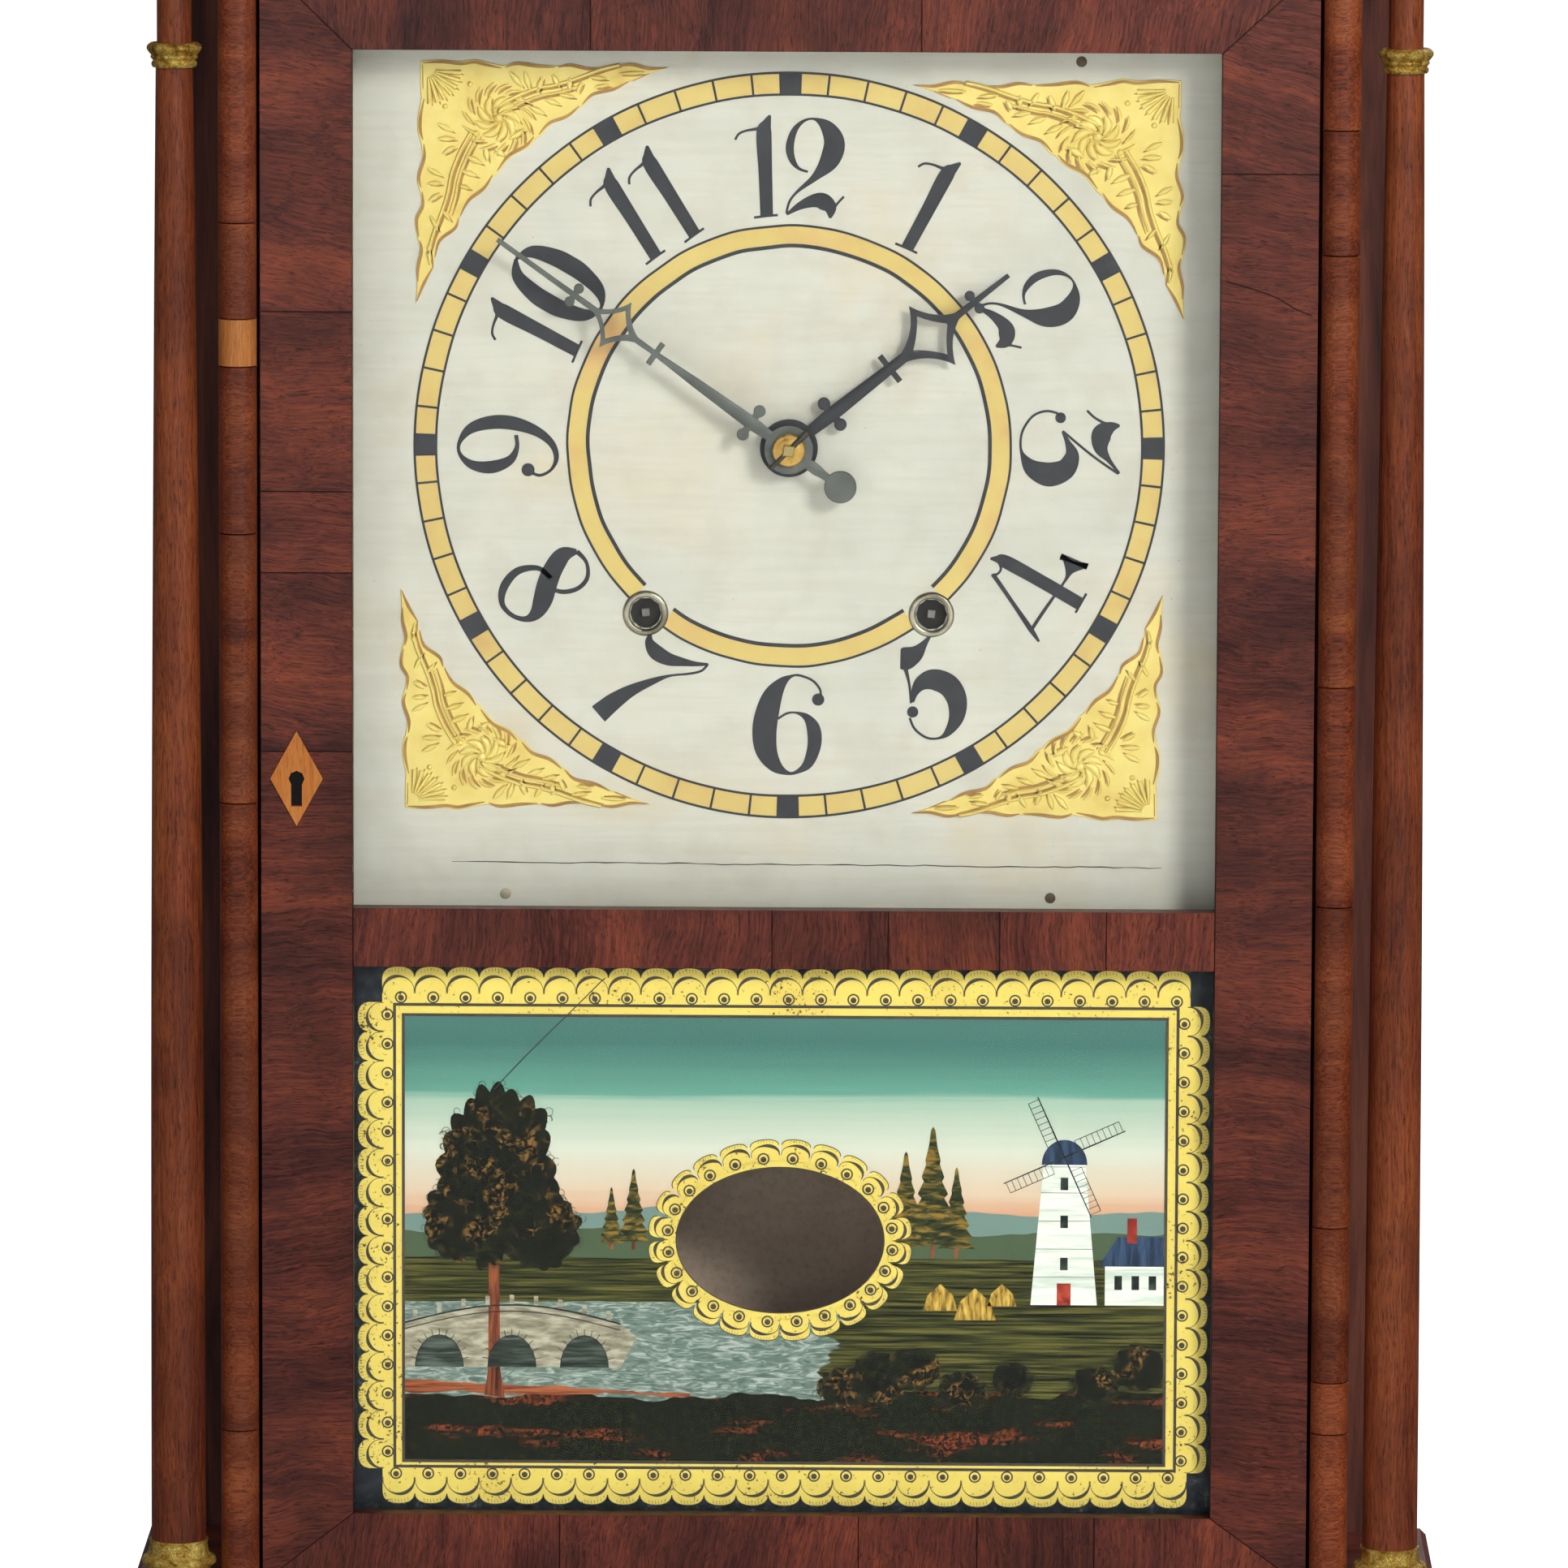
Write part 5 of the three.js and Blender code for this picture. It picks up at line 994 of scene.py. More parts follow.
VOLUTE_ARM_SHARES = [(0.84, 0.1), (0.74, 0.21), (0.66, 0.31), (0.56, 0.43), (0.46, 0.52), (0.37, 0.66)]
# Reach and width along a petal, and radius and height up the bud, in millimetres
ROSETTE_PETAL = [(1.4, 1.2), (3.4, 3.0), (5.0, 2.6), (5.8, 0.9)]
ROSETTE_BUD = [(0, 0), (2.2, 0), (2.2, 2.2), (1.5, 3.0), (0, 3.3)]


def volute_line(side, low, wide, arm_height, eye, eye_radius):
    """The line that follows the scroll's arm and winds up at its eye"""
    width, eye_width = 2.6, 1.4
    turns, steps, first_angle = 1.6, 40, 0.05
    line = [(side * across * wide, low.z + up * arm_height, width * MM) for across, up in VOLUTE_ARM_SHARES]
    for step in range(steps + 1):
        share = step / steps
        angle = first_angle + turns * TURN * share
        reach = eye_radius * (0.82 - 0.48 * share)
        line.append((side * (eye[0] + reach * math.cos(angle)), eye[1] + reach * math.sin(angle),
                     (width + (eye_width - width) * share) * MM))
    return curve_through(line, 4)


def make_scrolls():
    """Carved volutes with rosettes at their eyes, and a line that follows each arm, on the scroll board"""
    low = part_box("scroll_board")[0]
    gold = gilt_turning()
    carved = wood("scroll_carving", "x", SHAFT, gloss=0.3, coat=0.4)
    arm_height, volute_relief, petal_relief = 105 * MM, 1.7 * MM, 2.4 * MM
    wide = half_width("scroll_board")
    eye, eye_radius = (0.2 * wide, low.z + 0.8 * arm_height), 0.17 * arm_height
    petals = 8
    for name, side in (("left", -1), ("right", 1)):
        ridge = Shape(patch=3.0)
        line = volute_line(side, low, wide, arm_height, eye, eye_radius)
        ridge.stroke(line, ridge_section(volute_relief), low.y)
        ridge.build(f"{name}_volute", carved, "case", "mahogany_veneer")
        rose = Shape()
        for petal in range(petals):
            angle = TURN * petal / petals
            leaf = [(*polar((side * eye[0], eye[1]), reach * MM, angle), width * MM)
                    for reach, width in ROSETTE_PETAL]
            rose.stroke(curve_through(leaf, 4), ridge_section(petal_relief), low.y)
        bud = [(radius * MM, low.y - height * MM) for radius, height in ROSETTE_BUD]
        rose.spindle(bud, side * eye[0], eye[1], 24)
        rose.build(f"{name}_rosette", gold, "case", "gilt")


# Dial

PAINT = 0.06 * MM
DIAL_LINE = 0.75 * MM


def rule_dial(lines, rings, arcs):
    """The black lines along the rings, and the sixty divisions between the outer two"""
    outer, inner, plain_outer, plain_inner = rings
    blocks, minutes = 12, 60
    block_half = math.radians(1.75)
    front, back = dial_front - 2 * PAINT, dial_front - PAINT / 2
    whole = [(0, TURN)]
    # Radius, width as a share of the plain line's, wobble in millimetres, arcs and steps
    ruled = [(outer, 1, 0.1, whole, 240), (inner, 1, 0.15, whole, 240),
             (plain_outer, 1, 0.35, arcs, 160), (plain_inner, 1.6, 0.4, arcs, 160)]
    for radius, width_share, wobble, parts, steps in ruled:
        half = width_share * DIAL_LINE / 2
        for part in parts:
            lines.sector(hand_centre, (radius - half, radius + half), part, front, back, steps, wobble * MM)
    for minute in range(minutes):
        angle = TURN * minute / minutes
        block = minute % (minutes // blocks) == 0
        half, steps = (block_half, 6) if block else (DIAL_LINE / 2 / outer, 1)
        part = (angle - half, angle + half)
        lines.sector(hand_centre, (inner, outer), part, front - PAINT / 4, back, steps)


def make_dial_rings(black, gold, centre_gold):
    """The minute ring with its divisions, and the plain gold ring inside the numerals, open at the holes"""
    outer, inner = 117.7 * MM, 110.9 * MM
    plain_outer, plain_inner, plain_wobble = 69.5 * MM, 63.4 * MM, 0.3 * MM
    line_overlap, hole_gap = 0.2 * MM, math.radians(5.3)
    hole_angle = math.atan2(winding_offset, -winding_drop)
    past, short = hole_angle + hole_gap, hole_angle - hole_gap
    arcs = [(past, TURN - past), (-short, short)]
    faces = (dial_front - PAINT, dial_front)
    ring, plain, lines = Shape(), Shape(), Shape()
    ring.sector(hand_centre, (inner, outer), (0, TURN), *faces, 240)
    ring.build("minute_ring", gold, "case", "dial_paint")
    for arc in arcs:
        plain.sector(hand_centre, (plain_inner, plain_outer), arc, *faces, 120, plain_wobble)
    plain.build("inner_ring", centre_gold, "case", "dial_paint")
    rule_dial(lines, (outer, inner, plain_outer + line_overlap, plain_inner - line_overlap), arcs)
    lines.build("dial_lines", black, "case", "dial_paint")


# Painted figures: each stroke is a smooth line of x, height and width, in shares of the figure's height
DIGIT_STROKE_SHARES = {
    0: [[(0, 0.985, 0.03), (0.14, 0.88, 0.12), (0.205, 0.66, 0.17), (0.215, 0.5, 0.18), (0.205, 0.34, 0.17),
         (0.14, 0.12, 0.12), (0, 0.015, 0.03), (-0.14, 0.12, 0.12), (-0.205, 0.34, 0.17),
         (-0.215, 0.5, 0.18), (-0.205, 0.66, 0.17), (-0.14, 0.88, 0.12), (0, 0.985, 0.03)]],
    1: [[(0.015, 0.01, 0.125), (0.0, 0.45, 0.135), (-0.015, 0.82, 0.15), (0.012, 0.92, 0.09),
         (0.045, 1.0, 0.01)],
        [(0.0, 0.9, 0.05), (-0.08, 0.865, 0.035), (-0.18, 0.848, 0.022), (-0.26, 0.815, 0.02),
         (-0.298, 0.755, 0.016)],
        [(-0.11, -0.012, 0.014), (0.01, 0.004, 0.014), (0.125, 0.014, 0.012)]],
    2: [[(-0.07, 0.443, 0.015), (-0.16, 0.475, 0.03), (-0.225, 0.56, 0.065), (-0.25, 0.69, 0.08),
         (-0.205, 0.85, 0.06), (-0.11, 0.946, 0.03), (0, 0.962, 0.03), (0.12, 0.88, 0.14),
         (0.19, 0.73, 0.205), (0.14, 0.554, 0.19), (0.0, 0.39, 0.075), (-0.17, 0.25, 0.03),
         (-0.25, 0.149, 0.018), (-0.281, 0.03, 0.014)],
        [(-0.278, 0.02, 0.012), (-0.15, 0.105, 0.075), (-0.01, 0.157, 0.13), (0.08, 0.15, 0.165),
         (0.15, 0.085, 0.13), (0.15, -0.015, 0.01)],
        [(0.16, 0.06, 0.05), (0.22, 0.13, 0.016), (0.285, 0.2, 0.012)]],
    3: [[(-0.225, 0.985, 0.015), (-0.21, 0.9, 0.11), (-0.14, 0.81, 0.2), (0.0, 0.8, 0.14),
         (0.12, 0.88, 0.05), (0.25, 0.985, 0.012)],
        [(-0.374, 0.66, 0.012), (-0.3, 0.74, 0.014), (-0.24, 0.85, 0.03)],
        [(0.255, 0.975, 0.022), (0.07, 0.71, 0.014), (-0.169, 0.42, 0.012)],
        [(-0.165, 0.42, 0.01), (-0.05, 0.475, 0.06), (0.07, 0.515, 0.14), (0.2, 0.46, 0.2),
         (0.258, 0.34, 0.235), (0.255, 0.24, 0.23), (0.19, 0.11, 0.16), (0.06, 0.024, 0.04),
         (-0.06, 0.006, 0.016), (-0.189, 0.035, 0.014), (-0.318, 0.13, 0.014), (-0.366, 0.258, 0.014),
         (-0.345, 0.37, 0.018)]],
    4: [[(0.0, 0.0, 0.13), (0.0, 0.5, 0.13), (-0.01, 0.86, 0.13), (-0.035, 0.95, 0.06), (-0.06, 1.0, 0.02)],
        [(-0.05, 0.9, 0.03), (-0.1, 0.855, 0.02), (-0.16, 0.865, 0.022), (-0.195, 0.905, 0.02)],
        [(-0.18, 0.9, 0.045), (-0.33, 0.58, 0.04), (-0.46, 0.31, 0.052), (-0.53, 0.165, 0.02)],
        [(-0.45, 0.29, 0.035), (-0.25, 0.28, 0.034), (0.0, 0.26, 0.028), (0.14, 0.25, 0.03),
         (0.23, 0.262, 0.09), (0.325, 0.27, 0.27), (0.333, 0.27, 0.29)],
        [(-0.1, 0.0, 0.016), (0.12, 0.004, 0.016)]],
    5: [[(-0.092, 0.9, 0.2), (-0.04, 0.875, 0.23), (0.07, 0.87, 0.16), (0.18, 0.91, 0.07),
         (0.285, 0.955, 0.01)],
        [(-0.085, 0.83, 0.05), (-0.14, 0.64, 0.025), (-0.221, 0.46, 0.014)],
        [(-0.2, 0.46, 0.015), (-0.13, 0.54, 0.08), (-0.03, 0.583, 0.15), (0.09, 0.555, 0.21),
         (0.19, 0.43, 0.222), (0.19, 0.264, 0.2), (0.1, 0.115, 0.152), (-0.04, 0.03, 0.08),
         (-0.147, 0.02, 0.026), (-0.253, 0.08, 0.014), (-0.316, 0.215, 0.014), (-0.305, 0.34, 0.016)]],
    6: [[(0.322, 0.8, 0.02), (0.313, 0.865, 0.014), (0.24, 0.95, 0.012), (0.11, 1.0, 0.012),
         (0.03, 0.99, 0.03), (-0.06, 0.93, 0.1), (-0.15, 0.8, 0.19), (-0.206, 0.626, 0.232),
         (-0.234, 0.433, 0.24), (-0.212, 0.24, 0.212), (-0.12, 0.09, 0.13), (0.0, 0.022, 0.04),
         (0.09, 0.035, 0.04), (0.2, 0.12, 0.1), (0.262, 0.304, 0.135), (0.252, 0.47, 0.135),
         (0.184, 0.58, 0.074), (0.083, 0.626, 0.022), (-0.01, 0.62, 0.016), (-0.1, 0.565, 0.016)]],
    7: [[(-0.245, 0.975, 0.02), (-0.215, 0.9, 0.09), (-0.11, 0.845, 0.15), (0.03, 0.845, 0.13),
         (0.15, 0.885, 0.09), (0.28, 0.935, 0.05), (0.4, 1.0, 0.01)],
        [(0.397, 1.0, 0.012), (0.375, 0.91, 0.014), (0.28, 0.82, 0.016), (0.136, 0.715, 0.024),
         (0.03, 0.6, 0.06), (-0.12, 0.4, 0.115), (-0.22, 0.21, 0.17), (-0.29, 0.02, 0.2)]],
    8: [[(-0.134, 0.936, 0.05), (-0.17, 0.8, 0.16), (-0.095, 0.64, 0.19), (0.01, 0.51, 0.2),
         (0.12, 0.4, 0.19), (0.2, 0.28, 0.13), (0.2, 0.16, 0.06), (0.098, 0.06, 0.045),
         (-0.055, 0.035, 0.055), (-0.19, 0.14, 0.085), (-0.255, 0.33, 0.075), (-0.18, 0.52, 0.05),
         (-0.03, 0.58, 0.05)],
        [(0.05, 0.52, 0.04), (0.15, 0.62, 0.045), (0.19, 0.77, 0.045), (0.14, 0.9, 0.042),
         (0.003, 0.965, 0.035), (-0.134, 0.936, 0.05)]],
    9: [[(0.1, 0.42, 0.04), (-0.02, 0.41, 0.045), (-0.15, 0.48, 0.09), (-0.22, 0.66, 0.125),
         (-0.2, 0.85, 0.09), (-0.1, 0.97, 0.04), (0.02, 0.98, 0.04), (0.16, 0.87, 0.1),
         (0.225, 0.66, 0.135), (0.215, 0.44, 0.135), (0.14, 0.22, 0.1), (0.02, 0.07, 0.07),
         (-0.12, 0.02, 0.05), (-0.24, 0.07, 0.03), (-0.3, 0.18, 0.03), (-0.27, 0.27, 0.03)]],
}

# The round ends of the figures: x, height and radius, as shares of the height
DIGIT_DOT_SHARES = {
    3: (-0.3, 0.4, 0.053),
    5: (-0.25, 0.377, 0.056),
    6: (0.298, 0.76, 0.061),
    9: (-0.245, 0.3, 0.065),
}


# Numbers that stand beside each other: how far apart their middles are, as a share of the height
PAIR_SHARES = {10: 0.5, 11: 0.44, 12: 0.49}
FOUR_SHARE = 0.1


def paint_digit(shape, digit, across, middle, height, turned):
    """One figure, its strokes laid over each other and its round end on top"""
    steps, hairline_share = 5, 0.024
    for layer, stroke in enumerate(DIGIT_STROKE_SHARES[digit]):
        shifted = [(x + across, z - 0.5, max(width, hairline_share)) for x, z, width in stroke]
        line = placed(curve_through(shifted, steps), middle, height, turned)
        shape.stroke(line, flat_section(PAINT * (2 + layer / 4)), dial_front, smooth=False)
    if digit in DIGIT_DOT_SHARES:
        x, z, radius = DIGIT_DOT_SHARES[digit]
        dot_x, dot_z = placed_point(x + across, z - 0.5, middle, height, turned)
        reach, front = radius * height, dial_front - 3 * PAINT
        shape.spindle([(0, dial_front), (reach, dial_front), (reach, front), (0, front)], dot_x, dot_z, 24)


def make_numerals(black):
    """Twelve painted numbers. The upper ones stand on the ring's inside, the lower ones face the hands."""
    height, centre_radius = 31.8 * MM, 88.4 * MM
    shape = Shape()
    for hour in range(1, 13):
        angle = TURN * hour / 12
        middle = placed_point(0, centre_radius, hand_centre, 1.0, angle)
        turned = angle + math.pi if 4 <= hour <= 8 else angle
        digits = [int(digit) for digit in str(hour)]
        for place, digit in enumerate(digits):
            across = (place - (len(digits) - 1) / 2) * PAIR_SHARES.get(hour, 0)
            paint_digit(shape, digit, FOUR_SHARE if digit == 4 else across, middle, height, turned)
    shape.build("dial_numerals", black, "case", "dial_paint")


def make_grommets():
    """The metal rims of the winding holes, and in each a near-black disc of painted shade on the arbor's end,
    with its small square
    """
    tin = metal("old_tin", (176, 172, 150), (84, 80, 66), 0.35)
    worn = metal("winding_square", (118, 118, 114), (76, 72, 64), 0.4, metallic=0.3)
    hole_shade_paint = metal("ferrule_iron", (24, 23, 22), (34, 28, 24), 0.6, metallic=0.2)
    rim, bore, lip = 7.2 * MM, 5.0 * MM, 1.0 * MM
    shade_disc_radius, shade_disc_thick = 4.7 * MM, 0.25 * MM
    half, tip_reach, chamfer, tip_turn = 1.25 * MM, 1.6 * MM, 0.2 * MM, math.radians(6)
    steps = 16
    for name, side in (("strike", -1), ("time", 1)):
        place = (side * winding_offset, winding_height)
        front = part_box(f"{name}_drum")[0].y
        angles = [math.pi * step / steps for step in range(steps + 1)]
        grommet, shade_disc, tip = Shape(), Shape(), Shape()
        rounded = [((rim + bore) / 2 - (rim - bore) / 2 * math.cos(angle), dial_front - lip * math.sin(angle))
                   for angle in angles]
        grommet.spindle(rounded, *place, bored=True)
        grommet.build(f"{name}_grommet", tin, "case", "works_brass")
        # Painted shade: a near-black disc on the drum's end stands for the dark inside the winding hole
        shade_disc.spindle(rectangle(0, shade_disc_radius, front, front - shade_disc_thick), *place)
        shade_disc.build(f"{name}_arbor_shade_disc", hole_shade_paint, f"{name}_drum_arbor", "iron")
        tip.prism(placed(square(half), place, 1.0, side * tip_turn), front - tip_reach, front, chamfer)
        tip.build(f"{name}_winding_tip", worn, f"{name}_drum_arbor", "bright_steel")


def make_dial_crack():
    """The crack above the lower edge of the dial, drawn as a dark line of painted shade"""
    left, right, height, fall = -106 * MM, 118 * MM, 324.6 * MM, 0.8 * MM
    shaking = 0.5 * MM
    steps = 60
    line = []
    for step in range(steps + 1):
        share = step / steps
        shake = shaking * noise.fractal(Vector((share * 14, 3.0, 0)), 0.6, 2.0, 3)
        width = (0.3 + 0.22 * noise.noise(Vector((share * 30, 0, 7)))) * MM
        width *= min(1, 12 * min(share, 1 - share) + 0.5)
        line.append((left + (right - left) * share, height - fall * share + shake, width))
    crack = Shape()
    crack.stroke(line, flat_section(PAINT), dial_front, smooth=False)
    # The crack's darkness is painted shade, laid on as a dark line
    painted_crack_shade = brushed_paint("dial_crack_painted_shade", (34, 31, 26), (62, 57, 46), 0.8)
    crack.build("dial_crack", painted_crack_shade, "case", "dial_paint")


def make_dial_screws():
    """The three screws that hold the dial, one of them painted over"""
    radius, proud = 1.7 * MM, 0.5 * MM
    slot_half_shares = (0.8, 0.14)
    head_shares = [(0, 0), (1, 0), (0.92, 0.7), (0.6, 1), (0, 1)]
    iron = metal("rusty_screw", (96, 84, 62), (50, 40, 30), 0.6, metallic=0.4, pits=0.6)
    painted_over = metal("painted_screw", (168, 160, 136), (84, 74, 56), 0.6, metallic=0.1, pits=0.7)
    places = {
        "upper": (91, 578.5, iron),
        "lower_left": (-89, 314.5, painted_over),
        "lower_right": (83, 314, iron),
    }
    long, wide = (share * radius for share in slot_half_shares)
    for name, (x, z, head) in places.items():
        screw = Shape()
        place = (x * MM, z * MM)
        screw.spindle([(radius * out, dial_front - proud * up) for out, up in head_shares], *place, 24)
        slot = placed(rectangle(-long, long, -wide, wide), place, 1.0, x * 0.3)
        screw.prism(slot, dial_front - proud * 1.1, dial_front - proud / 2)
        screw.build(f"{name}_dial_screw", head, "case", "iron")


# Spandrels: gilt scrollwork in the corners of the dial. All places are shares of the leg,
# across from the corner and down from it.

SPANDREL_EDGE_SHARES = [
    [(0, 0.018), (0.08, 0.012), (0.161, 0.018), (0.214, 0.01), (0.263, 0.02), (0.33, 0.035)],
    [(0.347, 0.032), (0.396, 0.018), (0.481, 0.03), (0.551, 0.035)],
    [(0.565, 0.035), (0.614, 0.027), (0.684, 0.042), (0.747, 0.039)],
    [(0.768, 0.042), (0.853, 0.025), (0.93, 0.042), (1.0, 0.039)],
    [(0.93, 0.062), (0.867, 0.091)],
    [(0.846, 0.095), (0.789, 0.126), (0.705, 0.147), (0.663, 0.189)],
    [(0.649, 0.196), (0.6, 0.239), (0.53, 0.267), (0.488, 0.316)],
    [(0.467, 0.326), (0.432, 0.365), (0.361, 0.407), (0.312, 0.47)],
    [(0.291, 0.488), (0.256, 0.54), (0.193, 0.589), (0.158, 0.653)],
    [(0.151, 0.66), (0.137, 0.702), (0.074, 0.751), (0.056, 0.818)],
    [(0.049, 0.856), (0.01, 0.926), (-0.018, 0.996)],
    [(-0.014, 0.919), (-0.014, 0.863), (0, 0.793), (-0.007, 0.751)],
    [(-0.011, 0.737), (-0.021, 0.667), (0.004, 0.611), (0, 0.554)],
    [(-0.004, 0.537), (-0.014, 0.491), (0.007, 0.414), (0.004, 0.358)],
    [(0, 0.34), (-0.011, 0.302), (-0.011, 0.246), (0.004, 0.168)],
    [(0, 0.126), (0, 0.025)],
]

# Leaves: from, to and the widest width
SPANDREL_LEAF_SHARES = [
    ((0.07, 0.27), (0.13, 0.3), 0.028), ((0.07, 0.33), (0.14, 0.33), 0.028),
    ((0.09, 0.39), (0.14, 0.36), 0.026), ((0.03, 0.45), (0.085, 0.48), 0.026),
    ((0.03, 0.51), (0.085, 0.51), 0.026), ((0.035, 0.58), (0.08, 0.55), 0.026),
    ((0.185, 0.4), (0.25, 0.43), 0.03), ((0.17, 0.46), (0.23, 0.48), 0.028),
    ((0.16, 0.52), (0.2, 0.53), 0.024), ((0.04, 0.64), (0.07, 0.7), 0.022),
    ((0.09, 0.62), (0.12, 0.66), 0.02), ((0.03, 0.76), (0.04, 0.84), 0.02),
    ((0.36, 0.06), (0.41, 0.12), 0.03), ((0.42, 0.06), (0.44, 0.13), 0.03),
    ((0.49, 0.08), (0.47, 0.14), 0.028), ((0.53, 0.07), (0.56, 0.12), 0.026),
    ((0.6, 0.08), (0.6, 0.13), 0.026), ((0.65, 0.1), (0.63, 0.14), 0.024), ((0.44, 0.2), (0.5, 0.23), 0.03),
    ((0.5, 0.17), (0.56, 0.19), 0.028), ((0.56, 0.15), (0.62, 0.16), 0.024),
    ((0.68, 0.08), (0.75, 0.085), 0.022), ((0.7, 0.12), (0.76, 0.11), 0.02),
    ((0.8, 0.065), (0.9, 0.06), 0.02), ((0.36, 0.33), (0.42, 0.29), 0.03),
    ((0.3, 0.37), (0.34, 0.4), 0.028), ((0.26, 0.36), (0.27, 0.42), 0.028),
]

SPANDREL_STEM_SHARES = [(0.205, 0.3), (0.16, 0.38), (0.125, 0.47), (0.112, 0.54), (0.088, 0.62), (0.05, 0.72),
                        (0.03, 0.8)]
SPANDREL_FLOWER = (0.312, 0.246)
SPANDREL_SHELL = (0.03, 0.055)
SPANDREL_MIDDLE = (0.25, 0.22)

# Buds: across, down and radius
SPANDREL_BUD_SHARES = [(*SPANDREL_FLOWER, 0.02), (0.224, 0.309, 0.014), (0.4, 0.17, 0.014), (0.1, 0.2, 0.012),
                       (0.2, 0.11, 0.012)]

# Each spandrel's corner from the hands' centre and its legs, in millimetres, and which way the legs run
SPANDRELS = {
    "upper_left": ((-115.9, 122.2), (77.9, 78.0), (1, -1)),
    "upper_right": ((122.3, 117.1), (84.2, 77.2), (-1, -1)),
    "lower_left": ((-120.8, -116.6), (77.4, 71.5), (1, 1)),
    "lower_right": ((116.4, -119.1), (77.9, 73.3), (-1, 1)),
}
SPANDREL_GROUND = 0.35 * MM
SPANDREL_RELIEF = 0.95 * MM


def whirl(count, reaches, bend, widths):
    """Bent petals round the spandrel's flower, all in shares"""
    first, last = reaches
    lines = []
    for petal in range(count):
        line = []
        for step, width in enumerate(widths):
            share = step / (len(widths) - 1)
            line.append((*polar(SPANDREL_FLOWER, first + (last - first) * share,
                                TURN * petal / count + bend * share), width))
        lines.append(line)
    return lines


def spandrel_lines():
    """The ornament's raised lines in shares: shell, flower, stems and leaves"""
    ribs, rib_width, stem_width, twig_width = 7, 0.024, 0.016, 0.011
    rib_from, rib_to, twig_aside, twig_down = 0.03, 0.135, 0.03, 0.012
    lines = []
    for rib in range(ribs):
        angle = QUARTER * (rib + 0.25) / (ribs - 0.5)
        near = (*polar(SPANDREL_SHELL, rib_from, angle), rib_width * 0.4)
        far = (*polar(SPANDREL_SHELL, rib_to, angle), rib_width)
        lines.append([near, tuple((a + b) / 2 for a, b in zip(near, far)), far])
    lines += whirl(9, (0.024, 0.09), 0.9, (0.012, 0.024, 0.034, 0.03, 0.012))
    lines += whirl(15, (0.104, 0.144), 0.42, (0.006, 0.014, 0.013, 0.004))
    stem = [(x, z, stem_width) for x, z in SPANDREL_STEM_SHARES]
    twig = [(x + twig_aside, z + twig_down, twig_width) for x, z in SPANDREL_STEM_SHARES[:5]]
    for line in (stem, twig):
        lines += [line, [(z, x, width) for x, z, width in line]]
    for start, end, width in SPANDREL_LEAF_SHARES:
        lines.append([(*start, width * 0.3), (*on_line(start, end, 0.5), width), (*end, width * 0.3)])
    return lines


def make_scrollwork(name, real, gold):
    """The raised lines and buds of one spandrel"""
    base, face = dial_front - SPANDREL_GROUND / 2, dial_front - SPANDREL_GROUND
    dome_shares = [(0.8, 0.4), (0.4, 0.7), (0, 0.8)]
    section = ridge_section(SPANDREL_RELIEF)
    raised = Shape()
    for line in spandrel_lines():
        raised.stroke(curve_through([real(*point) for point in line], 3), section, base)
    for bud in SPANDREL_BUD_SHARES:
        x, z, radius = real(*bud)
        dome = [(radius * out, face - SPANDREL_RELIEF * up) for out, up in dome_shares]
        raised.spindle([(0, base), (radius, base), *dome], x, z, 16)
    raised.build(f"{name}_scrollwork", gold, "case", "gilt")


def make_spandrel_shade(name, real, shadow_brown):
    """Painted shadow: brown lines inside the spandrel's edge and beside its raised lines"""
    edge_in, edge_end, edge_width = 0.9 * MM, 0.3 * MM, 1.0 * MM
    aside, down, width, end_width = 0.011, 0.009, 0.011, 0.004
    edge_section, side_section = flat_section(SPANDREL_GROUND * 1.15), flat_section(SPANDREL_GROUND * 1.1)
    shade = Shape()
    middle = Vector(real(*SPANDREL_MIDDLE))
    for segment in SPANDREL_EDGE_SHARES:
        line = [Vector(real(*share)) for share in segment]
        line = [point + (middle - point).normalized() * edge_in for point in line]
        widths = [edge_end] + [edge_width] * (len(line) - 2) + [edge_end]
        stroke = [(point.x, point.y, across) for point, across in zip(line, widths)]
        shade.stroke(curve_through(stroke, 4), edge_section, dial_front, smooth=False)
    for line in spandrel_lines():
        side = [(x + aside, z + down, width if 0 < index < len(line) - 1 else end_width)
                for index, (x, z, _) in enumerate(line)]
        side = curve_through([real(*point) for point in side], 3)
        shade.stroke(side, side_section, dial_front, smooth=False)
    shade.build(f"{name}_spandrel_lines", shadow_brown, "case", "gilt")


def make_spandrels():
    """Four corners of raised gold. Each has a shell, a whirled flower, two stems and their leaves, and brown
    lines of painted shadow.
    """
    gold = raised_gold("spandrel_gold")
    # Brown paint for the painted shadow along the spandrels' edges and raised lines
    shadow_brown = brushed_paint("spandrel_brown", (138, 102, 44), (168, 128, 60), 0.5)
    for name, ((corner_x, corner_z), (leg_x, leg_z), (to_x, to_z)) in SPANDRELS.items():
        def real(across, down, *widths):
            x = hand_centre[0] + (corner_x + to_x * leg_x * across) * MM
            z = hand_centre[1] + (corner_z + to_z * leg_z * down) * MM
            return (x, z, *[width * leg_x * MM for width in widths])

        outline = []
        for segment in SPANDREL_EDGE_SHARES:
            outline += curve_through([real(*share) for share in segment], 5)
        base = Shape()
        base.prism(outline, dial_front - SPANDREL_GROUND, dial_front, SPANDREL_GROUND / 2)
        base.build(f"{name}_spandrel", gold, "case", "gilt")
        make_scrollwork(name, real, gold)
        make_spandrel_shade(name, real, shadow_brown)


# Hands. Places along a hand are its reach from the centre, in millimetres.

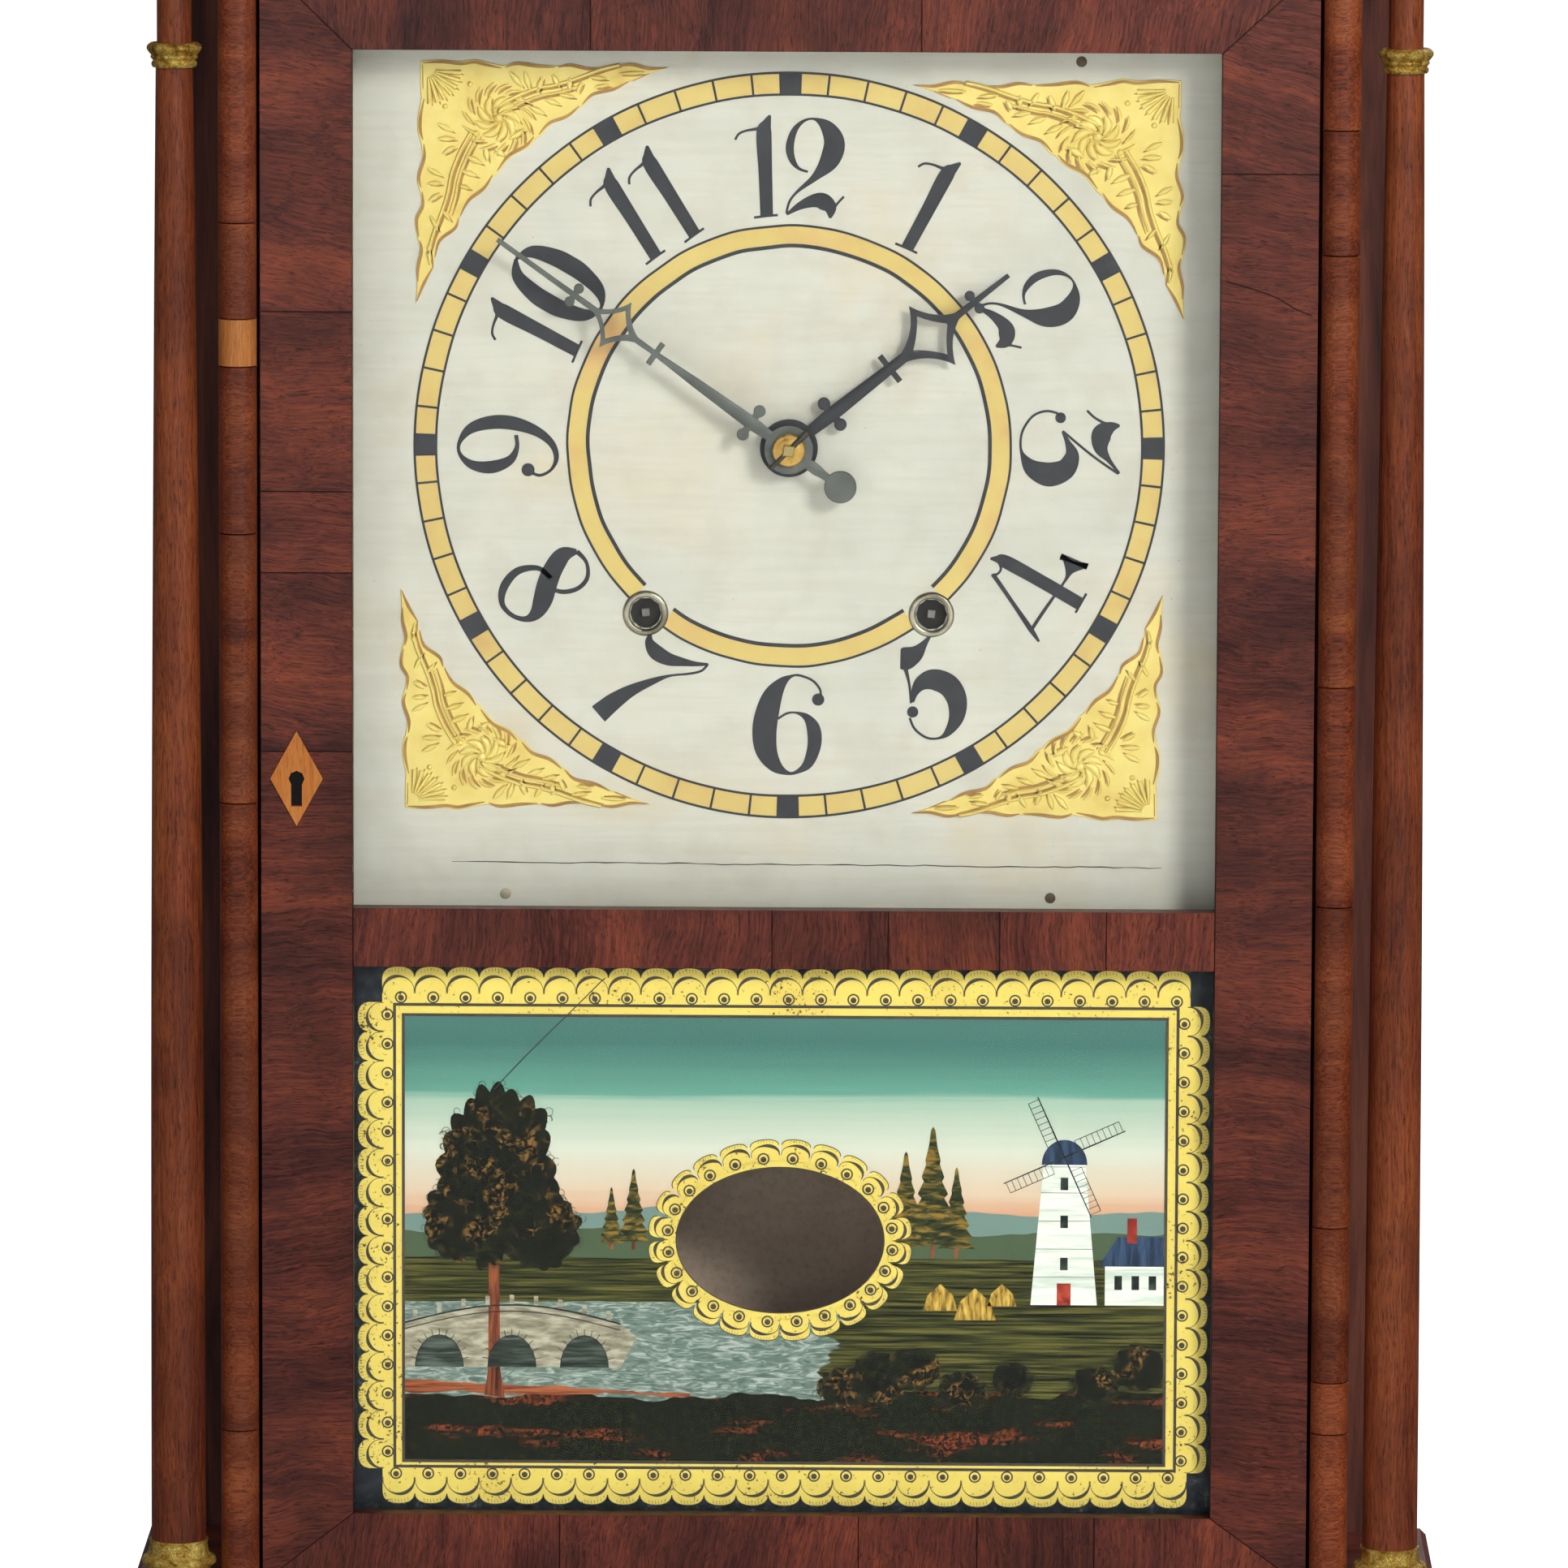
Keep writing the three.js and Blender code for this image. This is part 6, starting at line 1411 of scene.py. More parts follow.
HOUR_HAND = {
    "angle": math.radians(51.4),
    "hub": (3.7, 9.1),
    # Bars of changing width: reach and width
    "stems": [[(17.3, 4.5), (40, 3.4), (47, 3.1)], [(66.6, 2.3), (74.2, 1.9), (87.8, 1.4)]],
    "root": 3.4,
    # The pierced diamond: its widest place, and half its width and reach at three points, outside and inside
    "side": 57.3,
    "diamond": [(1.55, 46.0), (11.8, 57.3), (1.1, 67.2)],
    "hole": [(0.1, 49.8), (7.7, 57.3), (0.1, 63.4)],
    # Pairs of dots: reach, radius and how far aside they are
    "dots": [(17.3, 1.95, 4.2), (74.2, 1.6, 2.5)],
    # The bar across: reach, width and height
    "bar": (40.4, 10.2, 1.8),
}
MINUTE_HAND = {
    "angle": math.radians(305.7),
    "hub": (2.1, 7.65),
    "stems": [[(14.5, 4.3), (34, 3.2), (47, 2.0), (52, 1.6), (60, 1.9)],
              [(74, 1.9), (82.9, 1.7), (112.6, 1.5)]],
    "root": 3.0,
    "side": 67.0,
    "diamond": [(0.95, 59.0), (8.7, 67.0), (0.9, 74.6)],
    "hole": [(0.1, 61.9), (5.5, 67.0), (0.1, 72.6)],
    "dots": [(14.5, 1.9, 4.5), (82.9, 1.6, 2.5)],
    "bar": (51.5, 8.0, 1.8),
}
MINUTE_TAIL = [(-6.4, 2.8), (-8.4, 3.5), (-11, 3.5), (-13.4, 2.6), (-15.2, 2.4), (-17, 3.2)]
TAIL_DISC_REACH, TAIL_DISC_RADIUS = -20, 5.1


def bent_line(start, end, centre, bow, steps=10):
    """A line from start to end that bends in towards the centre"""
    start, end, centre = Vector(start), Vector(end), Vector(centre)
    middle = (start + end) / 2
    control = middle + (centre - middle) * bow
    line = []
    for step in range(steps + 1):
        share = step / steps
        line.append(tuple(start * (1 - share) ** 2 + control * (2 * share * (1 - share)) + end * share ** 2))
    return line


def diamond(hand, right, bow):
    """Four hollow sides through three points on the right and their mirror images"""
    left = [(-x, z) for x, z in reversed(right)]
    line = []
    for start, end in (right[:2], right[1:], left[:2], left[1:]):
        start, end = ([value * MM for value in point] for point in (start, end))
        line += bent_line(start, end, (0, hand["side"] * MM), bow)
    return placed(line, hand_centre, 1.0, hand["angle"])


def open_diamond(shape, hand, faces):
    """The pierced diamond of a hand, with sharp corners at its sides"""
    outer_bow, inner_bow = 0.36, 0.16
    shape.band(zip(diamond(hand, hand["diamond"], outer_bow), diamond(hand, hand["hole"], inner_bow)), *faces)


def stem(shape, line, faces, angle):
    """A flat bar of changing width along a hand, from (reach, width) pairs"""
    front, back = faces
    thick = back - front
    section = [(-0.5, 0), (-0.5, thick * 0.8), (-0.42, thick), (0.42, thick), (0.5, thick * 0.8), (0.5, 0)]
    shape.stroke(placed([(0, reach, width) for reach, width in line], hand_centre, MM, angle), section, back,
                 smooth=False)


def disc(shape, centre, radius, front, back):
    """A round plate with a soft rim"""
    soft = min(radius, back - front) * 0.2
    profile = [(0, back), (radius, back), (radius, front + soft), (radius - soft, front), (0, front)]
    shape.spindle(profile, *centre, 40)


def cross_bar(shape, angle, reach, width, height, faces):
    front, back = faces
    corners = rectangle(-width / 2, width / 2, reach - height / 2, reach + height / 2)
    shape.prism(placed(corners, hand_centre, MM, angle), front, back, (back - front) * 0.15)


def paired_dots(shape, angle, reach, radius, aside, faces):
    """Two round plates beside the stem, each joined to it by a short neck"""
    proud = 0.02 * MM
    front, back = faces
    cross_bar(shape, angle, reach, 2 * aside, radius * 1.2, faces)
    for sign in (-1, 1):
        centre = placed_point(sign * aside, reach, hand_centre, MM, angle)
        disc(shape, centre, radius * MM, front - proud, back)


def make_hand(hand, node):
    """All of a hand but the minute hand's tail"""
    above, below = 0.03 * MM, 0.06 * MM
    front, back = (corner.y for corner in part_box(node))
    angle = hand["angle"]
    bore, hub = (radius * MM for radius in hand["hub"])
    first, second = hand["stems"]
    shape = Shape()
    stem(shape, [(hand["hub"][1] * 0.8, hand["root"]), *first], (front + above, back), angle)
    stem(shape, second, (front + above, back), angle)
    open_diamond(shape, hand, (front, back))
    shape.sector(hand_centre, (bore, hub), (0, TURN), front, back, 48)
    for dots in hand["dots"]:
        paired_dots(shape, angle, *dots, (front + below, back))
    cross_bar(shape, angle, *hand["bar"], (front + below, back))
    if hand is MINUTE_HAND:
        stem(shape, MINUTE_TAIL, (front + above, back), angle)
        centre = placed_point(0, TAIL_DISC_REACH, hand_centre, MM, angle)
        disc(shape, centre, TAIL_DISC_RADIUS * MM, front, back)
    return shape


def make_hands():
    """The cut-out steel hands, their collet and the taper pin"""
    steel = metal("blackened_steel", (48, 51, 54), (34, 36, 38), 0.5, metallic=0.2, pits=0.5)
    grey = metal("greyed_steel", (92, 97, 90), (66, 71, 65), 0.5, metallic=0.2, pits=0.5)
    hour, minute = make_hand(HOUR_HAND, "hour_hand"), make_hand(MINUTE_HAND, "minute_hand")
    hour.build("hour_hand_steel", steel, "hour_work", "blued_steel", ("hour_hand",))
    minute.build("minute_hand_steel", grey, "minute_work", "blued_steel", ("minute_hand",))
    make_collet()


def taper_pin(y):
    """The steel pin through the arbor, lying aslant in the dial's plane"""
    reach, sides, aslant = 8.4 * MM, 12, math.sqrt(0.5)
    rings = []
    for share, radius in ((-1, 0.5), (-0.96, 0.6), (0, 0.8), (0.96, 1.0), (1, 0.85)):
        along = reach * share * aslant
        ring = []
        for step in range(sides):
            angle = step * TURN / sides
            side, out = radius * MM * math.cos(angle) * aslant, radius * MM * math.sin(angle)
            ring.append((hand_centre[0] + along - side, y + out, hand_centre[1] + along + side))
        rings.append(ring)
    pin = Shape()
    pin.tube(rings)
    return pin


def make_collet():
    """The domed brass collet on the minute arbor, the arbor's square end, and a steel taper pin"""
    radius, height, bore = 5.15 * MM, 2.35 * MM, 1.9 * MM
    tip_half, tip_proud, tip_chamfer, tip_turn = 1.75 * MM, 0.25 * MM, 0.3 * MM, math.radians(8)
    pin_depth = 0.75 * MM
    dome_shares = [(1, 0), (1, 0.62), (0.94, 0.8), (0.86, 0.86), (0.8, 0.83), (0.74, 0.88), (0.62, 0.98),
                   (0.5, 1), (0.42, 0.96), (0.36, 1)]
    brass = metal("old_brass", (200, 164, 82), (132, 98, 42), 0.28, metallic=0.6)
    dull = metal("dull_brass", (176, 160, 104), (112, 96, 56), 0.4, metallic=0.6)
    dark = metal("dark_pin_steel", (74, 70, 60), (44, 42, 36), 0.5, metallic=0.3)
    back, arbor_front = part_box("minute_hand")[0].y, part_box("minute_arbor")[0].y
    dome, tip = Shape(), Shape()
    domed = [(radius * across, back - height * up) for across, up in dome_shares]
    dome.spindle([(bore, back), *domed], *hand_centre)
    dome.build("hand_collet", brass, "minute_work", "works_brass")
    corners = placed(square(tip_half), hand_centre, 1.0, tip_turn)
    tip.prism(corners, arbor_front - tip_proud, back - height / 2, tip_chamfer)
    tip.build("arbor_tip", dull, "minute_work", "works_brass")
    taper_pin(arbor_front + pin_depth).build("taper_pin", dark, "minute_work", "bright_steel")


# Tablet: a picture painted on the back of the lower pane, inside a scalloped gold border. All its layers
# lie behind the glass, and those with a higher number lie deeper.

PAINT_LAYER = 0.02 * MM
PAINT_DEPTH = 0.09 * MM
HAIRLINE = 0.16 * MM


def layer_faces(layer):
    front = tablet_glass_back + (layer + 1) * PAINT_LAYER
    return front, front + PAINT_DEPTH


# Oil paints of the landscape's pieces: name, dark, middle and light tone, and the scales of their streaks
EVEN = (260, 260, 260)
OIL_PAINTS = {
    "footpath": ("path_paint", (96, 46, 26), (150, 84, 52), (176, 110, 68), (40, 40, 900)),
    "bridge_stone": ("stone_paint", (120, 116, 96), (152, 148, 124), (184, 180, 156), (120, 120, 500)),
    "bridge_arches": ("arch_paint", (30, 36, 32), (52, 62, 54), (88, 100, 90), (60, 60, 600)),
    "bridge_lines": ("line_paint", (24, 28, 26), (38, 44, 40), (56, 62, 56), EVEN),
    "mill_walls": ("wall_paint", (196, 210, 194), (222, 230, 214), (238, 240, 228), (40, 40, 400)),
    "mill_roofs": ("roof_paint", (34, 46, 64), (44, 62, 86), (62, 84, 108), (400, 400, 60)),
    "mill_lines": ("sail_paint", (24, 30, 28), (36, 46, 40), (60, 74, 62), EVEN),
    "mill_door": ("brick_paint", (110, 34, 26), (146, 50, 36), (176, 76, 52), EVEN),
    "haycocks": ("straw_paint", (96, 76, 30), (168, 136, 56), (206, 176, 84), (700, 700, 160)),
    "leaf_curls": ("curl_paint", (24, 28, 18), (38, 42, 26), (60, 62, 34), EVEN),
    "trunks": ("trunk_paint", (60, 32, 20), (110, 58, 36), (144, 84, 50), (500, 500, 50)),
    "firs": ("fir_paint", (26, 34, 22), (56, 62, 30), (140, 112, 44), (200, 200, 700)),
}


class Painting(Shape):
    """A shape of flat paint on the back of the tablet's glass"""

    def patch_of(self, outline, layer):
        self.prism(outline, *layer_faces(layer))

    def line(self, points, layer, closed=False, steps=0):
        """A brushed line through (x, z, width) points"""
        points = curve_through(points, steps, closed) if steps else points
        self.stroke(points, flat_section(PAINT_DEPTH), layer_faces(layer)[1], closed, smooth=False)

    def frame(self, outer, inner, layer):
        """A flat frame between two upright rectangles, each (left, right, bottom, top)"""
        far, near = rectangle(*outer), rectangle(*inner)
        for first, second in ((0, 1), (3, 2)):
            self.patch_of([far[first], far[second], near[second], near[first]], layer)
        for first, second in ((0, 3), (1, 2)):
            self.patch_of([far[first], near[first], near[second], far[second]], layer)

    def finish(self, name, material=None):
        """One piece of the tablet. Without a material of its own it is painted in oil."""
        self.build(name, material or oil_paint(*OIL_PAINTS[name]), "door", "painted_glass")


def circle(x, z, radius, steps):
    return [polar((x, z), radius, TURN * step / steps) for step in range(steps)]


def matt(s, colour):
    """Paint behind glass, which hardly shines by itself"""
    s.set(Base_Color=colour, Specular_IOR_Level=0.1)
    return s.material


def tablet_gold():
    """Gold leaf seen through glass: flat and bright, worn brown in spots along the left and the top"""
    worn_width, stained_width = 22 * MM, 4 * MM
    s = Surface("tablet_gold", 0.5)
    x, _, z = s.axes()
    fine = s.mottle(900, 4, 0.65)
    patch = s.mottle(45, 4, 0.6)
    near_left = s.span(x, tablet_low.x, tablet_low.x + worn_width, 0.09, 0.0)
    leaf_pattern = s.maths("ADD", s.maths("ADD", fine, s.maths("MULTIPLY", patch, 0.35)), near_left)
    worn = s.span(leaf_pattern, 0.8, 0.86)
    toned = s.mix(s.span(patch, 0.35, 0.7), (226, 208, 104), (214, 192, 92))
    stain = s.span(s.mottle(70, 3, 0.5), 0.62, 0.72, 0, 0.7)
    top = s.span(z, border_outer[3] - stained_width, border_outer[3], 0, 1)
    toned = s.mix(s.maths("MULTIPLY", stain, top), toned, (158, 96, 24))
    return matt(s, s.mix(worn, toned, (70, 60, 34)))


def dark_ground():
    """The mottled dark paint behind the border's scallops"""
    s = Surface("tablet_dark_ground", 0.5)
    mottle = s.mottle(380, 5, 0.7)
    return matt(s, s.ramp(mottle, [(0.4, (22, 26, 30)), (0.6, (44, 50, 54)), (0.72, (92, 98, 100))]))


def oil_paint(name, dark, middle, light, scales):
    """Brushed oil paint of three tones, streaked along the smaller scales"""
    s = Surface(name, 0.5)
    return matt(s, s.ramp(s.streaks(scales, 5, 0.62, 0.3), [(0.37, dark), (0.5, middle), (0.63, light)]))


def landscape_paint():
    """Sky, far hills, meadow and lake as bands of brushed colour"""
    brush_shake, shore, shore_swing, shore_edge = 6 * MM, 16 * MM, 16 * MM, 1 * MM
    s = Surface("landscape_paint", 0.5)
    x, _, z = s.axes()
    brush = s.streaks((9, 9, 420), 4, 0.6)
    bottom, top = picture[2:]
    shaken = s.maths("ADD", z, s.maths("MULTIPLY", s.maths("SUBTRACT", brush, 0.5), brush_shake))
    sky = s.ramp(s.span(shaken, bottom, top),
                 [(0.46, (192, 124, 88)), (0.55, (202, 148, 112)), (0.61, (212, 192, 162)),
                  (0.7, (206, 212, 192)), (0.81, (158, 186, 164)), (0.83, (96, 152, 134)),
                  (0.9, (78, 126, 112)), (0.94, (68, 112, 102)), (1.0, (74, 116, 106))])
    streaks = s.streaks((30, 30, 1100), 4, 0.6, 0.5)
    meadow = s.ramp(streaks, [(0.38, (20, 22, 12)), (0.5, (56, 60, 28)), (0.66, (104, 100, 46))])
    waves = s.streaks((150, 150, 620), 4, 0.55, 1.6)
    water = s.ramp(waves, [(0.36, (84, 104, 94)), (0.5, (112, 130, 118)), (0.66, (170, 182, 170))])

    def below(height_share, swing_share, scale, seed):
        """Whether a place lies under a wavy line at this share of the picture's height"""
        swing = s.noise(s.spread(s.place, (scale, 0, 0), (seed, 0, 0)), 1, 3, 0.55)
        level = s.maths("MULTIPLY_ADD", swing, swing_share)
        level.node.inputs[2].default_value = height_share - swing_share / 2
        return s.maths("LESS_THAN", s.span(z, bottom, top), level)

    colour = s.mix(below(0.56, 0.1, 14, 2.0), sky, (112, 138, 128))
    colour = s.mix(below(0.52, 0.07, 24, 5.0), colour, (74, 92, 66))
    colour = s.mix(below(0.46, 0.02, 30, 8.0), colour, meadow)
    bank = s.streaks((8, 0, 60), 4, 0.6)
    shore_line = s.maths("ADD", x, s.span(bank, 0.3, 0.7, -shore_swing, shore_swing))
    lake_level = below(0.36, 0.012, 40, 11.0)
    lake = s.maths("MULTIPLY", lake_level, s.span(shore_line, shore, shore + shore_edge, 1, 0))
    return matt(s, s.mix(lake, colour, water))


def make_tablet():
    """The lower pane with all that is painted on its back"""
    glass_chamfer = 0.2 * MM
    glass = Shape()
    outline = rectangle(tablet_low.x, tablet_high.x, tablet_low.z, tablet_high.z)
    glass.prism(outline, tablet_low.y, tablet_glass_back, glass_chamfer)
    glass.build("tablet_glass", window_glass(), "door", "clear_glass", ("painted_tablet",))
    make_border()
    make_landscape()


def shrunk(edges, distance):
    left, right, bottom, top = edges
    return (left + distance, right - distance, bottom + distance, top - distance)


def make_border():
    """Gold scallops with inked rims, shells and small eyes, and two ruled lines inside them"""
    across_count, up_count, corner_reach = 25, 16, 3.2 * MM
    band_inset, edge_width, ground_inset = 0.9 * MM, 0.35 * MM, 1.2 * MM
    outer_line, inner_line = (0.2 * MM, 1.15 * MM), (-0.35 * MM, 0.6 * MM)
    gold, ink, ground = Painting(), Painting(), Painting()
    left, right, bottom, top = border_inner
    far_left, far_right = left - corner_reach, right + corner_reach
    rows = [
        ((far_left, top), (far_right, top), (0, 1), across_count, border_outer[3] - top),
        ((far_right, bottom), (far_left, bottom), (0, -1), across_count, bottom - border_outer[2]),
        ((left, bottom), (left, top), (-1, 0), up_count, left - border_outer[0]),
        ((right, top), (right, bottom), (1, 0), up_count, border_outer[1] - right),
    ]
    for first, last, out, count, depth in rows:
        for index in range(count):
            start, end = (on_line(first, last, place / count) for place in (index, index + 1))
            scallop(gold, ink, start, end, out, depth)
    gold.frame(shrunk(border_inner, band_inset), picture, 1)
    gold.frame(border_inner, shrunk(border_inner, edge_width), 1)
    for edges, (line_from, line_to) in ((border_inner, outer_line), (picture, inner_line)):
        ink.frame(shrunk(edges, line_from), shrunk(edges, line_to), 0)
    make_oval(gold, ink)
    gold.finish("tablet_border_gold", tablet_gold())
    ink.finish("tablet_border_ink", brushed_paint("tablet_ink", (40, 36, 26), (64, 54, 34), 0.5))
    edge = (tablet_low.x, tablet_high.x, tablet_low.z, tablet_high.z)
    ground.frame(edge, shrunk(border_inner, ground_inset), 8)
    ground.finish("tablet_ground", dark_ground())


RIM_SHARES = [(-0.5, 0.72), (-0.46, 0.84), (-0.34, 0.94), (-0.17, 0.99), (0, 1.0), (0.17, 0.99), (0.34, 0.94),
              (0.46, 0.84), (0.5, 0.72)]


def scallop(gold, ink, start, end, out, depth):
    """One lobe of the border, from its inked rim to the small eye at its foot"""
    rim_line, tick_end, eye_line = 0.26 * MM, 0.1 * MM, 0.5 * MM
    eye_radius, pupil_radius, pupil_drop = 1.7 * MM, 0.95 * MM, 0.2 * MM
    shell_steps = 10
    along = Vector((end[0] - start[0], end[1] - start[1]))
    pitch = along.length
    along.normalize()
    outward = Vector(out)
    foot = (Vector(start) + Vector(end)) / 2

    def at(across, up):
        point = foot + along * (across * pitch) + outward * (up * depth)
        return (point.x, point.y)

    gold.patch_of([at(-0.5, 0), *(at(*share) for share in RIM_SHARES), at(0.5, 0)], 1)
    ink.line([(*at(across, up - 0.015), rim_line) for across, up in RIM_SHARES], 0, steps=2)
    shell = []
    for step in range(shell_steps + 1):
        angle = math.pi * (1.06 - 1.12 * step / shell_steps)
        width = (0.2 + 0.95 * math.exp(-((step - 3.6) / 2.2) ** 2)) * MM
        shell.append((*at(0.49 * math.cos(angle), 0.32 + 0.4 * math.sin(angle)), width))
    ink.line(shell, 0, steps=2)
    for tick in (-0.3, -0.2, -0.1, 0.0, 0.1, 0.2):
        high = 0.95 - 0.6 * tick * tick
        ink.line([(*at(tick, high), HAIRLINE), (*at(tick + 0.015, high - 0.09), tick_end)], 0)
    eye = at(0.08, 0.14)
    ink.line([(*point, eye_line) for point in circle(*eye, eye_radius, 14)], 0, closed=True)
    ink.patch_of(circle(eye[0], eye[1] - pupil_drop, pupil_radius, 12), 0)


def on_oval(angle, grow=0.0):
    wide, tall = (half + grow for half in oval_size)
    return (oval_centre[0] + wide * math.cos(angle), oval_centre[1] + tall * math.sin(angle))


def make_oval(gold, ink):
    """The clear oval's scalloped gold ring"""
    count, steps = 24, 96
    band, depth, line_grow, line_width = 2.2 * MM, 7.2 * MM, 0.1 * MM, 0.3 * MM
    angles = [TURN * step / steps for step in range(steps)]
    gold.band([(on_oval(angle), on_oval(angle, band)) for angle in angles], *layer_faces(1))
    for index in range(count):
        start, end = on_oval(TURN * index / count, band), on_oval(TURN * (index + 1) / count, band)
        along = Vector((end[0] - start[0], end[1] - start[1])).normalized()
        scallop(gold, ink, start, end, (along.y, -along.x), depth)
    ink.line([(*on_oval(angle, line_grow), line_width) for angle in angles], 0, closed=True)


def picture_edge(angle):
    """Where a line from the oval's centre meets the picture's edge"""
    least_share = 0.0001
    across, up = math.cos(angle), math.sin(angle)
    left, right, bottom, top = picture
    reaches = []
    if abs(across) > least_share:
        reaches.append(((right if across > 0 else left) - oval_centre[0]) / across)
    if abs(up) > least_share:
        reaches.append(((top if up > 0 else bottom) - oval_centre[1]) / up)
    return polar(oval_centre, min(reaches), angle)


def make_landscape():
    """A made-up view in the photo's colours: a lake, a bridge, a tower mill, firs, haycocks and a tree"""
    steps, overlap, crack_width = 180, 0.6 * MM, 0.36 * MM
    crack_points = [(-57.6, 289.5), (-66, 281), (-80, 267), (-89, 257.5), (-92, 254)]
    corners = {math.atan2(z - oval_centre[1], x - oval_centre[0]) for x, z in rectangle(*picture)}
    angles = sorted({step * TURN / steps - math.pi for step in range(steps)} | corners)
    ground = Painting()
    ground.band([(on_oval(angle, overlap), picture_edge(angle)) for angle in angles], *layer_faces(9))
    ground.finish("landscape", landscape_paint())
    make_foreground()
    make_footpath()
    make_bridge()
    make_mill()
    make_trees()
    crack = Painting()
    crack.line([(x * MM, z * MM, crack_width) for x, z in crack_points], -0.6, steps=4)
    crack.finish("tablet_crack", brushed_paint("crack_shadow", (24, 38, 34), (36, 52, 46), 0.6))


def wavy(start, end, swing, seed, count):
    """A ragged line from one point to the other"""
    waves = 7
    points = []
    for step in range(count + 1):
        share = step / count
        x, z = on_line(start, end, share)
        points.append((x, z + noise.fractal(Vector((share * waves + seed, seed, 0)), 0.6, 2.0, 4) * swing))
    return points


def make_foreground():
    """Dark bushes along the picture's lower edge"""
    left_rise, right_rise, swing = 20 * MM, 24 * MM, 4 * MM
    left, right, bottom, _ = picture
    bushes = Painting()
    hedge = wavy((left, bottom + left_rise), (right, bottom + right_rise), swing, 3.1, 90)
    bushes.patch_of([(left, bottom), *hedge, (right, bottom)], 5)
    s = Surface("foreground_paint", 0.5)
    leafy = s.mottle(700, 5, 0.7, 0.8)
    colour = s.ramp(leafy, [(0.44, (14, 17, 11)), (0.58, (30, 35, 18)), (0.74, (66, 70, 32))])
    rust = s.streaks((30, 30, 150), 4, 0.6)
    lit = s.maths("MULTIPLY", s.span(rust, 0.55, 0.62), s.span(leafy, 0.45, 0.6))
    bushes.finish("foreground", matt(s, s.mix(lit, colour, (132, 62, 30))))


def make_footpath():
    """A strip of bare earth from the left edge, below the bridge"""
    left, right, swing = picture[0], -30 * MM, 0.8 * MM
    upper_left, upper_right, lower_left, lower_right = 161 * MM, 156.5 * MM, 157 * MM, 156 * MM
    path = Painting()
    path.patch_of([*wavy((left, upper_left), (right, upper_right), swing, 7.7, 30),
                   *reversed(wavy((left, lower_left), (right, lower_right), swing, 9.2, 30))], 4)
    path.finish("footpath")


def make_arch(shade, lines, middle, foot):
    """One dark arch with its rim and the joints between its stones"""
    half, tall_share, steps = 7.6 * MM, 1.35, 12
    rim_width, joint_width, joint_length = 0.3 * MM, 0.22 * MM, 2.0 * MM
    angles = [math.pi * step / steps for step in range(steps + 1)]
    curve = [(middle + half * math.cos(angle), foot + tall_share * half * math.sin(angle))
             for angle in angles]
    shade.patch_of(curve, 3)
    lines.line([(x, z, rim_width) for x, z in curve], 2)
    for x, z in curve[1:-1]:
        outward = Vector((x - middle, (z - foot) / tall_share)).normalized() * joint_length
        lines.line([(x, z, joint_width), (x + outward.x, z + outward.y, joint_width)], 2)


def make_bridge():
    """Three low stone arches over the narrow end of the lake"""
    arches, posts, steps = 3, 9, 12
    left_end, right_end, foot, crown_height = picture[0], -52 * MM, 165 * MM, 184 * MM
    deck_drop, deck_rise, corner_aside, corner_drop = 5 * MM, 6 * MM, 5 * MM, 9 * MM
    post_half, post_height = 0.7 * MM, 3.2 * MM
    top_line, lower_line = (0.0, 0.5 * MM), (-2.0 * MM, 0.3 * MM)
    stone, shade, lines = Painting(), Painting(), Painting()

    def on_deck(share):
        return (right_end + (left_end - right_end) * share,
                crown_height - deck_drop + deck_rise * math.sin(math.pi * share))

    deck = [on_deck(step / steps) for step in range(steps + 1)]
    corner = (right_end + corner_aside, crown_height - corner_drop)
    stone.patch_of([(left_end, foot), (right_end, foot), corner, *deck], 4)
    for arch in range(arches):
        make_arch(shade, lines, left_end + (right_end - left_end) * (arch + 0.5) / arches, foot)
    for rise, width in (top_line, lower_line):
        lines.line([(x, z + rise, width) for x, z in deck], 2)
    for post in range(posts):
        x, z = on_deck((post + 0.5) / posts)
        stone.patch_of(rectangle(x - post_half, x + post_half, z, z + post_height), 3)
    stone.finish("bridge_stone")
    shade.finish("bridge_arches")
    lines.finish("bridge_lines")


MILL_X, MILL_FOOT, MILL_HEAD = 88 * MM, 186 * MM, 231 * MM
# Haycocks: place, foot and half width in millimetres, and their outline as shares of that
HAYCOCKS = [(49, 184, 5.5), (60, 181, 6.6), (68.5, 185.5, 4.6)]
HAYCOCK_SHARES = [(-1, 0), (1, 0), (0.72, 0.9), (0, 1.55), (-0.72, 0.9)]


def make_sails(lines, hub):
    """Four sails: a spar, an outer rail and nine rungs each"""
    rungs, first, pitch, aside, turn = 9, 5, 1.9, 3.6 * MM, math.radians(24)
    spar, spar_width, spar_tip, rail_width = 21 * MM, 0.5 * MM, 0.3 * MM, 0.2 * MM
    for arm in range(4):
        angle = turn + arm * QUARTER
        along = Vector((math.cos(angle), math.sin(angle)))
        across = Vector((-along.y, along.x)) * aside
        lines.line([(*hub, spar_width), (*(hub + along * spar), spar_tip)], 1.6)
        for rung in range(rungs):
            near = hub + along * (first + rung * pitch) * MM
            lines.line([(*near, HAIRLINE), (*(near + across), HAIRLINE)], 1.6)
        rail = [hub + along * reach * MM + across for reach in (first, first + (rungs - 1) * pitch)]
        lines.line([(*point, rail_width) for point in rail], 1.6)


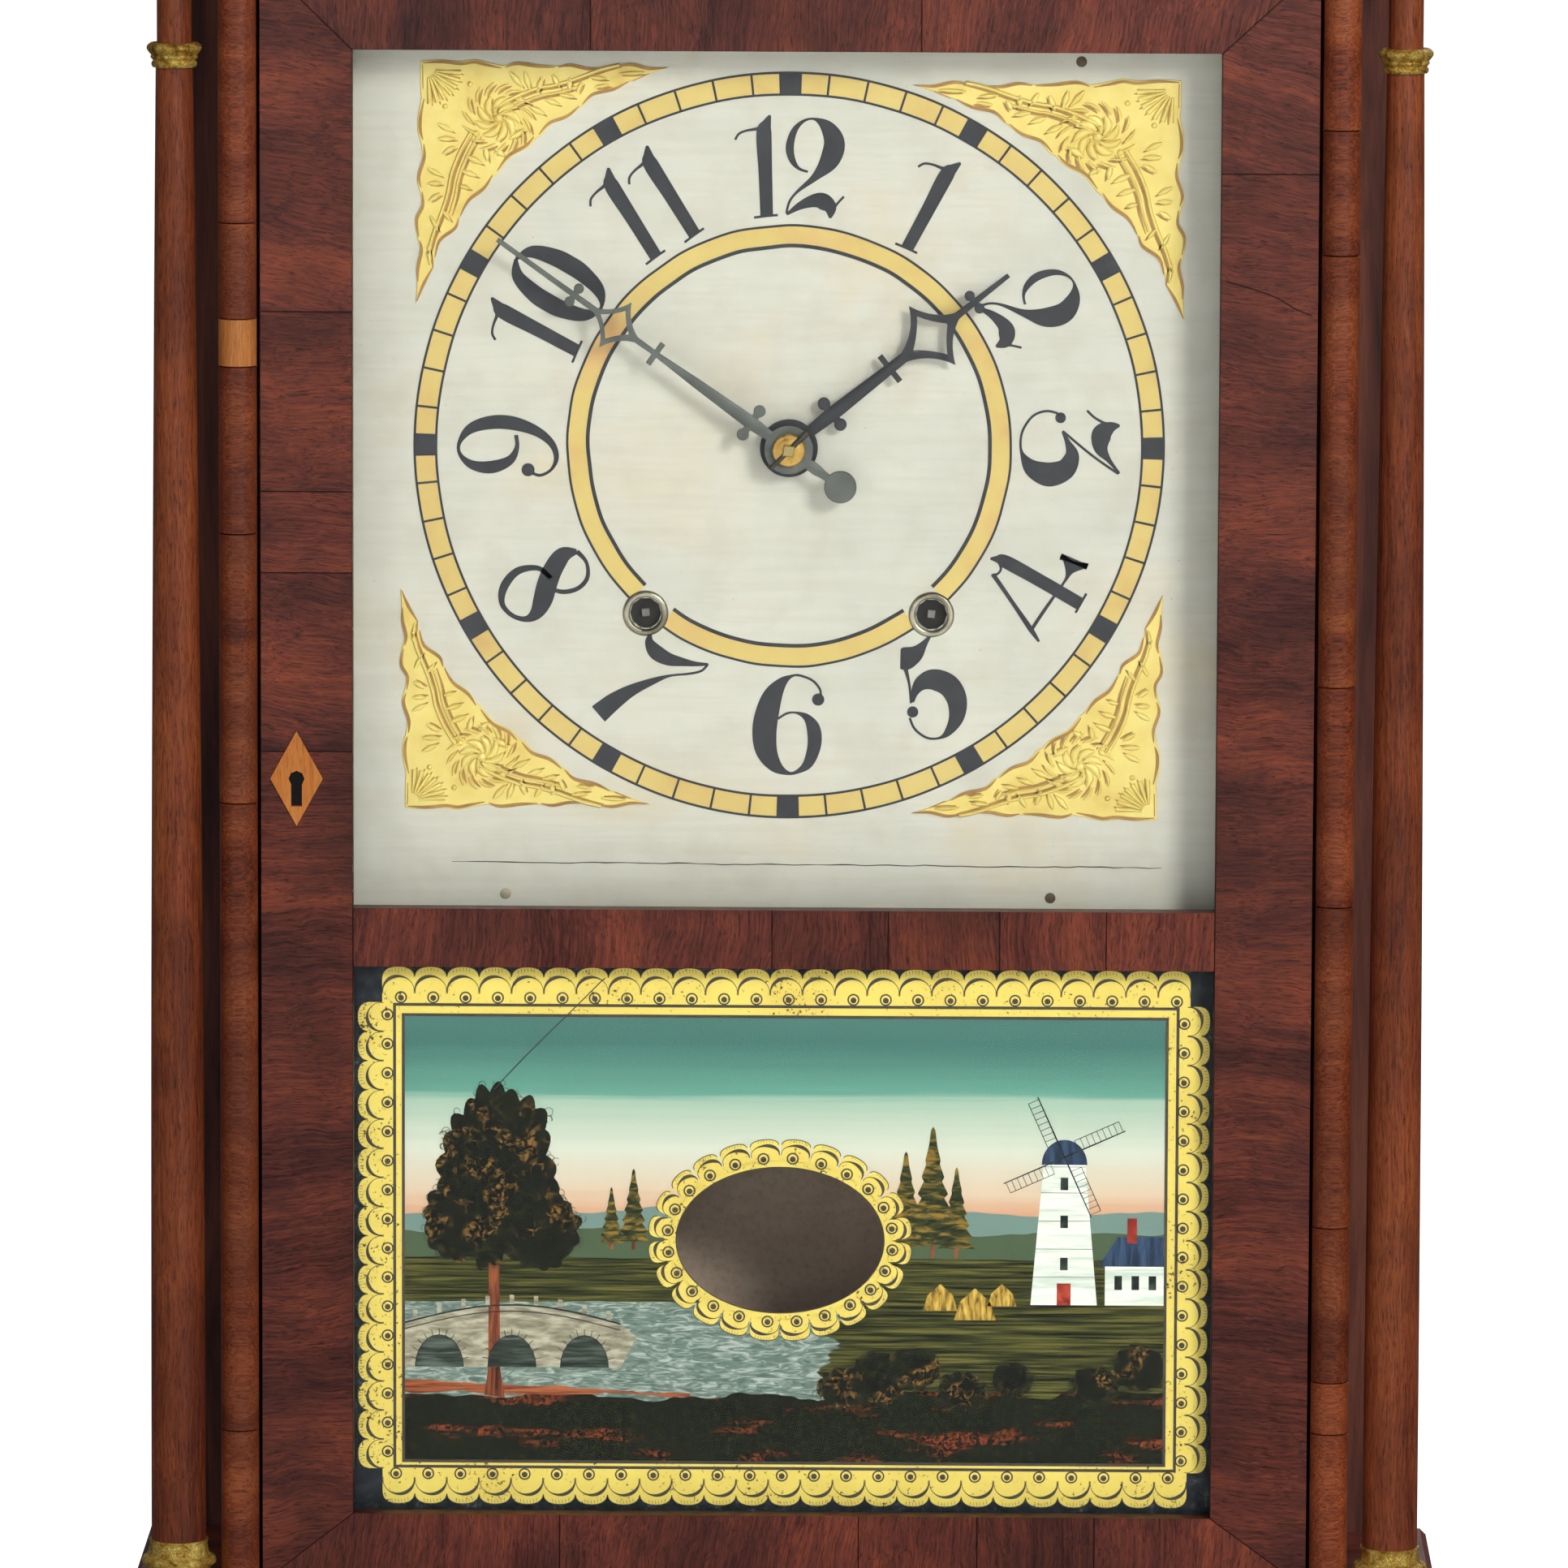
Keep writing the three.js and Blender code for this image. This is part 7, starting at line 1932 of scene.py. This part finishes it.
def make_tower(walls, blues, darks):
    """The mill's tapered tower with its cap, windows and courses. Gives the door's outline."""
    wide, narrow = 10.5 * MM, 6.6 * MM
    eaves, cap_out, cap_height, cap_steps = 1.2 * MM, 0.6 * MM, 8 * MM, 14
    window_half, window_height, door_half, door_height = 1.2 * MM, 4 * MM, 2.2 * MM, 7 * MM
    x, foot, head = MILL_X, MILL_FOOT, MILL_HEAD
    walls.patch_of([(x - wide, foot), (x + wide, foot), (x + narrow, head), (x - narrow, head)], 4)
    cap = [(x - narrow - eaves, head), (x + narrow + eaves, head)]
    for step in range(cap_steps + 1):
        angle = math.pi * step / cap_steps
        cap.append((x + (narrow + cap_out) * math.cos(angle), head + cap_height * math.sin(angle)))
    blues.patch_of(cap, 3)
    for share in (0.25, 0.55, 0.82):
        z = foot + (head - foot) * share
        darks.patch_of(rectangle(x - window_half, x + window_half, z, z + window_height), 3)
    for share in (0.2, 0.4, 0.6, 0.8, 0.985):
        z = foot + (head - foot) * share
        half = wide + (narrow - wide) * share
        darks.line([(x - half, z, HAIRLINE), (x + half, z, HAIRLINE)], 3.2)
    return rectangle(x - door_half, x + door_half, foot, foot + door_height)


def make_barn(walls, blues, darks):
    """The low barn beside the mill, with its windows. Gives the chimney's outline."""
    left, right, foot = 101 * MM, picture[1], MILL_FOOT
    wall_height, eaves_height, ridge_height, eaves, hip = 13 * MM, 12.5 * MM, 22 * MM, 2 * MM, 4 * MM
    chimney_left, chimney_right, chimney_foot, chimney_head = 7 * MM, 10 * MM, 20 * MM, 28 * MM
    window_start, window_pitch, window_width, sill, lintel = 3, 5.4, 2.4 * MM, 5 * MM, 9.5 * MM
    walls.patch_of(rectangle(left, right, foot, foot + wall_height), 4)
    blues.patch_of([(left - eaves, foot + eaves_height), (right, foot + eaves_height),
                    (right, foot + ridge_height), (left + hip, foot + ridge_height)], 3)
    chimney = rectangle(left + chimney_left, left + chimney_right, foot + chimney_foot, foot + chimney_head)
    for window in range(3):
        start = left + (window_start + window * window_pitch) * MM
        darks.patch_of(rectangle(start, start + window_width, foot + sill, foot + lintel), 3)
    return chimney


def make_mill():
    """A white tower mill with a blue cap, a low barn beside it and haycocks"""
    hub_rise = 2.4 * MM
    walls, blues, darks, reds, straw = (Painting() for _ in range(5))
    door = make_tower(walls, blues, darks)
    make_sails(darks, Vector((MILL_X, MILL_HEAD + hub_rise)))
    chimney = make_barn(walls, blues, darks)
    reds.patch_of(chimney, 2)
    reds.patch_of(door, 3)
    for x, foot, size in HAYCOCKS:
        straw.patch_of([((x + out * size) * MM, (foot + up * size) * MM) for out, up in HAYCOCK_SHARES], 3)
    walls.finish("mill_walls")
    blues.finish("mill_roofs")
    darks.finish("mill_lines")
    reds.finish("mill_door")
    straw.finish("haycocks")


# Trees: places and sizes in millimetres

# The broad tree's crowns: aside from the trunk, middle's height, half width and height, seed, clumps, layer
CROWNS = [(1, 226, 17, 27, 4, 22, 2.8), (-11, 212, 11, 12, 6, 14, 3.0), (15, 209, 11, 12, 8, 14, 3.2)]
TRUNK_X = -92
TRUNK = [(-3.2, 156), (3.4, 155), (1.9, 164), (1.5, 205), (-1.7, 205), (-2.0, 164)]
# Firs: place, foot and height
FIRS = [(38, 201, 34), (46.5, 201, 42), (54, 201, 29), (-48, 203, 26), (-55, 203, 20)]
# Shrubs: place, height of the middle and half width
SHRUBS = [(30, 162, 9), (41, 165, 7.5), (112, 166, 8), (18, 159, 7), (72, 162, 6), (98, 160, 7), (56, 158, 7)]


def crown(leaves, curls, x, z, wide, tall, seed, clumps, layer):
    """The head of a broad tree: one ragged mass with small loops round its edge"""
    swing = 2.2
    loop_from, loop_to, loop_steps = 0.8, 1.4, 8
    rng = random.Random(seed)
    outline = []
    for step in range(clumps * 5):
        angle = TURN * step / (clumps * 5)
        place = Vector((math.cos(angle) * swing + seed, math.sin(angle) * swing, seed))
        swell = (1 + 0.16 * noise.noise(place)) * (1 + 0.11 * abs(math.sin(angle * clumps / 2)))
        outline.append((x + wide * swell * math.cos(angle), z + tall * swell * math.sin(angle)))
    leaves.patch_of(outline, layer)
    for _ in range(clumps * 4):
        edge = outline[rng.randrange(len(outline))]
        centre = on_line(edge, (x, z), rng.uniform(-0.04, 0.14))
        radius = rng.uniform(loop_from, loop_to) * MM
        start = rng.uniform(0, TURN)
        angles = [start + TURN * 0.8 * step / loop_steps for step in range(loop_steps + 1)]
        curls.line([(*polar(centre, radius, angle), HAIRLINE) for angle in angles], 2)


def fir(firs, trunks, x, foot, tall, layer):
    """A slim fir with seven tiers of hanging boughs"""
    tiers, trunk_half = 7, 0.6
    side = []
    for tier in range(tiers):
        share = tier / tiers
        reach = (1 - share) * tall * 0.2
        side.append((reach, foot + (0.1 + 0.9 * share) * tall))
        side.append((reach * 0.6, foot + (0.1 + 0.9 * (share + 0.75 / tiers)) * tall))
    outline = [*side, (0, foot + tall), *((-reach, z) for reach, z in reversed(side))]
    firs.patch_of([((x + reach) * MM, z * MM) for reach, z in outline], layer)
    left, right = (x - trunk_half) * MM, (x + trunk_half) * MM
    trunks.patch_of(rectangle(left, right, foot * MM, (foot + 0.12 * tall) * MM), 3.5)


def leaf_paint():
    """Dark leaves with warm light on some of them"""
    s = Surface("leaf_paint", 0.5)
    leafy = s.mottle(520, 5, 0.68, 0.9)
    glow = s.mottle(130, 3, 0.5)
    colour = s.ramp(leafy, [(0.44, (12, 15, 10)), (0.58, (26, 30, 16)), (0.74, (66, 62, 26))])
    lit = s.maths("MULTIPLY", s.span(glow, 0.5, 0.6), s.span(leafy, 0.5, 0.62))
    return matt(s, s.mix(lit, colour, (132, 98, 46)))


def make_trees():
    """The broad tree, two groves of firs, and shrubs along the shore"""
    leaves, curls, trunks, firs, shrubs = (Painting() for _ in range(5))
    trunks.patch_of([((TRUNK_X + x) * MM, z * MM) for x, z in TRUNK], 3.5)
    for x, z, wide, tall, seed, clumps, layer in CROWNS:
        crown(leaves, curls, (TRUNK_X + x) * MM, z * MM, wide * MM, tall * MM, seed, clumps, layer)
    for number, (x, foot, tall) in enumerate(FIRS):
        fir(firs, trunks, x, foot, tall, 3 + number / 8)
    for number, (x, z, size) in enumerate(SHRUBS):
        tall = size * 0.85
        crown(shrubs, curls, x * MM, z * MM, size * MM, tall * MM, x, 12, 3.3 + number / 8)
    material = leaf_paint()
    leaves.finish("tree_leaves", material)
    shrubs.finish("shrubs", material)
    curls.finish("leaf_curls")
    trunks.finish("trunks")
    firs.finish("firs")


# The solids that stay as they are

def finishes():
    """A procedural surface for each of the record's materials"""
    return {
        "mahogany_veneer": wood("mahogany_case", "x", MAHOGANY),
        "case_side_wood": wood("case_side", "z", SIDE),
        "column_wood": wood("column_mahogany", "z", SHAFT, gloss=0.24, coat=0.5),
        "cross_banding": wood("banding_node", "x", BANDING),
        "back_pine": wood("back_pine", "z", PINE, coat=0.0),
        "gilt": gilt_turning(),
        "finial_brass": metal("finial_brass", (206, 162, 78), (150, 108, 48), 0.24),
        "escutcheon_wood": wood("escutcheon_holly", "z", HOLLY, wave=0.003, pores=0.5, figure=0.4),
        "clear_glass": window_glass(),
        "dial_paint": aged_paint(),
        "blued_steel": metal("blued_steel", (48, 54, 66), (34, 36, 42), 0.4),
        "bright_steel": metal("bright_steel", (170, 170, 168), (104, 96, 86), 0.3),
        "plate_oak": wood("plate_oak", "x", OAK, coat=0.0),
        "wheel_cherry": wood("wheel_cherry", "x", CHERRY, coat=0.1),
        "works_brass": metal("works_brass", (196, 156, 80), (128, 96, 48), 0.3),
        "iron": metal("cast_iron", (58, 56, 54), (70, 48, 36), 0.6, metallic=0.7),
        "cord_fibre": metal("cord_fibre", (186, 160, 116), (140, 112, 76), 0.9, metallic=0.0),
        "painted_glass": brushed_paint("tablet_ground", (120, 150, 140), (100, 130, 120), 0.2),
    }


def dress_nodes():
    """Give each solid its surface, and the skirts, the back and the door's core their own"""
    nodes = frame["nodes"]
    surfaces = finishes()
    for node in nodes.values():
        slot = node.material_slots[0].material.name.split(".")[0]
        node.material_slots[0].material = surfaces[slot]
    skirt = wood("skirt_mahogany", "y", MAHOGANY)
    for name in ("left_skirt", "right_skirt"):
        nodes[name].material_slots[0].material = skirt
    nodes["backboard"].material_slots[0].material = backboard_wood()
    nodes["door_frame"].material_slots[0].material = door_core()


make_camera()
make_cords()
make_studio()
dress_nodes()
make_door_veneer()
make_half_rounds()
make_keyhole()
make_columns()
make_finials()
make_label()
make_scrolls()

numeral_black = brushed_paint("numeral_black", (24, 28, 31), (40, 44, 47))
ring_gold = flat_gold("ring_gold")
worn_gold = flat_gold("worn_gold", 0.85)
make_dial_rings(numeral_black, ring_gold, worn_gold)
make_numerals(numeral_black)
make_grommets()
make_dial_crack()
make_dial_screws()
make_spandrels()
make_hands()
make_tablet()
